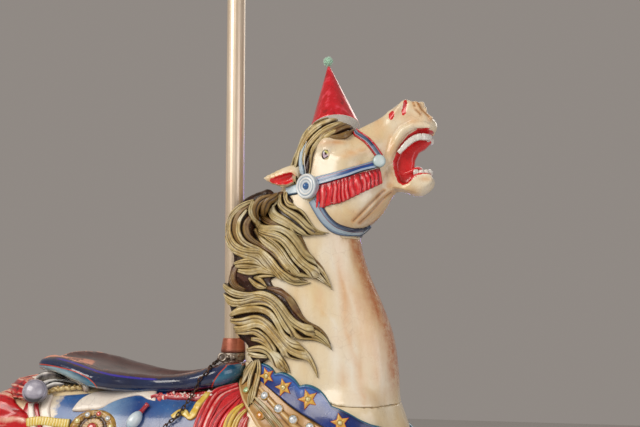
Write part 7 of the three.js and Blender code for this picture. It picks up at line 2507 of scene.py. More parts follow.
# strands of dark fur over the roll's end, and the pale ones under them
DARK_FUR = plain_paint("dark_fur", rgb("57503F"), rgb("1C1813"), rgb("060505"), streaks=(160, 160, 60))
PALE_FUR = plain_paint("pale_fur", rgb("F4F1EC"), rgb("C9C8CC"), rgb("5A5A60"), streaks=(120, 120, 50))
_f = lambda *w: [x / 12.06 * 2.15 for x in w]
dk = [lock(hide, pts, w, 620 + i, lift=lift, tone=0.0, px=s1, step=4.0, ridge=5.0, thick=6.0) for i, (pts, w, lift) in enumerate([
    ([(470, 400), (560, 380), (660, 400), (760, 450), (860, 520)], _f(40, 70, 76, 60, 10), 14),
    ([(420, 470), (520, 440), (640, 450), (760, 500), (850, 535)], _f(30, 56, 60, 46, 8), 11),
    ([(600, 560), (700, 540), (800, 545), (900, 566), (960, 580)], _f(20, 40, 44, 36, 8), 9),
])]
pl = [lock(hide, pts, w, 640 + i, lift=lift, tone=0.0, px=s1, step=4.0, ridge=6.0, thick=6.0) for i, (pts, w, lift) in enumerate([
    ([(430, 690), (470, 620), (540, 565), (640, 530), (740, 520)], _f(30, 60, 66, 50, 10), 9),
    ([(520, 640), (590, 590), (680, 560), (780, 560)], _f(20, 44, 40, 8), 7),
    ([(440, 560), (500, 510), (590, 480), (690, 480)], _f(14, 30, 30, 8), 15),
])]
carved("fur_dark", [m for m, _ in dk], DARK_FUR, [0.34 + 0.66 * c[:, 0] for _, c in dk])
carved("fur_pale", [m for m, _ in pl], PALE_FUR, [c[:, 0] * 0.8 for _, c in pl])

# ---------------------------------------------------------------- breast collar
chest = Grid((-40, -176, 600), (444, 0, 1010), 2.6, half=True)
torso(chest)
for nm_ in ("foreleg_right",):
    loft_into(chest, limb_loft(LEGS[nm_]), 26, band=44)
blue_top = cast(chest, even([s3(*c) for c in [(215, 118), (262, 122), (310, 142), (345, 172), (368, 212)]], 18)).tolist()
blue_top += cast(chest, even([s3(*c) for c in [(372, 212), (430, 203), (500, 228), (552, 270), (590, 326)]], 20)).tolist()
blue_top += cast(chest, even([s3(*c) for c in [(596, 326), (645, 314), (712, 328), (782, 370), (834, 432), (872, 496)]], 24)).tolist()
blue_top += cast(chest, even([s3(*c) for c in [(890, 520), (965, 545), (1055, 590), (1140, 640), (1240, 684)]], 24)).tolist()
blue_top += chest.onto(np.array([[384, -58, 822], [392, -44, 816], [398, -30, 806], [402, -16, 800], [404, 0, 798]], float), 0, 8)[0].tolist()
blue_low = cast(chest, even([s3(*c) for c in [(240, 292), (330, 372), (420, 452), (500, 522), (600, 592), (700, 652), (790, 706)]], 60)).tolist()
blue_low += chest.onto(np.array([[300, -118, 812], [336, -100, 786], [368, -78, 762], [392, -48, 742], [402, -22, 732], [404, 0, 728]], float), 0, 8)[0].tolist()
tan_low = cast(chest, even([s3(*c) for c in [(150, 105), (88, 200), (44, 290), (28, 340), (36, 410), (66, 490), (112, 572), (180, 690)]], 40)).tolist()
tan_low += chest.onto(np.array([[120, -140, 812], [170, -138, 780], [230, -128, 748], [300, -106, 712], [356, -76, 694], [392, -44, 690], [404, 0, 688]], float), 0, 8)[0].tolist()


def even3(pts, n):
    p_ = np.array(pts, float)
    s_ = np.r_[0, np.cumsum(np.linalg.norm(np.diff(p_, axis=0), axis=1))]
    w_ = np.linspace(0, s_[-1], n)
    return np.stack([np.interp(w_, s_, p_[:, k]) for k in range(3)], 1)


def plate(top, low, n, m, height, sunk=1.5):
    n, m = int(n / ROUGH), int(m / ROUGH)
    a_, b_ = even3(top, n), even3(low, n)
    t = np.linspace(0, 1, m)
    g_ = a_[:, None] * (1 - t)[None, :, None] + b_[:, None] * t[None, :, None]
    base, nn = chest.onto(g_.reshape(-1, 3), 0.0, 8)
    S, T = np.meshgrid(np.linspace(0, 1, n), t, indexing="ij")
    h = height(S, T).reshape(-1)
    up_ = (base + nn * h[:, None]).reshape(n, m, 3)
    dn_ = (base - nn * sunk).reshape(n, m, 3)
    # the two halves meet at the middle of the chest
    up_[-1, :, 1] = dn_[-1, :, 1] = -0.01
    return slab(up_, dn_), np.r_[S.ravel(), S.ravel()], np.r_[T.ravel(), T.ravel()]


def blue_height(S, T):
    roll = 1.7 * np.exp(-((T / 0.09) ** 2)) + 1.0 * np.exp(-(((T - 1) / 0.06) ** 2))
    edge = np.sqrt(np.clip(1 - np.abs(2 * T - 1) ** 22, 0, 1))
    return (7.0 + 1.6 * np.sin(np.pi * T) + roll) * (0.2 + 0.8 * edge)


def collar_paint():
    m = Mat("collar_blue", coat=0.6, coat_rough=0.1)
    a_ = m.mask("strip")
    n = m.noise(13, 4, 0.6)
    deep = m.mix(m.ramp(n, [(0.35, 0.0), (0.7, 1.0)]), rgb("061E60"), rgb("0E3792"))
    lightb = m.mix(m.ramp(n, [(0.35, 0.0), (0.7, 1.0)]), rgb("2458B0"), rgb("4A78C8"))
    pale = m.ramp(m.math("ADD", a_[1], m.math("MULTIPLY", m.math("SUBTRACT", n, 0.5), 0.4)), [(0.22, 1.0), (0.55, 0.0)])
    fade = m.ramp(a_[0], [(0.30, 1.0), (0.52, 0.0)])
    c = m.mix(m.math("MULTIPLY", pale, fade), deep, lightb)
    # painted shadow: teal along the scalloped top edge and a dark line along the bottom edge
    c = m.mix(m.ramp(a_[1], [(0.055, 1.0), (0.085, 0.0)]), c, rgb("1E6C86"))
    c = m.mix(m.ramp(a_[1], [(0.955, 0.0), (0.975, 1.0)]), c, rgb("10243E"))
    return enamel(m, c, cav=a_[2], dirt_and_shade=rgb("0B1526"), crackle=0.45, chips=rgb("C8CCD6"), wear=0.3).m


m, S, T = plate(blue_top, blue_low, 170, 26, blue_height)
mm, SS, TT = join([m, flip(m)]), np.r_[S, S], np.r_[T, T]
# painted shadow: a dark line just under the top roll
put("breast_collar_band", mm, collar_paint(), replaces=("breast_collar",), masks={"strip": np.stack([SS, TT, 0.7 * np.exp(-(((TT - 0.115) / 0.018) ** 2))], 1)})


def tan_height(S, T):
    roll = 2.2 * np.exp(-(((T - 0.96) / 0.05) ** 2)) + 2.6 * np.exp(-(((T - 0.40) / 0.06) ** 2)) * smooth(0.10, 0.2, S)
    carve = 0.9 * np.sin(60 * S + 14 * T) * np.exp(-(((T - 0.68) / 0.16) ** 2))
    edge = np.sqrt(np.clip(1 - np.abs(2 * T - 1) ** 26, 0, 1))
    return (6.0 + roll + carve) * (0.2 + 0.8 * edge)


m, S, T = plate(blue_low, tan_low, 150, 30, tan_height, sunk=1.0)
cav = 0.42 - 0.3 * np.exp(-(((T - 0.40) / 0.05) ** 2)) + 0.45 * np.exp(-(((T - 0.48) / 0.025) ** 2)) + 0.45 * np.exp(-(((T - 0.32) / 0.025) ** 2)) + 0.22 * np.sin(60 * S + 14 * T) * np.exp(-(((T - 0.68) / 0.16) ** 2)) - 0.45 * smooth(0.94, 0.97, T) + 0.5 * np.exp(-(((T - 0.02) / 0.02) ** 2))
mm, cc = join([m, flip(m)]), np.clip(np.r_[cav, cav], 0, 1)
put("breast_collar_leather", mm, LEATHER, masks={"strip": np.stack([cc * 0, cc * 0, cc], 1)})


def star(c, n_, r0, turn, high=3.6):
    """A five-pointed star with a raised middle and sloping arms."""
    n_ = unit(n_)
    u_ = unit(np.cross([0, 0, 1.0], n_))
    w_ = np.cross(n_, u_)
    pts = []
    for i in range(10):
        t = turn + i * np.pi / 5
        pts.append((math.cos(t), math.sin(t), r0 if i % 2 == 0 else r0 * 0.46))
    rings = []
    for k, h in ((1.0, -2.5), (1.0, 1.2), (0.86, 2.1), (0.5, 3.0), (0.2, high)):
        ring = []
        for i in range(10):
            x0, y0, q0 = pts[i]
            x1, y1, q1 = pts[(i + 1) % 10]
            for f in (0, 0.25, 0.5, 0.75):
                x, y = (x0 * q0) * (1 - f) + (x1 * q1) * f, (y0 * q0) * (1 - f) + (y1 * q1) * f
                arm = 0.55 * (1 - abs(f - (0 if i % 2 == 0 else 1))) if 0.3 < k < 0.95 else 0
                ring.append(c + u_ * x * k + w_ * y * k + n_ * (h + arm))
        rings.append(np.array(ring))
    m = rings_mesh(rings)
    d = np.r_[np.repeat([0.0, 0.05, 0.4, 0.8, 1.0], 40), 0, 1]
    return m, d


def star_paint():
    m = Mat("star_gold", coat=0.5, coat_rough=0.12)
    a_ = m.mask("strip")
    n = m.noise(70, 4, 0.65)
    gold = m.mix(m.ramp(n, [(0.3, 0.0), (0.7, 1.0)]), rgb("D79A2C"), rgb("F3CE68"))
    c = m.mix(m.ramp(a_[2], [(0.24, 0.0), (0.34, 1.0)]), rgb("D8442A"), gold)
    return enamel(m, c, dirt_and_shade=rgb("4A2410"), crackle=0.5).m


STAR = star_paint()
stars, scs, jewels = [], [], []
PLACES = [(s3(285, 240), 19.5, 0.35), (s3(440, 345), 20.5, 0.28), (s3(665, 455), 23.0, 0.35), (s3(960, 672), 21.0, 0.22)]
for (u, v), r0, turn in PLACES:
    c = cast(chest, [(u, v)], off=8.6)[0]
    n_ = chest.slope(c[None])[0]
    m, d = star(c, n_, r0, turn + math.pi / 2)
    stars.append(m)
    scs.append(d)
    jewels.append((c + n_ * 3.4, n_, 4.4, "yellow"))
for c in ((378, -72, 800),):
    c, n_ = chest.onto(np.array([c], float), 8.6, 6)
    m, d = star(c[0], n_[0], 20.0, 0.3 + math.pi / 2)
    stars.append(m)
    scs.append(d)
    jewels.append((c[0] + n_[0] * 3.4, n_[0], 4.4, "yellow"))
carved("collar_stars", stars, STAR, scs)
fc, fn = chest.onto(np.array([[408.0, 0, 764]]), 8.6, 8)
fn = np.array([1.0, 0, fn[0][2] / max(fn[0][0], 0.2)])
m, d = star(np.array([fc[0][0], 0, fc[0][2]]), fn, 22.0, math.pi / 2)
put("collar_front_star", m, STAR, masks={"strip": np.stack([d * 0, d * 0, d], 1)})
for (x_, y_), r0, kind in (((95, 368), 7.2, "green"), ((262, 420), 8.4, "clear"), ((390, 540), 8.8, "clear"), ((525, 640), 8.8, "clear"), ((225, 600), 8.6, "amber"), ((680, 712), 8.8, "clear")):
    c = cast(chest, [s3(x_, y_)], off=8.2)[0]
    jewels.append((c, chest.slope(c[None])[0], r0, kind))
for c, kind in (((290, -116, 770), "clear"), ((335, -94, 740), "clear"), ((372, -66, 722), "clear"), ((200, -134, 790), "amber"), ((250, -126, 752), "green"), ((396, -26, 712), "clear")):
    c, n_ = chest.onto(np.array([c], float), 8.0, 6)
    jewels.append((c[0], n_[0], 8.6, kind))
set_stones("collar_stones", jewels)

# strands of the mane that hang over the collar, and the carved cord they end in
chest_hi = Grid((-40, -176, 600), (444, 0, 1010), 2.6, half=True)
chest_hi.d = (chest.d - 6.0).astype(np.float32)
_q = lambda *w: [x / 9.224 * 2.15 for x in w]
TASSEL = [
    ([(188, 85), (150, 150), (112, 220), (78, 290), (50, 320)], _q(30, 56, 60, 46, 10), 0.1, 1),
    ([(200, 80), (178, 160), (150, 240), (132, 320), (118, 390)], _q(30, 50, 54, 46, 12), 0.2, 3),
    ([(214, 78), (226, 160), (216, 250), (190, 340), (168, 430), (132, 505)], _q(30, 46, 50, 50, 46, 14), 0.0, 3),
    ([(150, 110), (110, 165), (84, 225), (72, 280)], _q(24, 40, 36, 10), 0.3, 1),
    ([(165, 340), (140, 410), (122, 470), (118, 530)], _q(20, 36, 36, 10), 0.3, 4),
    ([(160, 430), (206, 470), (270, 532), (332, 604), (404, 690), (450, 750)], _q(16, 34, 38, 38, 34, 12), 0.15, 2),
    ([(150, 480), (200, 530), (262, 600), (330, 680), (380, 750)], _q(12, 26, 30, 28, 10), 0.35, 2),
]
tl_ = [lock(chest_hi, pts, w, 500 + i, lift=lift, tone=tone, px=s3, step=4.0, ridge=6.0) for i, (pts, w, tone, lift) in enumerate(TASSEL)]
mesh, shade = gather(tl_)
put("mane_tassel_right", mesh, HAIR, masks={"hair": shade})
put("mane_tassel_left", flip(mesh), HAIR, masks={"hair": shade})

# ---------------------------------------------------------------- pole fittings
def turned(name, profile, centre, axis, paint, node=None, around=64, body="horse", crisp=34):
    m, rr, hh = lathe_at(profile, centre, axis, around)
    span = max(q[1] for q in profile) - min(q[1] for q in profile)
    st = np.stack([(hh - min(q[1] for q in profile)) / max(span, 1e-6), rr / max(q[0] for q in profile), np.zeros(len(rr))], 1)
    return put(name, m, paint, body=body, replaces=(node,) if node else (), masks={"strip": st}, crisp=crisp)


def hollow(profile, bore):
    """The outline of a ring: the given outer profile with a straight bore."""
    return [(bore, profile[0][1])] + profile + [(bore, profile[-1][1]), (bore, profile[0][1])]


def ring_lathe(name, profile, bore, centre, axis, paint, node=None, around=64, body="horse", crisp=34):
    """A turned ring: the outer profile and the bore joined into one closed skin."""
    axis = unit(np.array(axis, float))
    u = unit(np.cross(axis, [0, 0, 1.0] if abs(axis[2]) < 0.9 else [1.0, 0, 0]))
    w = np.cross(axis, u)
    a_ = np.arange(around) / around * 2 * np.pi
    loop = profile + [(bore, profile[-1][1]), (bore, profile[0][1])]
    v = np.vstack([np.array(centre) + axis * h + np.outer(np.cos(a_) * r, u) + np.outer(np.sin(a_) * r, w) for r, h in loop])
    n = len(loop)
    q = []
    for i in range(n):
        j = (i + 1) % n
        for k in range(around):
            l = (k + 1) % around
            q.append((i * around + k, i * around + l, j * around + l, j * around + k))
    m = outward(v, np.array(q), np.zeros((0, 3), int))
    h0, h1 = min(x[1] for x in loop), max(x[1] for x in loop)
    st = np.repeat([[(h - h0) / (h1 - h0), r / max(x[0] for x in loop), 0.0] for r, h in loop], around, axis=0)
    return put(name, m, paint, body=body, replaces=(node,) if node else (), masks={"strip": st}, crisp=crisp)


def brass_tube():
    """Pale lacquered brass casing, rubbed by hands, with fine scratches round it and dull spots."""
    m = Mat("pole_brass", metal=0.5, rough=0.34, coat=0.25, coat_rough=0.2)
    n = m.noise(7, 4, 0.6, m.mapped((1, 1, 0.35)))
    c = m.ramp(n, [(0.3, rgb("D9BFA0")), (0.55, rgb("EAD7BE")), (0.8, rgb("F2E6D6"))])
    spots = m.above(m.noise(60, 5, 0.8), 0.68, 0.05)
    c = m.mix(m.math("MULTIPLY", spots, 0.45), c, rgb("A87B52"))
    m.colour(c)
    band = m.noise(1, 3, 0.7, m.mapped((8, 8, 420)))
    m.rough(m.ramp(m.math("ADD", m.math("MULTIPLY", band, 0.5), m.math("MULTIPLY", n, 0.5)), [(0.35, 0.26), (0.65, 0.42)]))
    m.bump(band, 0.06, 0.0004)
    return m.m


def metal(name, light, base, rust, rough=(0.25, 0.5), amount=0.62, scale=45):
    m = Mat(name, metal=0.9, rough=0.35)
    n = m.noise(scale, 4, 0.65)
    c = m.ramp(n, [(0.3, base), (0.7, light)])
    r = m.above(m.noise(scale * 0.6, 5, 0.75), amount, 0.08)
    c = m.mix(r, c, rust)
    m.colour(c)
    m.feed(m.b.inputs["Metallic"], m.math("SUBTRACT", 0.92, m.math("MULTIPLY", r, 0.7)))
    m.rough(m.ramp(n, [(0.3, rough[0]), (0.75, rough[1])]))
    m.bump(m.noise(scale * 6, 4, 0.7), 0.15, 0.0006)
    m.bump(r, 0.2, 0.0006)
    return m.m


def copper_cone():
    m = Mat("collar_copper", metal=0.35, rough=0.38, coat=0.3, coat_rough=0.25)
    a_ = m.mask("strip")
    n = m.noise(26, 4, 0.65, m.mapped((1, 1, 2.5)))
    c = m.ramp(n, [(0.3, rgb("9A4F38")), (0.55, rgb("B9694E")), (0.8, rgb("CF8A6C"))])
    low = m.ramp(m.math("ADD", a_[0], m.math("MULTIPLY", m.math("SUBTRACT", n, 0.5), 0.3)), [(0.08, 1.0), (0.28, 0.0)])
    c = m.mix(m.math("MULTIPLY", low, 0.8), c, rgb("6E3A2C"))
    m.colour(c)
    m.rough(m.ramp(n, [(0.3, 0.28), (0.75, 0.5)]))
    m.bump(m.noise(240, 3, 0.7), 0.1, 0.0005)
    return m.m


BRASS, COPPER = brass_tube(), copper_cone()
STEEL = metal("ring_steel", rgb("C9BDB0"), rgb("8F8478"), rgb("7A4E34"), rough=(0.34, 0.55), amount=0.54)
CHAIN_STEEL = metal("chain_steel", rgb("5E534C"), rgb("2E2926"), rgb("6B4028"), rough=(0.3, 0.55), amount=0.56, scale=90)
SLEEVE_STEEL = metal("sleeve_steel", rgb("B9BDC0"), rgb("8B9094"), rgb("6E5644"), amount=0.66)
BUSH = metal("bush_brass", rgb("D8B26A"), rgb("A9803E"), rgb("6A4A22"), amount=0.66)
IRON = metal("floor_iron", rgb("4A4C50"), rgb("2B2D31"), rgb("6A4430"), rough=(0.4, 0.65), amount=0.60, scale=30)
PEG_IRON = metal("peg_iron", rgb("6A6E74"), rgb("3A3E44"), rgb("7A5038"), rough=(0.32, 0.55), amount=0.62, scale=40)


def rubber():
    m = Mat("peg_grip", rough=0.7, spec=0.3)
    n = m.noise(120, 4, 0.6)
    m.colour(m.ramp(n, [(0.3, rgb("1B1B1C")), (0.7, rgb("38373A"))]))
    m.rough(m.ramp(n, [(0.3, 0.6), (0.7, 0.85)]))
    m.bump(m.noise(300, 3, 0.6), 0.2, 0.0006)
    return m.m


RUBBER = rubber()
pole_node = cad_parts["pole"]
for s_ in pole_node.material_slots:
    s_.material = BRASS

turned("pole_cap_turned", [(0.5, 2330.3), (29.0, 2330.3), (30.0, 2331.6), (30.0, 2340), (28.6, 2341.4), (28.6, 2344), (30.0, 2345.4), (30.0, 2353), (28.6, 2357.5), (25.5, 2361), (20, 2363.2), (12, 2364), (0.5, 2364)], (0, 0, 0), (0, 0, 1), STEEL, "pole_cap")
ring_lathe("pole_collar_cone", [(27.0, 982.2), (28.4, 983.0), (28.7, 985.0), (28.2, 987.4), (26.0, 1001), (24.2, 1011), (23.6, 1013.4), (22.6, 1014.2)], 21.2, (0, 0, 0), (0, 0, 1), COPPER, "pole_collar")
ring_lathe("pole_base_clamp", [(26.8, 958.9), (28.0, 960.0), (28.6, 962.5), (28.6, 967.2), (28.0, 968.0), (28.0, 972.6), (28.6, 973.4), (28.6, 978.4), (28.0, 980.6), (26.8, 981.6)], 21.2, (0, 0, 0), (0, 0, 1), STEEL, "pole_base_ring")
# eye bolt across the clamp, with its lug and nut
eye_c = np.array([-15.0, -35.0, 972.5])
en = unit(np.array([0.22, -1.0, 0.06]))
eu = unit(np.cross(en, [0, 0, 1.0]))
ew = np.cross(eu, en)
t = np.linspace(0, 2 * np.pi, 41)[:-1]


def closed_tube(pts, r, around=12):
    """A ring of wire along a closed line."""
    n = len(pts)
    tan = unit(np.roll(pts, -1, 0) - np.roll(pts, 1, 0))
    c = pts.mean(0)
    out = unit(pts - c)
    out = unit(out - tan * (out * tan).sum(1, keepdims=True))
    up = np.cross(tan, out)
    a_ = np.arange(around) / around * 2 * np.pi
    v = (pts[:, None] + (np.cos(a_)[None, :, None] * out[:, None] + np.sin(a_)[None, :, None] * up[:, None]) * r).reshape(-1, 3)
    i = np.arange(n)[:, None]
    k = np.arange(around)[None, :]
    i2, k2 = (i + 1) % n, (k + 1) % around
    q = np.stack([i * around + k, i * around + k2, i2 * around + k2, i2 * around + k], -1).reshape(-1, 4)
    return outward(v, q, np.zeros((0, 3), int))


eye_ring = closed_tube(eye_c + np.outer(np.cos(t) * 8.0, eu) + np.outer(np.sin(t) * 8.0, ew), 2.9)
side_ = eu if eu[0] > 0 else -eu
shank = tube(np.linspace(eye_c + side_ * 9, eye_c + side_ * 31, 12), 2.7, 14)
nut, _, _ = lathe_at([(0.3, 0), (5.0, 0), (5.4, 0.6), (5.4, 4.4), (5.0, 5), (0.3, 5)], eye_c + side_ * 24, side_, 6)
nut2, _, _ = lathe_at([(0.3, 0), (5.0, 0), (5.4, 0.6), (5.4, 4.4), (5.0, 5), (0.3, 5)], eye_c + side_ * 10.5, side_, 6)
lug = block(eye_c + side_ * 20 + np.array([0, 3.0, 0]), (3.6, 6.0, 6.5), tuple(side_), (0, 0, 1), e=5)
em = join([eye_ring, shank, nut, nut2, lug])
put("eye_bolt_forged", em, STEEL, replaces=("eye_bolt",), masks={"strip": np.zeros((len(em[0]), 3))})

# chain: links hooked through each other, draped over the saddle's edge and the cloth
over = Grid((-470, -176, 640), (100, 0, 1010), 3.0, half=True)
px_, py_, pz_ = over.whole()
xx, yy, zz = np.broadcast_arrays(px_, py_, pz_)
pts_ = np.stack([xx.ravel(), yy.ravel(), zz.ravel()], 1)
cloth_d = (trunk.at(pts_, trunk.skin) - 12.0).astype(np.float32).reshape(over.n)
inside = ((pts_[:, 0] > -468) & (pts_[:, 0] < 50) & (pts_[:, 2] > 852) & (pts_[:, 2] < 998)).reshape(over.n)
sad_d = np.where(inside, saddle.at(pts_).reshape(over.n), 60.0).astype(np.float32)
over.d = np.minimum(cloth_d, sad_d)
CH = [(219.4, 361.2), (216.6, 362.6), (213, 364), (209.6, 368), (206.2, 373), (202.2, 376.6), (198.8, 380.8), (197.1, 386.4), (194.6, 390.8), (192.2, 394), (190.5, 398), (186.4, 403), (184, 407), (179.8, 412), (176.4, 417), (171.4, 420.6), (168.2, 423.2), (164.8, 427), (159, 438), (154, 448)]
fine_ch = even(np.array(CH), 120)
hit = cast(over, fine_ch, off=4.5)
yy_ = np.minimum.accumulate(np.maximum(hit[:, 1], -182.0))
yy_ = np.maximum(yy_, -182.0)
yy_[:10] = np.linspace(-37, yy_[10], 10)
for _ in range(14):
    yy_[1:-1] = np.minimum((yy_[:-2] + 2 * yy_[1:-1] + yy_[2:]) / 4, np.maximum(hit[1:-1, 1], -182) + 0.0)
line_ = np.vstack([on_plane(u, v, y_) for (u, v), y_ in zip(fine_ch, yy_)])
line_ = np.vstack([[eye_c + np.array([-7.5, 0.5, -4.0])], line_[4:]])
for _ in range(3):
    line_[1:-1] = (line_[:-2] + 2 * line_[1:-1] + line_[2:]) / 4
dd = np.r_[0, np.cumsum(np.linalg.norm(np.diff(line_, axis=0), axis=1))]
pitch = 9.2
count = int(dd[-1] // pitch)
links = []
for i in range(count):
    c = np.array([np.interp((i + 0.5) * pitch, dd, line_[:, k]) for k in range(3)])
    e1 = np.array([np.interp((i + 0.5) * pitch - 4, dd, line_[:, k]) for k in range(3)])
    e2 = np.array([np.interp((i + 0.5) * pitch + 4, dd, line_[:, k]) for k in range(3)])
    tan = unit(e2 - e1)
    ref = unit(np.cross(tan, unit(np.array([0.2, -1.0, 0.35]))))
    nrm = np.cross(ref, tan)
    ang = 0.35 + (math.pi / 2 if i % 2 else 0.0)
    wid = ref * math.cos(ang) + nrm * math.sin(ang)
    tt = np.arange(20) / 20 * 2 * np.pi
    half_l, half_w = 3.1, 2.9
    loop = c + np.outer(np.sign(np.cos(tt)) * half_l * np.clip(np.abs(np.cos(tt)) * 3, 0, 1) + np.cos(tt) * half_w, tan) + np.outer(np.sin(tt) * half_w, wid)
    links.append(closed_tube(loop, 1.35, 8))
cmx = join(links)
put("safety_chain_links", cmx, CHAIN_STEEL, replaces=("safety_chain",), masks={"strip": np.zeros((len(cmx[0]), 3))})
print("chain links", count, [tuple(int(c) for c in q) for q in line_[:: max(1, len(line_) // 10)]])

# ---------------------------------------------------------------- foot rest
def cut_rings(h0, h1, r, n, depth=1.6):
    out = []
    for i in range(n):
        a_, b_ = h0 + (h1 - h0) * i / n, h0 + (h1 - h0) * (i + 1) / n
        w_ = (b_ - a_) * 0.28
        out += [(r - depth, a_ + w_ * 0.4), (r, a_ + w_), (r, b_ - w_), (r - depth, b_ - w_ * 0.4)]
    return out


bits, kinds = [], []
cast_collar = lathe_at([(21.3, 448.4), (33, 448.4), (35.4, 450.4), (36, 453), (36, 460), (34.2, 462.5), (34.2, 477.5), (36, 480), (36, 487), (35.4, 489.6), (33, 491.6), (21.3, 491.6)], (0, 0, 0), (0, 0, 1), 56)[0]
bits.append(cast_collar)
kinds.append(0)
for sg in (-1, 1):
    bits.append(lathe_at([(15.5, 30), (15.5, 44), (12.4, 50), (11.6, 60), (11.6, 118), (10.5, 120), (10.5, 198), (3, 199)], (0, 0, 470), (0, sg, 0), 32)[0])
    kinds.append(0)
    bits.append(lathe_at([(10.0, 119.5), (14.4, 119.5)] + cut_rings(120, 196, 15.0, 9) + [(14.4, 196.5), (10.0, 196.5)], (0, 0, 470), (0, sg, 0), 32)[0])
    kinds.append(1)
    bits.append(lathe_at([(2, 197), (17.5, 197), (19, 198.6), (19, 208.4), (17.5, 210.6), (12, 211.8), (2, 212)], (0, 0, 470), (0, sg, 0), 40)[0])
    kinds.append(0)
for sg in (-1, 1):
    bits.append(lathe_at([(0.3, 33), (6.0, 33), (6.0, 38.5), (5.2, 39.6), (0.3, 39.6)], (0, 0, 470), (sg, 0, 0), 6)[0])
    kinds.append(0)
fr = join(bits)
put("foot_rest_cast", fr, [PEG_IRON, RUBBER], replaces=("foot_rest",), index=slots_of(bits, kinds), masks={"strip": np.zeros((len(fr[0]), 3))}, crisp=32)

# ---------------------------------------------------------------- floor fittings
bits = [lathe_at([(0.5, 0.0), (93.5, 0.0), (95, 1.5), (95, 11.2), (92.4, 13.8), (52, 14.0), (0.5, 14.0)], (0, 0, 0), (0, 0, 1), 96)[0]]
for i in range(4):
    a_ = math.pi / 4 + i * math.pi / 2
    c = (math.cos(a_) * 70, math.sin(a_) * 70, 0)
    bits.append(lathe_at([(0.5, 13.6), (13.5, 13.6), (14, 14.4), (13.2, 16.2), (0.5, 16.2)], c, (0, 0, 1), 32)[0])
    bits.append(lathe_at([(0.5, 15.8), (9.6, 15.8), (10, 16.4), (10, 22.4), (9.0, 23.8), (6.5, 24.0), (0.5, 24.0)], c, (0, 0, 1), 6)[0])
    bits.append(lathe_at([(0.4, 23.5), (4.6, 23.8), (4.6, 24.0), (0.4, 24.1)], c, (0, 0, 1), 20)[0])
fm = join(bits)
put("floor_flange_bolted", fm, IRON, body="floor", replaces=("floor_flange",), masks={"strip": np.zeros((len(fm[0]), 3))}, crisp=32)
ring_lathe("guide_sleeve_tube", [(45.2, 14.4), (46.0, 16.5), (46.0, 30.5), (44.0, 33.0), (38.0, 39.0), (34.4, 45.0), (33.0, 50), (33.0, 292), (34.4, 294), (34.4, 302), (33.4, 304.6), (31.0, 305.8)], 22.6, (0, 0, 0), (0, 0, 1), SLEEVE_STEEL, "guide_sleeve", body="floor")
ring_lathe("sleeve_bush_turned", [(37.2, 306.2), (38.0, 307.2), (38.0, 315), (37.0, 316), (37.0, 318), (38.0, 319), (38.0, 323.6), (36.6, 326.6), (33.2, 329.4), (31.4, 330)], 22.2, (0, 0, 0), (0, 0, 1), BUSH, "sleeve_bush", body="floor")

# ---------------------------------------------------------------- hooves
HOOVES = {
    "forehoof_right": [(350, -109, 394), (320, -109, 342)],
    "forehoof_left": [(400, 109, 440), (366, 109, 392)],
    "hindhoof_right": [(-691, -112, 356), (-726, -112, 308)],
    "hindhoof_left": [(-773, 112, 408), (-812, 112, 364)],
}


def hoof_paint():
    m = Mat("hoof", coat=0.45, coat_rough=0.18)
    a_ = m.mask("strip")
    n = m.noise(1, 4, 0.65, m.mapped((60, 60, 18)))
    c = m.ramp(n, [(0.3, rgb("2A1F1A")), (0.6, rgb("4A372B")), (0.85, rgb("6A5240"))])
    c = m.mix(m.ramp(a_[0], [(0.86, 0.0), (0.88, 1.0)]), c, rgb("A0A2A6"))
    c = m.mix(m.ramp(a_[0], [(0.10, 1.0), (0.2, 0.0)]), c, rgb("8A6A48"))
    enamel(m, c, cav=a_[2], dirt_and_shade=rgb("120C08"), crackle=0.5)
    m.feed(m.b.inputs["Metallic"], m.math("MULTIPLY", m.ramp(a_[0], [(0.86, 0.0), (0.88, 1.0)]), 0.75))
    return m.m


HOOF = hoof_paint()
for name, (p0, p1) in HOOVES.items():
    p0, p1 = np.array(p0, float), np.array(p1, float)
    L = np.linalg.norm(p1 - p0)
    ax_ = unit(p1 - p0)
    sy = np.array([0.0, 1.0, 0.0])
    fw = unit(np.cross(sy, ax_))
    if fw[0] < 0:
        fw = -fw
    K_ = 64
    a_ = (np.arange(K_) + 0.5) / K_ * 2 * np.pi
    prof = [(-0.04, 0.60), (0.0, 0.70), (0.05, 0.74), (0.10, 0.745), (0.14, 0.72), (0.24, 0.755), (0.34, 0.79), (0.44, 0.825), (0.54, 0.86), (0.64, 0.89), (0.74, 0.925), (0.82, 0.95), (0.845, 0.945), (0.86, 0.97), (0.87, 1.0), (0.985, 1.0), (1.0, 0.975), (1.0, 0.84), (0.955, 0.80), (0.94, 0.5), (0.935, 0.2)]
    rings, st = [], []
    for tq, rq in prof:
        groove = 0.007 * np.sin(46 * tq) * (0.16 < tq < 0.82)
        rr = rq + groove
        x_ = np.cos(a_)
        y_ = np.sin(a_)
        # round at the toe, squarer and notched at the heel
        heel = smooth(0.2, -0.9, x_)
        notch = 0.16 * np.exp(-(((np.abs(np.pi - a_)) / 0.26) ** 2)) * smooth(0.35, 0.9, tq)
        rad_x = 38.0 * rr * (1 - 0.10 * heel - notch)
        rad_y = 36.0 * rr * (1 + 0.05 * heel)
        c = p0 + ax_ * L * tq
        rings.append(c + np.outer(x_ * rad_x, fw) + np.outer(y_ * rad_y, sy))
        st.append(np.stack([np.full(K_, tq), a_ / 6.283, np.full(K_, 0.25 * (0.83 < tq < 0.86) + 0.3 * (0.11 < tq < 0.16))], 1))
    hm = rings_mesh(rings)
    st = np.vstack(st + [st[0][:1], st[-1][:1]])
    put(name + "_shod", hm, HOOF, replaces=(name,), masks={"strip": st}, crisp=50)

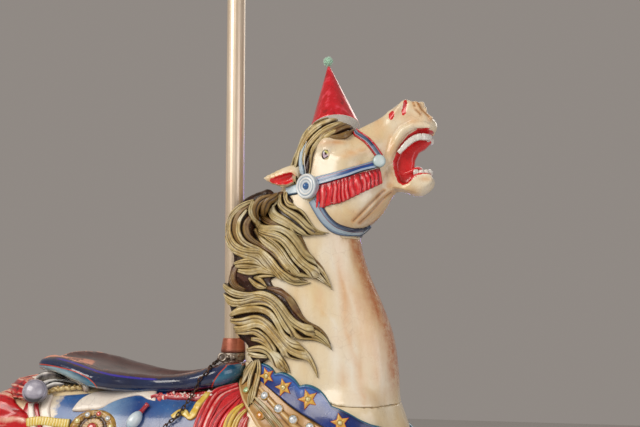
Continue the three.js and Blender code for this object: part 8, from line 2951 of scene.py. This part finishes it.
# ---------------------------------------------------------------- tail
TAIL = [
    [-662, 0, 802, 22, 22], [-702, 0, 812, 25, 23], [-744, 0, 800, 31, 28], [-780, 0, 758, 38, 33], [-797, 0, 698, 42, 36], [-798, 0, 634, 40, 34],
    [-795, 0, 574, 34, 30], [-807, 0, 520, 26, 24], [-828, 0, 480, 14, 14], [-843, 0, 460, 6, 6],
]
tail_grid = Grid((-880, -56, 430), (-640, 0, 870), 2.4, half=True)
loft_into(tail_grid, limb_loft(TAIL, 48, 8))


def xz(x, z):
    u, v = seen_at(np.array([[x, -40.0, z]]))
    return float(np.ravel(u)[0]), float(np.ravel(v)[0])


TAIL_LOCKS = [
    ([(-660, 814), (-702, 832), (-748, 822), (-792, 782), (-822, 722), (-832, 656), (-824, 590), (-826, 540), (-840, 500), (-858, 466)], [10, 17, 19, 20, 20, 20, 19, 16, 12, 5], 0.0, 2),
    ([(-658, 802), (-698, 816), (-740, 804), (-776, 766), (-802, 706), (-810, 644), (-804, 584), (-800, 534), (-812, 492), (-834, 460)], [12, 19, 21, 23, 24, 23, 21, 17, 12, 5], 0.05, 4),
    ([(-656, 790), (-692, 798), (-728, 784), (-758, 742), (-776, 686), (-782, 624), (-776, 568), (-778, 524), (-792, 488), (-816, 464)], [12, 18, 20, 22, 22, 21, 19, 15, 11, 5], 0.0, 3),
    ([(-664, 782), (-702, 780), (-730, 748), (-750, 700), (-758, 642), (-754, 588), (-758, 548), (-774, 512)], [10, 15, 17, 18, 18, 17, 13, 5], 0.1, 1),
    ([(-690, 776), (-722, 728), (-742, 668), (-742, 612), (-750, 562), (-764, 528)], [8, 12, 13, 13, 11, 4], 0.35, 0),
]
tlk = [lock(tail_grid, pts, w, 700 + i, lift=lift, tone=tone, px=xz, step=5.0, ridge=6.6) for i, (pts, w, tone, lift) in enumerate(TAIL_LOCKS)]
core = tail_grid.mesh(0.3)
mesh, shade = gather(tlk)
cs = np.hstack([np.tile([0.75, 0.7, 0.5], (len(core[0]), 1)), core[0] * [0.003, 0.0006, 0.002]])
tm_ = join([core, mesh, flip(mesh)])
put("tail_carving", tm_, HAIR, replaces=("tail",), masks={"hair": np.vstack([cs, shade, shade])})
print("tail box", tm_[0].min(0).round(1), tm_[0].max(0).round(1))

# ---------------------------------------------------------------- floor and light
def plain_floor():
    m = Mat("studio_floor", rough=0.9)
    m.colour(m.mix(m.noise(3, 2, 0.5), (0.70, 0.69, 0.67), (0.73, 0.72, 0.70)))
    v = np.array([[-6000, -6000, 0], [6000, -6000, 0], [6000, 6000, 0], [-6000, 6000, 0]], float)
    me = bpy.data.meshes.new("studio_floor")
    me.from_pydata([tuple(p * 0.001) for p in v], [], [(0, 1, 2, 3)])
    me.materials.append(m.m)
    ob = bpy.data.objects.new("studio_floor", me)
    scene.collection.objects.link(ob)
    ob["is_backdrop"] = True


plain_floor()


def lamp(name, at, size, power, colour=(1, 1, 1), aim=(0, 0, 1.1)):
    d = bpy.data.lights.new(name, "AREA")
    d.shape = "RECTANGLE"
    d.size, d.size_y = size
    d.energy = power
    d.color = colour
    o = bpy.data.objects.new(name, d)
    o.location = at
    o.rotation_euler = (Vector(aim) - Vector(at)).to_track_quat("-Z", "Y").to_euler()
    scene.collection.objects.link(o)


lamp("key", (-1.7, -2.7, 3.1), (2.6, 2.0), 92, (1.0, 0.955, 0.89))
lamp("fill", (2.9, -2.0, 1.6), (2.4, 2.0), 26, (0.96, 0.95, 1.0))
lamp("back", (0.9, 3.6, 2.9), (2.6, 1.6), 22, (1.0, 0.95, 0.88))
lamp("red_glow", (-1.9, 2.6, 1.6), (0.9, 0.7), 1.6, (1.0, 0.30, 0.12), aim=(-0.3, 0, 0.95))
lamp("violet_glow", (-0.2, 3.0, 1.7), (0.9, 0.6), 8, (0.42, 0.28, 1.0), aim=(-0.2, 0, 0.95))
world = bpy.data.worlds.new("world")
world.use_nodes = True
world.node_tree.nodes["Background"].inputs[0].default_value = (0.40, 0.36, 0.33, 1)
world.node_tree.nodes["Background"].inputs[1].default_value = 0.70
scene.world = world

# ---------------------------------------------------------------- sizes
flat = lambda b: [[float(c) for c in p] for p in b]
{"cad": flat(cad_box), "visual": flat(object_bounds())}
